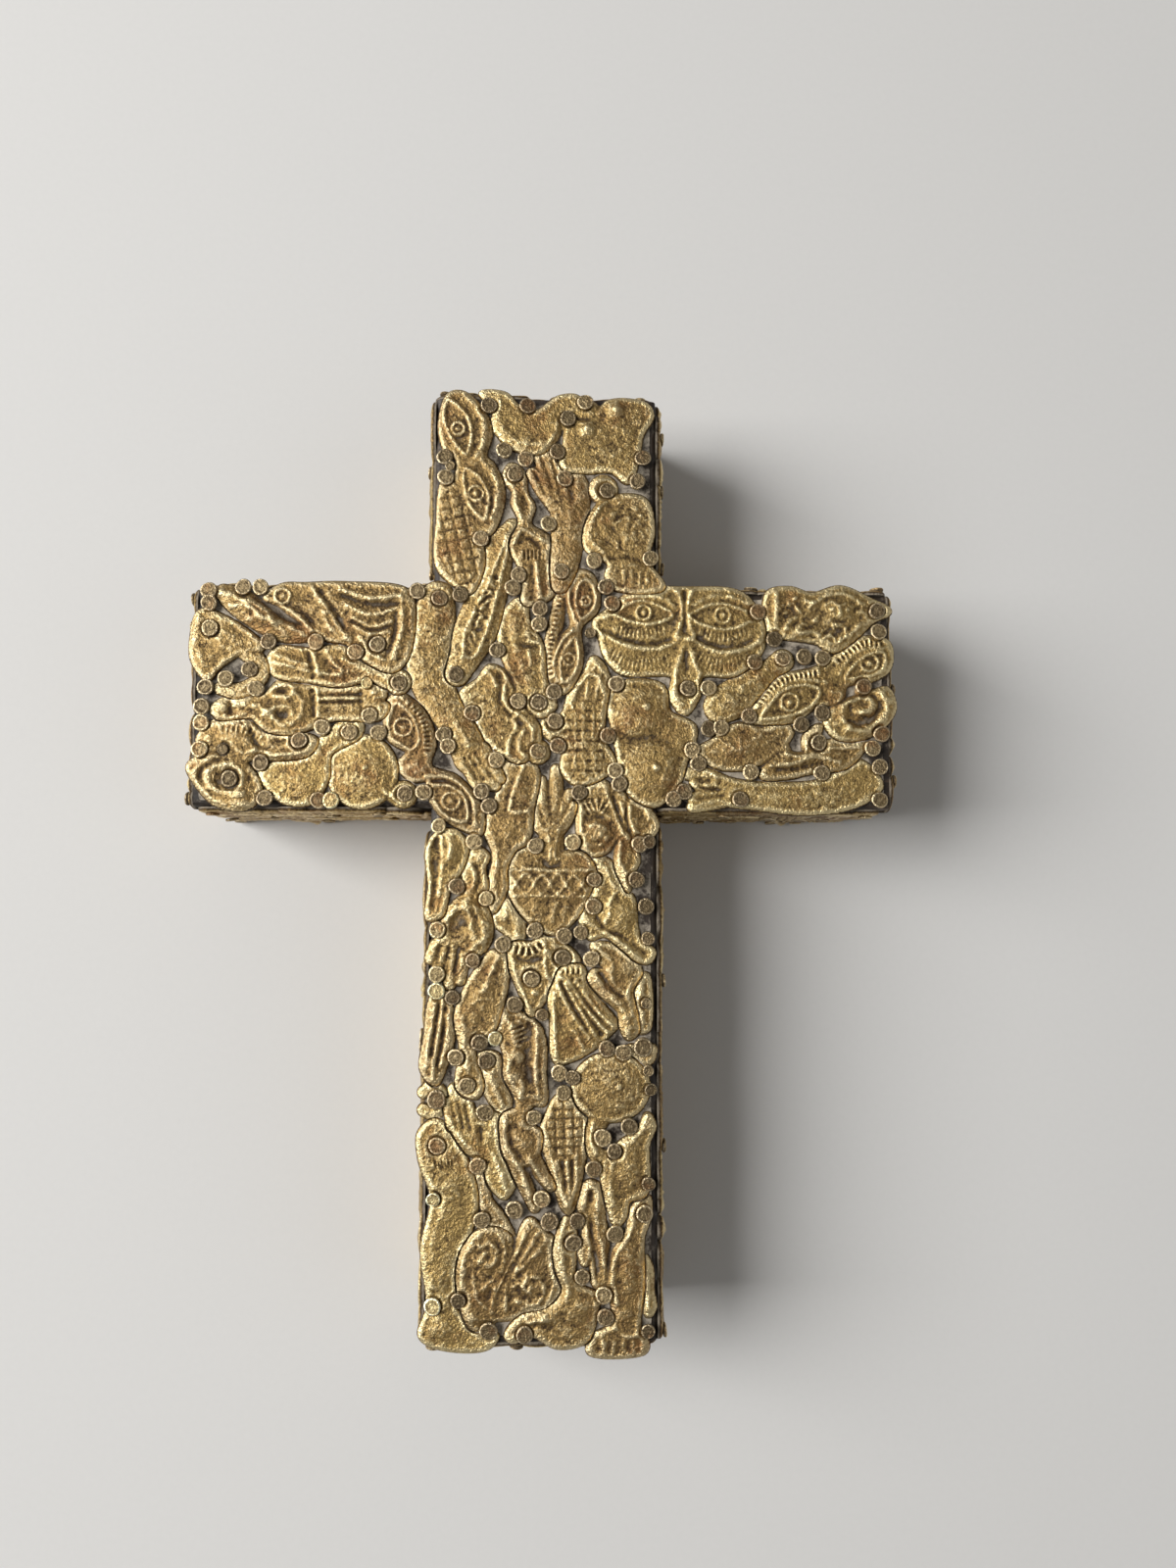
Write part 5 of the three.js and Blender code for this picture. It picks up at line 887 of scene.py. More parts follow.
        *hand([(-13.6, -41.6, 0.9), (-14.5, -38.6, 0.5)], [(-12.7, -41.6, 0.8), (-13.8, -36.4, 0.4)],
            [(-11.7, -41.8, 0.8), (-12.9, -37, 0.4)], [(-10.7, -42, 0.8), (-11.9, -38, 0.4)],
            [(-8.4, -43, 1.1), (-7.4, -41.1, 0.8)]),
        lines(0.22, -0.26, [(-13.2, -42.4), (-14, -38.6)], [(-12.2, -42.2), (-13, -38.6)], [(-11.2, -42.2),
            (-12, -38.8)]),
        line(0.28, -0.26, (-9.5, -42.4), (-9.3, -44.4)),
        line(0.35, 0.24, (-13.9, -41.4), (-12.2, -44.2), (-10.2, -46)),
        bump(-6.4, -49.2, 1.7, 0.18, 3, 20),
        line(0.3, 0.2, (-7.6, -46.2), (-6.2, -49), (-5.4, -52))),
    "disc_and_calf": charm(
        oval(10.7, -36.2, 5.7, 5),
        limb((9, -40.8, 1.2), (8, -43.4, 0.8), (8.4, -46.2, 0.8), (10.4, -47.2, 0.8)),
        plate((16.4, -40.5), (15, -43), (12.2, -44.8), (9.6, -47.6), (9.9, -52), (11.6, -57), (12.7, -56),
            (13.4, -53.4), (16, -52.3), (16.3, -45), (17.3, -42)),
        bump(10.7, -36.1, 5, 0.34, 4.4),
        bump(11.9, -36, 0.6, 0.26),
        ring(9.4, -43.8, 1.5, 0.28, 0.2),
        line(0.3, 0.24, (7.9, -41.6), (7.7, -44), (8.4, -46.2)),
        bump(13.4, -48.2, 2, 0.26, 3.6),
        line(0.35, 0.26, (15.8, -41.6), (14.4, -43.8), (11.8, -46.4), (10.6, -49.4), (11, -54))),
    "corn_cob_lower": charm(
        plate((2.6, -37.6), (4.9, -37.6), (6.7, -41.5), (6.5, -46.5), (5.1, -53), (4.3, -55.1),
            (3.5, -54.6), (1.7, -49), (0.1, -43.2), (1.1, -39.9)),
        kernels(3.5, -42.4, 5, 3.2, 92, 1.4, 0.12),
        line(0.28, 0.3, (0.7, -43.2), (1.9, -48.6), (3.7, -54.2)),
        lines(0.26, 0.26, [(2.4, -47.4), (3.2, -51), (4, -54)], [(3.9, -47.6), (4.2, -51), (4.3, -54)],
            [(5.3, -46.6), (5.3, -50), (4.7, -53.4)]),
        lines(0.22, -0.2, [(3.2, -47.6), (3.7, -51.6)], [(4.7, -47.4), (4.8, -51)])),
    "boot": charm(
        plate((3.9, -56.1), (2.3, -60), (2.5, -63.6), (3.6, -66.9), (1.2, -69.7), (-3.2, -71),
            (-5.2, -73.6), (-4.3, -74.2), (-1.5, -73.2), (2.6, -75.1), (6.8, -74.2), (8.3, -70.5),
            (8.4, -67.7), (5.3, -65.9), (4.9, -61.5), (5, -58)),
        line(0.4, 0.28, (3, -57.6), (3, -61), (3.3, -64), (4.2, -66.8), (3.2, -69), (0.6, -70.8)),
        bump(5.6, -69.2, 2.4, 0.2, 2.8),
        line(0.33, 0.26, (-4, -73.6), (-1.4, -71.4), (1.8, -70.9)),
        line(0.3, -0.22, (-2.6, -71.9), (0.4, -71.8), (2.8, -73)),
        ring(4.9, -59.6, 1.5, 0.28, 0.18),
        bump(3.6, -72.8, 2.4, 0.16, 1.2)),
    "leg_and_figure_right": charm(
        plate((16.4, -53), (14.4, -54.4), (13.3, -58.3), (11.1, -61.5), (10.4, -65.5), (11.1, -68.5),
            (11, -72), (7.9, -74), (7.5, -76), (15.8, -76), (16.2, -74.9), (15, -72.4), (15.5, -66),
            (15.5, -59), (16.5, -56)),
        plate((7.3, -50.7), (9, -51.5), (9.4, -55.5), (10, -60), (9.4, -66.4), (8.3, -66), (7.6, -62),
            (6.7, -63), (6.1, -61.5), (6.8, -57), (5.9, -53.8)),
        limb((9.4, -65.6, 0.6), (11.2, -66.4, 0.7)),
        line(0.4, 0.3, (15, -53.6), (13.9, -57.4), (11.8, -61), (11, -65), (11.6, -68.6)),
        bump(13.6, -63, 1.8, 0.26, 5.2, 4),
        bump(13, -70, 1.6, 0.2, 1.6),
        lashes(1.1, 1.5, 0.09, (8.2, -75), (12, -75.2), (15.8, -75)),
        line(0.3, 0.2, (9.4, -72.4), (9.4, -74.6)),
        line(0.3, 0.24, (11, -72.2), (13.4, -73.6), (15.4, -73)),
        line(0.33, 0.28, (6.6, -54), (7.2, -51.6), (8.4, -51.6), (8.6, -54.6)),
        bump(7.5, -52.6, 0.7, -0.3, 1.2),
        lines(0.3, 0.28, [(6.7, -57.6), (7.3, -60), (7.4, -62.6)], [(8.4, -55.6), (9.2, -59.6),
            (9.7, -63)]),
        line(0.28, -0.24, (7.6, -56.6), (8.2, -60.6), (8.8, -64.6))),
    "eyes_lower": charm(
        plate((-1.9, -56.3), (0.6, -58.3), (2, -59.6), (1.3, -61), (2.3, -64), (2.8, -67.2), (0.4, -69.7),
            (-4.4, -70.8), (-7.9, -70.6), (-7.2, -67), (-4.2, -61)),
        plate((-9.4, -57.9), (-11.9, -60.8), (-12.6, -65.5), (-10.4, -72.2), (-7.4, -71.4), (-7, -67),
            (-4.6, -61.4), (-5, -58.8), (-6.8, -57.8)),
        bump(-8.2, -62.4, 2.6, 0.2, 3.4, 16),
        curls(-8.4, -62.6, 2.8, 5.2, 16, 1.1, 0.13),
        line(0.26, 0.22, (-9.6, -60), (-7.8, -59.6), (-6.8, -61), (-7.6, -62.8), (-9, -63), (-9.6, -61.8),
            (-8.6, -61)),
        bump(-2.2, -65.8, 2.8, 0.2, 3.2),
        curls(-1.8, -66.4, 3.6, 3.4, 0, 1, 0.13),
        line(0.26, 0.22, (-3.6, -68), (-1.4, -68.8), (0.4, -67.4), (0, -65.2), (-1.8, -64.6), (-2.8, -66),
            (-1.6, -67)),
        line(0.5, 0.3, (-9.8, -58.6), (-11.8, -62), (-12, -65.6), (-10.6, -70.8)),
        lines(0.26, 0.22, [(-6.4, -58.4), (-5.6, -60.2), (-5.7, -62.4), (-7.4, -65), (-9.6, -66.8)],
            [(-10.4, -64.8), (-10, -67.4), (-8.4, -69.2)]),
        line(0.26, 0.24, (-7, -66.6), (-7.6, -69.8)),
        lines(0.26, 0.22, [(-2, -57.4), (-3.4, -60.4), (-5.2, -63.4), (-7, -66.6)], [(-0.6, -58.2),
            (-2, -60.6), (-4, -63.6)]),
        line(0.26, 0.2, (0.8, -59), (-0.6, -61), (-2.6, -62.8), (-4.4, -64.8)),
        lines(0.24, 0.2, [(-5.4, -66), (-5.4, -69.6)], [(-4, -68), (-2.6, -69.4), (-0.2, -69.6)],
            [(1.6, -62.6), (2, -65.8), (1, -68.4)])),
    "long_leg": charm(
        plate((-18.8, -43), (-16.5, -41.3), (-14.2, -43), (-11.1, -49), (-10.2, -54), (-11.6, -59.4),
            (-12.9, -64.5), (-13.4, -69.3), (-9.6, -72.7), (-6.9, -73.6), (-8, -75), (-10.8, -75.5),
            (-16.5, -74.7), (-18.3, -73.3), (-17.1, -69), (-18.1, -60.5), (-16.7, -53), (-18.7, -47)),
        lashes(0.8, 0.5, 0.1, (-16.6, -47.8), (-13.6, -47.2)),
        line(0.25, -0.14, (-17, -47.2), (-14.8, -48.2), (-13, -46.9)),
        line(0.4, 0.16, (-17.6, -45), (-17.4, -49), (-15.6, -54), (-16.8, -60), (-16.6, -66)),
        bump(-14.6, -53, 2.4, 0.14, 5.4, 4),
        bump(-14.8, -63, 2, 0.14, 4),
        bump(-15.6, -72, 2.2, 0.2, 1.8),
        line(0.3, -0.14, (-16.6, -69.2), (-14.8, -69.8), (-13.4, -69.2))),
}

# Small pieces between the larger charms

SMALL_CHARMS = {
    "curled_figure": charm(
        plate((-6.8, -7.4), (-4.9, -7.6), (-3.6, -9.4), (-3.1, -11.5), (-3.6, -13.6), (-4.7, -13.5),
            (-6, -12.1), (-7.4, -10.9), (-7.4, -8.3)),
        ridge((-5.6, -8.4, 0.6), (-4.2, -10.4, 0.6), (-4, -12.8, 0.5)),
        bump(-6.3, -9.6, 1.1, 0.3)),
    "fish": charm(
        plate((-9.9, -31.4), (-7.2, -31.2), (-6.6, -35), (-5.1, -38.3), (-5.9, -40.3), (-8, -38.2),
            (-9.8, -33.4)),
        ridge((-8.6, -32.2, 0.6), (-7.6, -35.4, 0.6), (-6.2, -38.8, 0.4))),
    "narrow_figure": charm(
        plate((15.2, -19), (16.3, -18.9), (16.8, -21.8), (16.8, -25.5), (16.4, -27.3), (15.3, -27.6),
            (14.5, -24.5), (13.9, -21.2)),
        ridge((15.4, -20, 0.5), (15.6, -26, 0.5))),
    "sliver": charm(
        plate((-10, -49.8), (-9.1, -49.6), (-8, -53.2), (-6.1, -55.5), (-4.6, -59), (-6.5, -59))),
    "small_leaf": charm(
        plate((15.9, -62), (16.8, -63.5), (16.9, -66.6), (17.3, -69.5), (16.5, -70.6), (15.7, -67.2)),
        ridge((16.2, -63, 0.3), (16.4, -69.6, 0.3))),
    "ring_right": charm(
        limb((14, -30.5, 0.5), (14.2, -31.7, 0.5), (15.5, -32.3, 0.5), (16.6, -31.8, 0.5),
            (17, -30.5, 0.5))),
    "hook_left": charm(
        limb((-18.4, -36.9, 0.5), (-17, -36.2, 0.7), (-16, -37, 0.7), (-15.9, -38.6, 0.7),
            (-16.7, -40.1, 0.6), (-18.4, -39.6, 0.5))),
}

# Charms that the side rows are made of, with their turn in degrees

ROW_TURNS = {
    "flaming_heart": 4,
    "limb_left": -4,
    "breast_disc_left": 0,
    "leaf": 84,
    "bearded_bust": 92,
    "stomach": -20,
    "corn_cob_lower": 5,
}

# Nails of the front: x, y, the head's radius where it isn't the usual one, and a tone

HEAD_RADIUS = 1.33
DULL = -0.7
WORN = 1.2
SHINY = 2.6

NAILS = {
    "upper_post": [(-9.3, 73.1), (-3, 73.1), (6.4, 73.9), (3.6, 71.1), (-6.8, 65.6), (-3.3, 64.2),
        (1.9, 65.5), (-16.4, 64.4), (-15.5, 62.9, 0.8), (-16.2, 61), (3.1, 61), (-5, 61.7), (15.8, 64.6),
        (10, 59.1), (14.9, 60.7), (0.5, 53.5), (-10.4, 50.9), (7.9, 47.5), (17, 47.9), (2.6, 45.7),
        (-4.3, 45), (-5.2, 42.9), (9.8, 43.2)],
    "left_arm": [(-53.7, 42), (-53.6, 40), (-48.2, 42.6), (-45.5, 42.6), (-53.3, 35.9), (-44, 33.8),
        (-36.5, 33.8), (-30.2, 32.2), (-26.7, 33.5), (-46.9, 29.3), (-50.6, 27.8), (-45.8, 26.2),
        (-53.8, 26.4), (-54.3, 23.3), (-54.3, 20.7, None, WORN), (-54.4, 16.5, None, WORN), (-38.8, 18),
        (-35.2, 20.1), (-30.9, 19.3), (-27.8, 22), (-28.3, 27.2, 0.9, SHINY), (-23.2, 27.3), (-26.3, 19.3),
        (-50.8, 16.5, 0.9), (-44.8, 14.4), (-49.6, 11.8), (-44, 8.8), (-35.6, 8.5),
        (-33.6, 8.5, None, SHINY), (-22, 9.6), (-20.5, 42.2)],
    "centre": [(-16.9, 41.1), (-13.6, 41.7), (-0.8, 39.5), (-0.9, 37), (-7.6, 32.7), (10.8, 40.5),
        (7.3, 35.6, 0.9), (-14.2, 28.7), (-11.5, 22.5), (-4.2, 24.5), (-0.9, 24.3), (1.5, 26), (1.7, 21.3),
        (2.2, 17.3), (11.5, 27.4), (10.2, 19), (-1, 16.4), (-7.6, 15), (-16, 19), (-15.3, 17.2),
        (-9.9, 10), (-8.7, 7.7), (-19, 9.8), (5.6, 9.9), (11.3, 13.4), (12, 11.3)],
    "right_arm": [(23, 26.7), (26.3, 26.8), (33.8, 31.1), (37, 34.8), (38.4, 31.7), (41.8, 32),
        (44.8, 31.8), (54, 36.2), (53.8, 39.6), (34.4, 39.3), (51.4, 27.2), (32.8, 22.3), (28.3, 20.4),
        (26.3, 20.2), (44.6, 22.9), (41.2, 21), (44, 18.1), (54.2, 19.5), (52.7, 17.2), (53.8, 14.2),
        (44.4, 13.2), (33, 13.3), (24.6, 14.6), (23.6, 16.8), (22.3, 10.1), (20.6, 8.9), (31.3, 8.9),
        (53.7, 8.9)],
    "lower_post_top": [(-16.6, 4.5, 1.2, WORN), (-11, 2), (-13.6, -5), (-9, -6.9, 1.2, WORN), (-1.3, 1.4),
        (4.6, 2, None, WORN), (15.2, 1.7), (16.7, 2.1, 1.1, DULL), (8, -3.9, 1.2), (14.7, -3.9),
        (7.9, -8.1), (16.2, -8.1), (-16.6, -11.8, None, WORN), (-6.3, -14), (-1.3, -11.9), (3.3, -12.7),
        (5.9, -12.2, 1.2), (16.5, -13.1, 1.1), (-11, -16.6, 1.2), (-16.6, -18.7, None, WORN), (3.1, -16.1),
        (7.6, -16.3), (-16.6, -21.3, None, SHINY), (-1.8, -19.4), (-14.1, -22.3, 1.2, DULL), (-4.4, -23.4),
        (-0.1, -25, 1), (16.2, -23.2, 0.85)],
    "lower_post_middle": [(-7.4, -28.6, 1.15, SHINY), (-9.8, -29.2), (10, -30.2), (12.6, -30.8),
        (15.7, -30, 1.5), (-8.7, -32, 1.35), (-13.5, -31.5), (2.6, -33.9), (4.7, -34.6, 1.2),
        (16.5, -33.6, 0.9), (3.3, -36.9, 1.2), (16.9, -36.5, 1, DULL), (-11.7, -35.8), (-16.4, -37.9, 1.5),
        (-8.9, -39.9), (-1.3, -40.7, 1.2), (13.5, -42.1), (9.4, -43.8, 1.4), (-16.2, -44.9),
        (11.2, -45.8, 1.2), (-9.9, -48, 1.35), (8, -48.5), (16.5, -50.8, 1.1)],
    "lower_post_bottom": [(-16.7, -53, 1.1, SHINY), (0, -53), (-4.2, -54.6, 1.4), (15.9, -55.3, 1.35),
        (-9.2, -56.1), (5.5, -56.3, 1.25), (1.2, -56.4, 1.4), (11.3, -58.3), (4.9, -59.6),
        (6.3, -64.7, 1.2), (-12.7, -68.1, 1.2), (-16.6, -68.9, None, SHINY), (9.6, -67.4),
        (9.9, -70.7, 1.35), (-8, -72.6, 1.4), (-2.5, -73.2), (16.4, -72.8, 1.1, DULL)],
}


# Heights of the faces

FAR = 1e9
ROUND_WIDTH = 1.8
BULGE = 0.16
BULGE_WIDTH = 3.5
BORDER = 0.075
BORDER_INSET = 0.8
BORDER_WIDTH = 0.35
RELIEF_INSET = 0.5
RELIEF_START = 0.3
PEBBLE = 0.55
FINE_PEBBLE = 0.27
FINE_SHARE = 0.7
WARP = 0.05
WARP_WIDTH = 4
DENT = 0.07
DENT_WIDTH = 1.5
PRESSED = 0.84
PRESSED_WIDTH = 0.7
PRESSED_RISE = 0.5


def depth_of(shapes, p, reach=1.5):
    """How deep each point lies inside the joined outlines."""
    best = np.full(len(p), -FAR)
    for shape in shapes:
        near = close_to(p, shape["box"], reach)
        if near.any():
            best[near] = np.maximum(best[near], shape["depth"](p[near])[0])
    return best


def face_height(design, p, settings, seed):
    """Height of a charm's face above the wood, in millimetres."""
    wall, swell, edge = settings.wall / MM, settings.swell / MM, settings.edge / MM
    spread = settings.spread / MM
    height = np.full(len(p), wall)
    for shape in design["outlines"]:
        near = close_to(p, shape["box"], spread)
        if not near.any():
            continue
        depth, width = shape["depth"](p[near])
        depth += spread
        t = np.clip(depth / np.where(width > 0, np.minimum(width + spread, ROUND_WIDTH), edge), 0, 1)
        form = wall + swell * np.sqrt(1 - (1 - t) ** 2) + BULGE * smooth(depth / BULGE_WIDTH)
        border = np.where(width > 0, 0, BORDER * bell((depth - BORDER_INSET) / BORDER_WIDTH))
        height[near] = np.maximum(height[near], form + border)
    inner = smooth(depth_of(design["outlines"], p) / RELIEF_INSET + RELIEF_START)
    for raised in design["relief"]:
        height += inner * raised(p)
    pebbles = noise(p / PEBBLE, seed) + FINE_SHARE * noise(p / FINE_PEBBLE, seed + 1)
    height += settings.grain / MM * inner * pebbles
    height += WARP * noise(p / WARP_WIDTH, seed + 2)
    return height + DENT * inner * noise(p / DENT_WIDTH, seed + 3)


def seated(p, height):
    """Presses a front charm flat under the heads of the nails."""
    for x, y, radius, _ in front_nails():
        away = np.hypot(p[:, 0] - x, p[:, 1] - y) - radius
        near = away < PRESSED_WIDTH
        limit = PRESSED + PRESSED_RISE * smooth(away[near] / PRESSED_WIDTH)
        height[near] = np.minimum(height[near], limit)
    return height


# Meshes

EDGE_SHARE = 0.45
EDGE_MOVE = 0.7
FINE_BLUR = 0.35
BROAD_BLUR = 1.3
# Crest and stand given to a charm's upright walls: the low stand makes the walls darker, partly as patina
# and partly as painted shade in the gaps between charms, and also gathers settled dust there.
WALL_MARKS = (0.0, -0.6)
SHARP_ANGLE = 52
TABLE_GAP = 0.1


def blurred(field, sigma):
    """A smoothed copy of a 2-D field; sigma counts points of the grid."""
    reach = int(3 * sigma) + 1
    weight = np.exp(-0.5 * (np.arange(-reach, reach + 1) / sigma) ** 2)
    weight /= weight.sum()
    for axis in (0, 1):
        padded = np.pad(field, [(reach, reach) if a == axis else (0, 0) for a in (0, 1)], "edge")
        field = sum(w * np.take(padded, np.arange(k, k + field.shape[axis]), axis)
                    for k, w in enumerate(weight))
    return field


def moved_to_edge(q, depth, most, step=0.02, least_slope=0.3, rounds=3):
    """Moves points that lie near an outline onto it."""
    for _ in range(rounds):
        d = depth(q)
        slope = np.stack([depth(q + (step, 0)) - d, depth(q + (0, step)) - d], 1) / step
        size = np.maximum(np.linalg.norm(slope, axis=1), least_slope)[:, None]
        q = q + np.clip(-d[:, None] * slope / size ** 2, -most, most)
    return q


def face_mesh(depth, height, low, high, pitch):
    """The face over an outline: points, faces and, per point, how far it stands above its
    surroundings at a fine and at a broad scale."""
    xs, ys = (np.arange(low[a] - 2 * pitch, high[a] + 3 * pitch, pitch) for a in (0, 1))
    gx, gy = np.meshgrid(xs, ys, indexing="ij")
    p = np.stack([gx.ravel(), gy.ravel()], 1)
    solid = depth(p).reshape(gx.shape) > -EDGE_SHARE * pitch
    cell = solid[:-1, :-1] & solid[1:, :-1] & solid[:-1, 1:] & solid[1:, 1:]
    used = np.zeros(gx.shape, bool)
    full = np.ones(gx.shape, bool)
    for i, j in np.ndindex(2, 2):
        corner = slice(i, i + cell.shape[0]), slice(j, j + cell.shape[1])
        used[corner] |= cell
        full[corner] &= cell
    full[0, :] = full[-1, :] = full[:, 0] = full[:, -1] = False
    rim = (used & ~full).ravel()
    p[rim] = moved_to_edge(p[rim], depth, EDGE_MOVE * pitch)
    used = used.ravel()
    z = np.zeros(len(p))
    z[used] = height(p[used])
    field = np.where(used, z, z[used].min()).reshape(gx.shape)
    stands = [(field - blurred(field, blur / pitch)).ravel()[used] for blur in (FINE_BLUR, BROAD_BLUR)]
    index = (np.cumsum(used) - 1).reshape(gx.shape)
    i, j = np.nonzero(cell)
    faces = np.stack([index[i, j], index[i + 1, j], index[i + 1, j + 1], index[i, j + 1]], 1)
    return np.column_stack([p[used], z[used]]), faces, np.stack(stands, 1)


def closed_solid(points, faces, marks):
    """Adds the upright wall and the flat bottom under a face."""
    count = len(points)
    edges = np.concatenate([faces[:, [k, (k + 1) % 4]] for k in range(4)])
    border = edges[~np.isin(edges @ (count, 1), edges @ (1, count))]
    rim = np.unique(border)
    below = {v: count + k for k, v in enumerate(rim)}
    wall = [(int(b), int(a), below[a], below[b]) for a, b in border]
    follow = {}
    for a, b in border:
        follow.setdefault(a, []).append(b)
    bottoms = []
    while follow:
        start = v = next(iter(follow))
        loop = []
        while not loop or v != start:
            loop.append(below[v])
            ahead = follow[v].pop()
            if not follow[v]:
                del follow[v]
            v = ahead
        bottoms.append(loop[::-1])
    points = np.concatenate([points, points[rim] * (1, 1, 0)])
    # The walls take WALL_MARKS, which make them darker as painted shade as well as patina.
    marks = np.concatenate([marks, np.tile(WALL_MARKS, (len(rim), 1))])
    return points, faces.tolist() + wall + bottoms, marks


def add_piece(name, parts, material):
    """Makes the mesh object of a piece, in metres, from its solids, each with its points,
    faces, surface marks and tone."""
    faces, count = [], 0
    for points, part_faces, _, _ in parts:
        faces += [[v + count for v in face] for face in part_faces]
        count += len(points)
    points = np.concatenate([part[0] for part in parts])
    points[:, 2] = np.maximum(points[:, 2], TABLE_GAP)
    crest, stand = np.concatenate([part[2] for part in parts]).T
    tone = np.repeat([part[3] for part in parts], [len(part[0]) for part in parts])
    mesh = bpy.data.meshes.new(name)
    mesh.from_pydata((points * MM).tolist(), [], faces)
    mesh.update()
    for label, values in (("crest", crest), ("stand", stand), ("tone", tone)):
        attribute = mesh.attributes.new(label, "FLOAT", "POINT")
        attribute.data.foreach_set("value", np.ascontiguousarray(values, np.float32))
    mesh.polygons.foreach_set("use_smooth", np.ones(len(mesh.polygons), bool))
    mesh.set_sharp_from_angle(angle=math.radians(SHARP_ANGLE))
    mesh.materials.append(material)
    piece = bpy.data.objects.new(name, mesh)
    bpy.context.scene.collection.objects.link(piece)
    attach(piece, "root")
    return piece


# Materials


def node(tree, kind, **values):
    made = tree.nodes.new(kind)
    for key, value in values.items():
        setattr(made, key, value)
    return made


def feed(tree, socket, value):
    """Sets a socket to a number or a colour, or links it to another socket."""
    if isinstance(value, bpy.types.NodeSocket):
        tree.links.new(value, socket)
    elif isinstance(value, (int, float)):
        socket.default_value = value
    else:
        socket.default_value = (*value[:3], 1)


def new_group(name, inputs, outputs):
    """An empty shader node group with named sockets, a float or a colour each."""
    group = bpy.data.node_groups.new(name, "ShaderNodeTree")
    for label, value in inputs.items():
        kind = "NodeSocketColor" if isinstance(value, tuple) else "NodeSocketFloat"
        socket = group.interface.new_socket(label, in_out="INPUT", socket_type=kind)
        socket.default_value = (*value, 1) if isinstance(value, tuple) else value
    for label in outputs:
        kind = "NodeSocketColor" if label == "Color" else "NodeSocketFloat"
        group.interface.new_socket(label, in_out="OUTPUT", socket_type=kind)
    return group, node(group, "NodeGroupInput").outputs, node(group, "NodeGroupOutput").inputs


def object_place(tree):
    return node(tree, "ShaderNodeTexCoord").outputs["Object"]


def mark(tree, name):
    """A surface mark that is stored in the mesh."""
    return node(tree, "ShaderNodeAttribute", attribute_name=name).outputs["Fac"]


def spots(tree, place, scale, detail, roughness=0.6):
    """Fractal noise at some number of waves per metre."""
    made = node(tree, "ShaderNodeTexNoise")
    feed(tree, made.inputs["Vector"], place)
    feed(tree, made.inputs["Scale"], scale)
    feed(tree, made.inputs["Detail"], detail)
    feed(tree, made.inputs["Roughness"], roughness)
    return made.outputs["Fac"]


def math_node(tree, operation, *values, clamp=False):
    made = node(tree, "ShaderNodeMath", operation=operation, use_clamp=clamp)
    for socket, value in zip(made.inputs, values):
        feed(tree, socket, value)
    return made.outputs[0]


def weighted(tree, total, *terms):
    """Adds values, each times a weight, to a first one."""
    for value, weight in terms:
        total = math_node(tree, "MULTIPLY_ADD", value, weight, total)
    return total


def mixed(tree, factor, a, b):
    made = node(tree, "ShaderNodeMix", data_type="RGBA")
    feed(tree, made.inputs[0], factor)
    feed(tree, made.inputs[6], a)
    feed(tree, made.inputs[7], b)
    return made.outputs[2]


def step(tree, value, low, high):
    """0 below low, 1 above high, smooth between."""
    made = node(tree, "ShaderNodeMapRange", interpolation_type="SMOOTHSTEP")
    feed(tree, made.inputs["Value"], value)
    feed(tree, made.inputs["From Min"], low)
    feed(tree, made.inputs["From Max"], high)
    return made.outputs[0]


def aged_metal_group(name):
    """Brass, lighter where it stands out, partly as wear and partly as a painted highlight, and darker
    where it lies deep, partly as patina and partly as painted shade.
    """
    tree, given, result = new_group(name, {
        "Metal": (0.4, 0.3, 0.15), "Bright": (0.8, 0.6, 0.3), "Patina": (0.05, 0.03, 0.02),
        "Stain": (0.25, 0.11, 0.04), "Rub": 1.0, "Dirt": 1.0, "Tone": 0.13,
    }, ("Color", "Roughness", "Height", "Metallic"))
    place = object_place(tree)
    crest, stand, tone = (mark(tree, label) for label in ("crest", "stand", "tone"))
    fine = spots(tree, place, scale=2600, detail=3, roughness=0.7)
    pebble = spots(tree, place, scale=1300, detail=2)
    patch = spots(tree, place, scale=190, detail=3)
    speck = step(tree, spots(tree, place, scale=1500, detail=5, roughness=0.8), 0.5, 0.6)
    grit = weighted(tree, 0, (pebble, 0.5), (fine, 0.5))

    # The score below and the step after it make parts that stand out (crest, stand and grit) lighter:
    # partly real wear, partly a painted highlight on edges and bumps.
    raised = weighted(tree, -0.45, (crest, 3.4), (stand, 0.5), (grit, 0.9))
    rub = weighted(tree, -0.25, (raised, given["Rub"]), (patch, 0.5))
    rubbed = step(tree, rub, 0, 0.55)
    # This score makes hollows, creases, the charms' walls and the valleys of the grain darker, along with
    # real flecks and blotches: partly real patina, partly painted shade.
    deep = weighted(tree, 0.2, (crest, -5), (stand, -1.2), (grit, -1.2), (speck, 0.55), (patch, 0.8))
    dirt = math_node(tree, "MULTIPLY", step(tree, deep, -0.1, 0.8), given["Dirt"], clamp=True)
    red = step(tree, spots(tree, place, scale=105, detail=5, roughness=0.72), 0.5, 0.7)

    stained = mixed(tree, weighted(tree, 0, (red, 0.75)), given["Metal"], given["Stain"])
    # This mixes in the Bright colour where parts stand out: partly wear, partly a painted highlight.
    worn = math_node(tree, "MULTIPLY", rubbed, weighted(tree, 1, (red, -0.3)))
    # This darkens towards the patina colour: partly real patina, partly painted shade.
    metal = mixed(tree, dirt, mixed(tree, worn, stained, given["Bright"]), given["Patina"])
    shade = node(tree, "ShaderNodeHueSaturation")
    feed(tree, shade.inputs["Color"], metal)
    feed(tree, shade.inputs["Hue"], weighted(tree, 0.5, (tone, 0.005)))
    feed(tree, shade.inputs["Value"], weighted(tree, 1, (tone, given["Tone"])))
    feed(tree, result["Color"], shade.outputs["Color"])
    feed(tree, result["Roughness"], weighted(tree, 0.34, (fine, 0.2), (rubbed, -0.1), (dirt, 0.34)))
    feed(tree, result["Height"], grit)
    feed(tree, result["Metallic"], weighted(tree, 0.97, (dirt, -0.45)))
    return tree


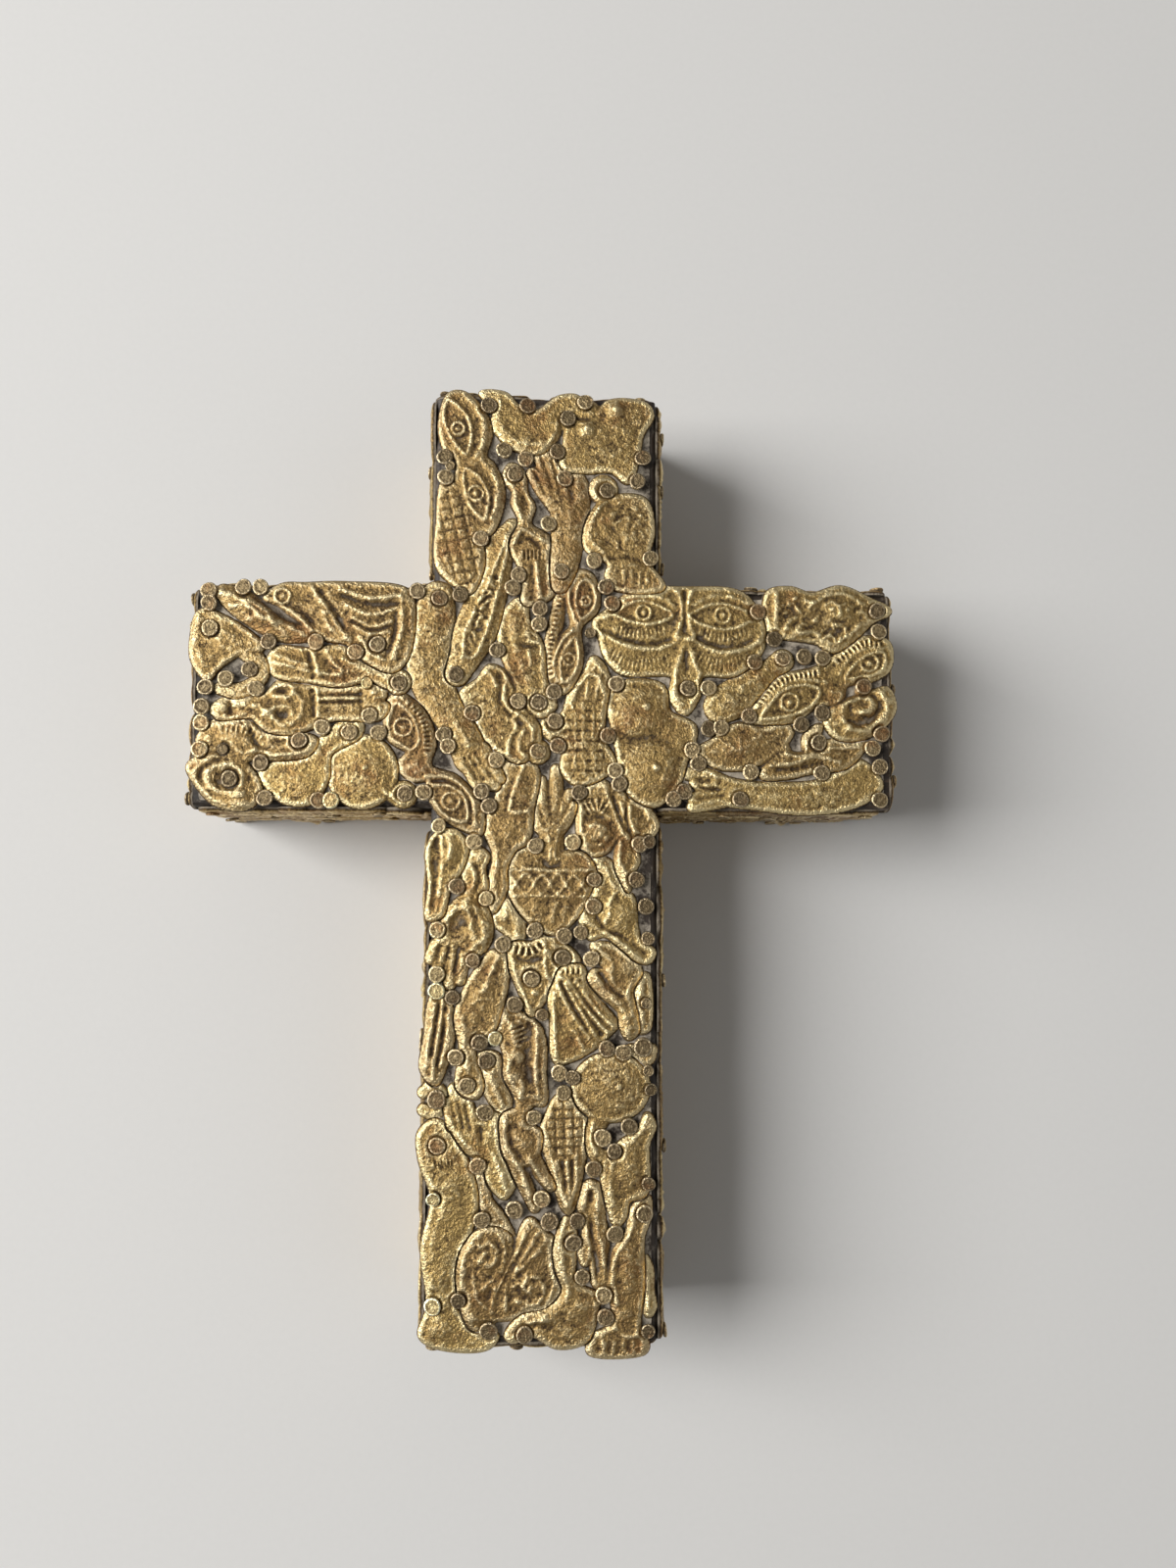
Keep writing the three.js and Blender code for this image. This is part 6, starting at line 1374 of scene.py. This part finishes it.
def settled_dust_group(name):
    """Pale waxy dust that has settled where a face lies lower than what is round it."""
    tree, given, result = new_group(
        name, {"Color": (0.5, 0.5, 0.5), "Dust": (0.5, 0.5, 0.5), "Amount": 1.0}, ("Color", "Mask"))
    patch = spots(tree, object_place(tree), scale=500, detail=4, roughness=0.7)
    lie = weighted(tree, -1.05, (patch, 1.6), (mark(tree, "stand"), -2.2))
    mask = math_node(tree, "MULTIPLY", step(tree, lie, 0, 0.9), given["Amount"], clamp=True)
    feed(tree, result["Color"], mixed(tree, mask, given["Color"], given["Dust"]))
    feed(tree, result["Mask"], mask)
    return tree


def shared(collection, name, make, *values, **more):
    """The item of a name, made when it is first asked for."""
    return collection.get(name) or make(name, *values, **more)


def place_group(tree, name, make, **values):
    made = node(tree, "ShaderNodeGroup", node_tree=shared(bpy.data.node_groups, name, make))
    for key, value in values.items():
        feed(tree, made.inputs[key], value)
    return made.outputs


def new_material(name):
    material = bpy.data.materials.new(name)
    material.use_nodes = True
    return material, material.node_tree, material.node_tree.nodes["Principled BSDF"]


def raised_by(tree, shader, height, strength, distance):
    """Lets a height change the surface's normal."""
    made = node(tree, "ShaderNodeBump")
    feed(tree, made.inputs["Strength"], strength)
    feed(tree, made.inputs["Distance"], distance)
    feed(tree, made.inputs["Height"], height)
    feed(tree, shader.inputs["Normal"], made.outputs["Normal"])


def metal_material(name, metal, bright, patina, stain, dust, rub=1.0, dirt=1.0, amount=0.6,
                   tone=0.13):
    material, tree, shader = new_material(name)
    aged = place_group(tree, "aged metal", aged_metal_group, Metal=metal, Bright=bright,
                       Patina=patina, Stain=stain, Rub=rub, Dirt=dirt, Tone=tone)
    settled = place_group(tree, "settled dust", settled_dust_group, Color=aged["Color"], Dust=dust,
                          Amount=amount)
    clean = weighted(tree, 1, (settled["Mask"], -0.9))
    feed(tree, shader.inputs["Base Color"], settled["Color"])
    feed(tree, shader.inputs["Roughness"],
         weighted(tree, aged["Roughness"], (settled["Mask"], 0.3)))
    feed(tree, shader.inputs["Metallic"], math_node(tree, "MULTIPLY", aged["Metallic"], clean))
    raised_by(tree, shader, aged["Height"], strength=0.9, distance=0.0004)
    return material


def wood_material(name, stretch, wood, worn, dust):
    """Stained wood with its grain along the longer side, rubbed through in places."""
    material, tree, shader = new_material(name)
    place = object_place(tree)
    mapping = node(tree, "ShaderNodeMapping")
    feed(tree, mapping.inputs["Vector"], place)
    mapping.inputs["Scale"].default_value = stretch
    grain = mapping.outputs["Vector"]
    fibre = spots(tree, grain, scale=1500, detail=4, roughness=0.7)
    rings = spots(tree, grain, scale=260, detail=3)
    patch = spots(tree, place, scale=60, detail=4)
    film = spots(tree, place, scale=700, detail=4, roughness=0.75)
    scuff = weighted(tree, 0, (patch, 0.6), (fibre, 0.5))
    dark = [0.55 * c for c in wood]
    color = mixed(tree, step(tree, rings, 0.35, 0.7), wood, dark)
    color = mixed(tree, step(tree, scuff, 0.58, 0.78), color, worn)
    color = mixed(tree, weighted(tree, 0, (step(tree, film, 0.52, 0.8), 0.5)), color, dust)
    feed(tree, shader.inputs["Base Color"], color)
    feed(tree, shader.inputs["Roughness"], weighted(tree, 0.45, (fibre, 0.3)))
    raised_by(tree, shader, fibre, strength=0.5, distance=0.00025)
    return material


def residue_material(name, residue, wood):
    """Waxy dust over dark wood."""
    material, tree, shader = new_material(name)
    place = object_place(tree)
    crumbs = spots(tree, place, scale=1900, detail=4, roughness=0.75)
    patch = spots(tree, place, scale=300, detail=4, roughness=0.65)
    lie = weighted(tree, -1.6, (patch, 2.2), (crumbs, 1.3), (mark(tree, "stand"), 0.45))
    feed(tree, shader.inputs["Base Color"], mixed(tree, step(tree, lie, 0, 0.75), wood, residue))
    feed(tree, shader.inputs["Roughness"], weighted(tree, 0.6, (crumbs, 0.3)))
    raised_by(tree, shader, crumbs, strength=0.7, distance=0.0003)
    return material


def charm_brass(scene):
    charms = scene.milagro_charms
    return shared(bpy.data.materials, "charm_brass", metal_material, charms.brass, charms.bright,
                  charms.patina, charms.stain, scene.milagro_boards.residue)


def nail_brass(scene):
    charms, nails = scene.milagro_charms, scene.milagro_nails
    return shared(bpy.data.materials, "nail_brass", metal_material, nails.color, nails.bright,
                  charms.patina, charms.stain, scene.milagro_boards.residue,
                  rub=0.9, dirt=0.9, amount=0.5, tone=0.5)


# Charms and nails of the front

SMALL_SEED = 71
NAIL_SEEDS = 40
CUT_REACH = 1
NAIL_SIDES = 22
NAIL_WOBBLE = ((2, 0.03), (3, 0.02))
NAIL_CROWN = 0.05
NAIL_TILT = 0.2
NAIL_RISE = 0.12
NAIL_TONES = 1.2

# Rings of a nail: share of the radius, height in head thicknesses, crest and stand. The crest and stand
# make the bevel lighter, partly as wear and partly as a painted highlight, and make the shank, the
# underside and the lower side of the head darker, partly as patina and partly as painted shade where the
# head meets the wood.
NAIL_RINGS = np.array([
    (0.36, -1, -0.1, -0.5),
    (0.36, -1, -0.1, -0.5),
    (0.93, -1, -0.08, -0.35),
    (1, -0.7, -0.03, -0.1),
    (1, -0.42, 0.03, 0.1),
    (0.95, -0.14, 0.12, 0.2),
    (0.84, 0, 0.08, 0.15),
    (0.7, -0.1, -0.07, 0.1),
    (0.3, -0.02, -0.01, 0.1),
    (0, 0, 0.01, 0.1),
])


def over_each_other(shape, other):
    (a, b), (c, d) = shape["box"], other["box"]
    return np.all(a < d + CUT_REACH) and np.all(b > c - CUT_REACH)


def charm_part(design, settings, seed, above=(), lift=0.0, place=None):
    """The solid of one charm, cut clear of the outlines that lie over it."""
    gap, spread = settings.gap / MM, settings.spread / MM
    pitch = settings.pitch / MM * 1
    shapes = design["outlines"]
    over = [other for other in above if any(over_each_other(shape, other) for shape in shapes)]

    def depth(p):
        inside = depth_of(shapes, p) + spread
        for other in over:
            near = close_to(p, other["box"], CUT_REACH)
            if near.any():
                outside = -other["depth"](p[near])[0] - spread - gap
                inside[near] = np.minimum(inside[near], outside)
        return inside

    def height(p):
        face = face_height(design, p, settings, seed) + lift
        return face if place else seated(p, face)

    low = np.min([shape["box"][0] for shape in shapes], axis=0) - spread
    high = np.max([shape["box"][1] for shape in shapes], axis=0) + spread
    points, faces, marks = closed_solid(*face_mesh(depth, height, low, high, pitch))
    points = place(points) if place else points + (0, 0, FRONT)
    return points, faces, marks, 2 * scatter(seed, 3) - 1


def make_front_charms(settings, material):
    numbered = [*enumerate(CHARMS.items(), 1), *enumerate(SMALL_CHARMS.items(), SMALL_SEED)]
    above = []
    for seed, (name, design) in numbered:
        part = charm_part(design, settings, seed, above)
        piece = add_piece(f"charm_{name}", [part], material)
        if name in CHARMS:
            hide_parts(name)
        above += design["outlines"]


def front_nails(area_name=None):
    """x, y, head radius and tone of the front nails, of one area or of all."""
    for name, nails in NAILS.items():
        if area_name in (None, name):
            for nail in nails:
                x, y, radius, tone = (*nail, None, None)[:4]
                yield x, y, radius or HEAD_RADIUS, tone


def nail_part(x, y, seed, settings, r, tone=None, place=None):
    """A nail's flat head with a worn round edge, a little askew, on its shank."""
    thick, top = settings.thickness / MM, settings.top / MM
    draw = scatter(seed, np.arange(6), 5)
    turn = angles(NAIL_SIDES)
    rim = r + r * sum(size * np.cos(waves * turn + 6 * draw[k])
                      for k, (waves, size) in enumerate(NAIL_WOBBLE))
    rings = [np.column_stack([share * rim * np.cos(turn), share * rim * np.sin(turn),
                              np.full(NAIL_SIDES, level * thick)])
             for share, level in NAIL_RINGS[:-1, :2]]
    points = np.vstack([*rings, (0, 0, NAIL_CROWN * (draw[2] - 0.3))])
    points[:, 2] += NAIL_TILT * points[:, :2] @ (draw[3:5] - 0.5)
    points += (x, y, top + NAIL_RISE * (draw[5] - 0.5))
    points[:NAIL_SIDES, 2] = 0
    sides = [(k, (k + 1) % NAIL_SIDES) for k in range(NAIL_SIDES)]
    middle = len(points) - 1
    last = middle - NAIL_SIDES
    faces = [[low + a, low + b, low + b + NAIL_SIDES, low + a + NAIL_SIDES]
             for low in range(0, last, NAIL_SIDES) for a, b in sides]
    faces += [[last + a, last + b, middle] for a, b in sides]
    faces.append([a for a, _ in reversed(sides)])
    marks = np.repeat(NAIL_RINGS[:, 2:], [NAIL_SIDES] * len(rings) + [1], axis=0)
    points = place(points) if place else points + (0, 0, FRONT)
    return points, faces, marks, NAIL_TONES * (draw[1] - 0.5) if tone is None else tone


def make_front_nails(settings, material):
    for number, name in enumerate(NAILS):
        parts = [nail_part(x, y, NAIL_SEEDS * number + k + 1, settings, radius, tone)
                 for k, (x, y, radius, tone) in enumerate(front_nails(name))]
        add_piece(f"nails_{name}", parts, material)


# Charms of the side faces

MID_DEPTH = FRONT / 2
SIDE_MARGIN = 0.5
CORNER_ROOM = 3
SIDE_OVERLAP = 1
SIDE_LIFT = 0.12
ROW_SEED = 100
ROW_SEEDS = 10
ROW_NAIL_SEED = 300
ROW_NAIL_SEEDS = 20
RIGHT = (1, 0, 0)
LEFT = (-1, 0, 0)
UP = (0, 1, 0)
DOWN = (0, -1, 0)


def side_faces():
    """Per side face its length, the charm that its row starts with, its first corner in the
    middle of the board's thickness, the direction along it and the direction out of it."""
    upper = POST_END - BEAM_HIGH - CORNER_ROOM
    lower = BEAM_LOW + POST_END - CORNER_ROOM
    arm = BEAM_HALF - POST_HALF
    beam_wide = BEAM_HIGH - BEAM_LOW
    post_wide = 2 * POST_HALF
    above_beam = BEAM_HIGH + CORNER_ROOM
    below_beam = BEAM_LOW - CORNER_ROOM
    return {
        "post_upper_right": (upper, "flaming_heart", (POST_HALF, above_beam), UP, RIGHT),
        "post_upper_left": (upper, "bearded_bust", (-POST_HALF, POST_END), DOWN, LEFT),
        "post_lower_right": (lower, "breast_disc_left", (POST_HALF, -POST_END), UP, RIGHT),
        "post_lower_left": (lower, "limb_left", (-POST_HALF, below_beam), DOWN, LEFT),
        "beam_end_right": (beam_wide, "leaf", (BEAM_HALF, BEAM_LOW), UP, RIGHT),
        "beam_end_left": (beam_wide, "corn_cob_lower", (-BEAM_HALF, BEAM_HIGH), DOWN, LEFT),
        "post_end_top": (post_wide, "stomach", (POST_HALF, POST_END), LEFT, UP),
        "post_end_bottom": (post_wide, "flaming_heart", (-POST_HALF, -POST_END), RIGHT, DOWN),
        "beam_top_right": (arm, "breast_disc_left", (BEAM_HALF, BEAM_HIGH), LEFT, UP),
        "beam_top_left": (arm, "flaming_heart", (-POST_HALF, BEAM_HIGH), LEFT, UP),
        "beam_bottom_right": (arm, "bearded_bust", (POST_HALF, BEAM_LOW), RIGHT, DOWN),
        "beam_bottom_left": (arm, "stomach", (-BEAM_HALF, BEAM_LOW), RIGHT, DOWN),
    }


def face_map(corner, along, out):
    """Maps u along a side face, v through the board's thickness and w out of the face to x,
    y and z."""
    def place(q):
        return (*corner, MID_DEPTH) + q @ np.array([along, (0, 0, 1), out], float)

    return place


def row_rim(name):
    """The first outline of a charm, turned for a row and with its middle at the origin."""
    shape = CHARMS[name]["outlines"][0]
    return turned(shape["rim"] - np.mean(shape["box"], axis=0), ROW_TURNS[name])


def row_places(length, start):
    """The charms of one row, each with its middle's u and v, and the nails between them."""
    names = list(ROW_TURNS)
    k = names.index(start)
    places, nails = [], []
    end_u, end_v = SIDE_MARGIN, 0.0
    while True:
        ahead = [names[(k + j) % len(names)] for j in range(len(names))]
        room = length - SIDE_MARGIN - end_u
        name = next((name for name in ahead if np.ptp(row_rim(name)[:, 0]) <= room), None)
        if not name:
            return places, nails
        rim = row_rim(name)
        first, last = rim[rim[:, 0].argmin()], rim[rim[:, 0].argmax()]
        play = max(0, MID_DEPTH - SIDE_MARGIN - np.abs(rim[:, 1]).max())
        u = end_u - first[0] - (SIDE_OVERLAP if places else 0)
        v = min(play, max(-play, end_v - first[1]))
        if places:
            nails.append((u + first[0] + SIDE_OVERLAP / 2, v + first[1]))
        places.append((name, u, v))
        end_u, end_v = u + last[0], v + last[1]
        k += 1


def row_part(name, u, v, settings, seed, lift, place):
    """The solid of a row's charm, which is the first outline of a front charm."""
    design = {**CHARMS[name], "outlines": CHARMS[name]["outlines"][:1]}
    middle = np.mean(design["outlines"][0]["box"], axis=0)

    def laid(q):
        return place(np.column_stack([turned(q[:, :2] - middle, ROW_TURNS[name]) + (u, v), q[:, 2]]))

    return charm_part(design, settings, seed, lift=lift, place=laid)


def make_side_charms(settings, nail_settings, material, nail_material):
    for index, (name, (length, start, corner, along, out)) in enumerate(side_faces().items()):
        place = face_map(corner, along, out)
        places, nails = row_places(length, start)
        seed = ROW_SEED + ROW_SEEDS * index
        parts = [row_part(*item, settings, seed + k, SIDE_LIFT * (k % 2), place)
                 for k, item in enumerate(places)]
        piece = add_piece(f"row_{name}", parts, material)
        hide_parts(f"side_{name}")
        seed = ROW_NAIL_SEED + ROW_NAIL_SEEDS * index
        heads = [nail_part(u, v, seed + k, nail_settings, HEAD_RADIUS, place=place)
                 for k, (u, v) in enumerate(nails)]
        add_piece(f"nails_{name}", heads, nail_material)
        shapes = [plate(*(row_rim(charm_name) + (u, v))[::4]) for charm_name, u, v in places]
        fillers = fill_shapes(shapes, length)
        seed = FILL_SEED + FILL_SEEDS * index
        parts = [charm_part(charm(shape, filler_relief(k, stations)), settings, seed + k, place=place)
                 for k, (shape, stations) in enumerate(fillers)]
        add_piece(f"fill_{name}", parts, material)
        heads = [filler_nail(stations[0], seed + FILL_NAIL_SEED + k, nail_settings, place)
                 for k, (_, stations) in enumerate(fillers) if stations[0][2] > FILL_NAILED]
        if heads:
            add_piece(f"fill_nails_{name}", heads, nail_material)


# Small charms in the room left on the side faces

ALL_ROUND = np.arange(0, 360, 15)
AHEAD = np.arange(-45, 46, 15)
FILL_GRID = 0.5
FILL_GAP = 0.3
FILL_START = 0.8
FILL_MOST = 60
FILL_STEPS = 6
FILL_STEP = 1.3
FILL_LEAST = 0.55
FILL_RADIUS = 2.2
FILL_TAPER = 0.75
FILL_NAILED = 0.5
FILL_HEAD = 1.1
FILL_HEAD_MARGIN = 1.4
FILL_BOSS = 0.2
FILL_RIBS = 0.1
FILL_RIB_REACH = 0.8
FILL_RIB_SPACING = 0.9
FILL_LINE_WIDTH = 0.35
FILL_LINE = 0.22
FILL_GROOVE = -0.18
FILL_SEED = 500
FILL_SEEDS = 100
FILL_NAIL_SEED = 50


def room_left(shapes, p, length):
    """Free distance on a side face: to its edges and to the shapes already on it."""
    u, v = p.T
    room = np.minimum(np.minimum(u, length - u), MID_DEPTH - np.abs(v))
    return np.minimum(room, -depth_of(shapes, p)) - FILL_GAP


def fill_way(start, room, shapes, length):
    """A line both ways from a place, that winds to where the most room is."""
    way = [(*start, room)]
    turn = first = None
    for end in (0, 1):
        at = start
        for _ in range(FILL_STEPS):
            turns = np.radians(ALL_ROUND if turn is None else turn + AHEAD)
            ahead = at + FILL_STEP * np.column_stack([np.cos(turns), np.sin(turns)])
            free = room_left(shapes, ahead, length)
            pick = free.argmax()
            if free[pick] < FILL_LEAST:
                break
            turn = math.degrees(turns[pick])
            first = turn if first is None else first
            at = ahead[pick]
            way.insert(0 if end else len(way), (*at, free[pick]))
        turn = (first or 0) + 180
    return way


def fill_shapes(shapes, length):
    """Long narrow charms that wind through the room left on a side face."""
    u, v = np.meshgrid(np.arange(FILL_GRID, length, FILL_GRID),
                       np.arange(FILL_GRID - MID_DEPTH, MID_DEPTH, FILL_GRID))
    p = np.column_stack([u.ravel(), v.ravel()])
    room = room_left(shapes, p, length)
    made = []
    while room.max() > FILL_START and len(made) < FILL_MOST:
        way = fill_way(p[room.argmax()], room.max(), shapes, length)
        ends = (0, len(way) - 1)
        stations = [(x, y, min(r, FILL_RADIUS) * (FILL_TAPER if k in ends else 1))
                    for k, (x, y, r) in enumerate(way)]
        shape = limb(*stations)
        made.append((shape, stations))
        shapes = [*shapes, shape]
        room = np.minimum(room, -shape["depth"](p)[0] - FILL_GAP)
    return made


def filler_relief(k, stations):
    """A boss on the shortest, on the others a ribbed back, a raised line or a groove."""
    middle = [(x, y) for x, y, _ in stations]
    if len(stations) < 3:
        return bump(*middle[0], 0.7 * stations[0][2], FILL_BOSS)
    if k % 3 == 0 and len(stations) > 5:
        return lashes(FILL_RIB_REACH, FILL_RIB_SPACING, FILL_RIBS, *middle)
    return line(FILL_LINE_WIDTH, FILL_LINE if k % 3 == 1 else FILL_GROOVE, *middle[1:])


def filler_nail(station, seed, settings, place):
    x, y, _ = station
    most = MID_DEPTH - FILL_HEAD_MARGIN
    return nail_part(x, min(max(y, -most), most), seed, settings, FILL_HEAD, place=place)


# Boards and dust

DUST_PITCH = 0.4
DUST_INSET = 1
DUST_REACH = 1.3
DUST_FLOOR = 0.05
DUST_LUMPS = 0.06
DUST_BANK = 0.5
LUMP_WIDTH = 0.8
GRAIN_STRETCH = 0.08
IRON = (0.2, 0.19, 0.18)
IRON_BRIGHT = (0.45, 0.44, 0.42)
IRON_DARK = (0.06, 0.03, 0.02)
IRON_RUST = (0.16, 0.07, 0.03)


def make_residue(material):
    """The waxy dust on the front wood, thickest against the charms' edges."""
    shapes = [shape for design in [*CHARMS.values(), *SMALL_CHARMS.values()]
              for shape in design["outlines"]]

    def depth(p):
        x, y = p.T
        post = np.minimum(POST_HALF - np.abs(x), POST_END - np.abs(y))
        beam = np.minimum(BEAM_HALF - np.abs(x), np.minimum(y - BEAM_LOW, BEAM_HIGH - y))
        return np.maximum(post, beam) - DUST_INSET

    def closeness(p):
        return smooth(DUST_REACH + depth_of(shapes, p) / DUST_REACH)

    def height(p):
        lumps = 0.5 + 0.5 * noise(p / LUMP_WIDTH, 7)
        return DUST_FLOOR + (DUST_LUMPS + DUST_BANK * closeness(p) ** 2) * lumps

    size = np.array([BEAM_HALF, POST_END])
    pitch = DUST_PITCH * 1
    points, faces, marks = face_mesh(depth, height, -size, size, pitch)
    marks[:, 1] = closeness(points[:, :2])
    points, faces, marks = closed_solid(points, faces, marks)
    add_piece("residue_front", [(points + (0, 0, FRONT), faces, marks, 0.0)], material)


def cover(name, material):
    """Gives one of the modelled boards or back nails its material."""
    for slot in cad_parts[name].material_slots:
        slot.material = material


def dress_boards(settings):
    for name, stretch in (("post", (1, GRAIN_STRETCH, 1)), ("beam", (GRAIN_STRETCH, 1, 1))):
        cover(name, wood_material(f"{name}_wood", stretch, settings.wood, settings.worn,
                                  settings.residue))
    # The old iron uses the same group: IRON_BRIGHT on raised parts is partly wear and partly a painted
    # highlight, and IRON_DARK in hollows is partly patina and partly painted shade.
    iron = metal_material("old_iron", IRON, IRON_BRIGHT, IRON_DARK, IRON_RUST, settings.residue,
                          amount=0.3)
    cover("lap_nail_lower", iron)
    cover("lap_nail_upper", iron)


# Stage

FLOOR_REACH = 3
CAMERA_PLACE = Vector((1.9666, -3.4971, 204.4263)) * MM
CAMERA_TURNS = {"Z": 0.2718, "X": 4.6930, "Y": -1.6224}
RIGHT_LAMP_SHARE = 0.05
SKY = (1, 0.985, 0.96, 1)
SKY_STRENGTH = 0.18


def add_lamp(name, power, size, place):
    """A soft rectangular lamp that shines at the middle of the cross."""
    lamp = bpy.data.lights.new(name, "AREA")
    lamp.energy = power
    lamp.shape = "RECTANGLE"
    lamp.size, lamp.size_y = size
    made = bpy.data.objects.new(name, lamp)
    made.location = place
    made.rotation_euler = (-Vector(place)).to_track_quat("-Z", "Y").to_euler()
    bpy.context.scene.collection.objects.link(made)


def add_floor(color):
    material, tree, shader = new_material("floor_paper")
    pulp = spots(tree, object_place(tree), scale=900, detail=3)
    dark = [0.96 * c for c in color]
    feed(tree, shader.inputs["Base Color"], mixed(tree, pulp, color, dark))
    shader.inputs["Roughness"].default_value = 0.9
    mesh = bpy.data.meshes.new("floor")
    corners = [(x * FLOOR_REACH, y * FLOOR_REACH, 0) for x, y in ((-1, -1), (1, -1), (1, 1), (-1, 1))]
    mesh.from_pydata(corners, [], [(0, 1, 2, 3)])
    mesh.materials.append(material)
    floor = bpy.data.objects.new("floor", mesh)
    bpy.context.scene.collection.objects.link(floor)


def make_stage(settings):
    scene = bpy.context.scene
    scene.view_settings.view_transform = "Standard"
    add_floor(settings.floor)

    camera_data = bpy.data.cameras.new("camera")
    camera_data.lens = settings.lens
    camera_data.sensor_width = 36
    camera_data.sensor_fit = "AUTO"
    camera_data.clip_start = 0.005
    camera = bpy.data.objects.new("camera", camera_data)
    stand = Matrix.Translation(CAMERA_PLACE)
    for axis, degrees in CAMERA_TURNS.items():
        stand = stand @ Matrix.Rotation(math.radians(degrees), 4, axis)
    camera.matrix_world = stand
    scene.collection.objects.link(camera)
    scene.camera = camera

    add_lamp("key_left", settings.key, size=(0.8, 1.0), place=(-1.1, 0.2, 0.92))
    add_lamp("fill_right", RIGHT_LAMP_SHARE * settings.key, size=(0.8, 0.8), place=(1.1, -0.2, 0.9))

    world = bpy.data.worlds.new("studio")
    scene.world = world
    world.use_nodes = True
    background = world.node_tree.nodes["Background"]
    background.inputs["Color"].default_value = SKY
    background.inputs["Strength"].default_value = SKY_STRENGTH


# Operators, one for each group of pieces


class MILAGRO_OT_front_charms(bpy.types.Operator):
    """Builds the charms of the front"""
    bl_idname = "milagro.front_charms"
    bl_label = "Front charms"

    def execute(self, context):
        make_front_charms(context.scene.milagro_charms, charm_brass(context.scene))
        return {"FINISHED"}


class MILAGRO_OT_nails(bpy.types.Operator):
    """Drives the flat-headed nails of the front"""
    bl_idname = "milagro.nails"
    bl_label = "Front nails"

    def execute(self, context):
        make_front_nails(context.scene.milagro_nails, nail_brass(context.scene))
        return {"FINISHED"}


class MILAGRO_OT_side_charms(bpy.types.Operator):
    """Builds the rows of charms and nails on the side faces"""
    bl_idname = "milagro.side_charms"
    bl_label = "Side charms"

    def execute(self, context):
        scene = context.scene
        make_side_charms(scene.milagro_charms, scene.milagro_nails, charm_brass(scene),
                         nail_brass(scene))
        return {"FINISHED"}


class MILAGRO_OT_boards(bpy.types.Operator):
    """Finishes the boards and lays the waxy dust on their front"""
    bl_idname = "milagro.boards"
    bl_label = "Boards and dust"

    def execute(self, context):
        boards = context.scene.milagro_boards
        dress_boards(boards)
        make_residue(residue_material("waxy_dust", boards.residue, boards.wood))
        return {"FINISHED"}


class MILAGRO_OT_stage(bpy.types.Operator):
    """Sets the floor, the lamps and the camera"""
    bl_idname = "milagro.stage"
    bl_label = "Stage"

    def execute(self, context):
        make_stage(context.scene.milagro_stage)
        return {"FINISHED"}


class MILAGRO_PT_panel(bpy.types.Panel):
    """The sidebar panel"""
    bl_idname = "MILAGRO_PT_panel"
    bl_label = "Milagro cross"
    bl_space_type = "VIEW_3D"
    bl_region_type = "UI"
    bl_category = "Milagro cross"

    def draw(self, context):
        for operator in OPERATORS:
            self.layout.operator(operator.bl_idname)
        for name, kind in SETTINGS.items():
            for key in kind.__annotations__:
                self.layout.prop(getattr(context.scene, name), key)


SETTINGS = {
    "milagro_charms": CharmSettings,
    "milagro_nails": NailSettings,
    "milagro_boards": BoardSettings,
    "milagro_stage": StageSettings,
}
OPERATORS = (MILAGRO_OT_boards, MILAGRO_OT_front_charms, MILAGRO_OT_nails,
             MILAGRO_OT_side_charms, MILAGRO_OT_stage)
CLASSES = (*SETTINGS.values(), *OPERATORS, MILAGRO_PT_panel)


def register():
    for item in CLASSES:
        bpy.utils.register_class(item)
    for name, kind in SETTINGS.items():
        setattr(bpy.types.Scene, name, bpy.props.PointerProperty(type=kind))


def unregister():
    for name in SETTINGS:
        delattr(bpy.types.Scene, name)
    for item in reversed(CLASSES):
        bpy.utils.unregister_class(item)


def main():
    register()
    bpy.ops.milagro.boards()
    bpy.ops.milagro.front_charms()
    bpy.ops.milagro.nails()
    bpy.ops.milagro.side_charms()
    bpy.ops.milagro.stage()


if __name__ == "__main__":
    main()
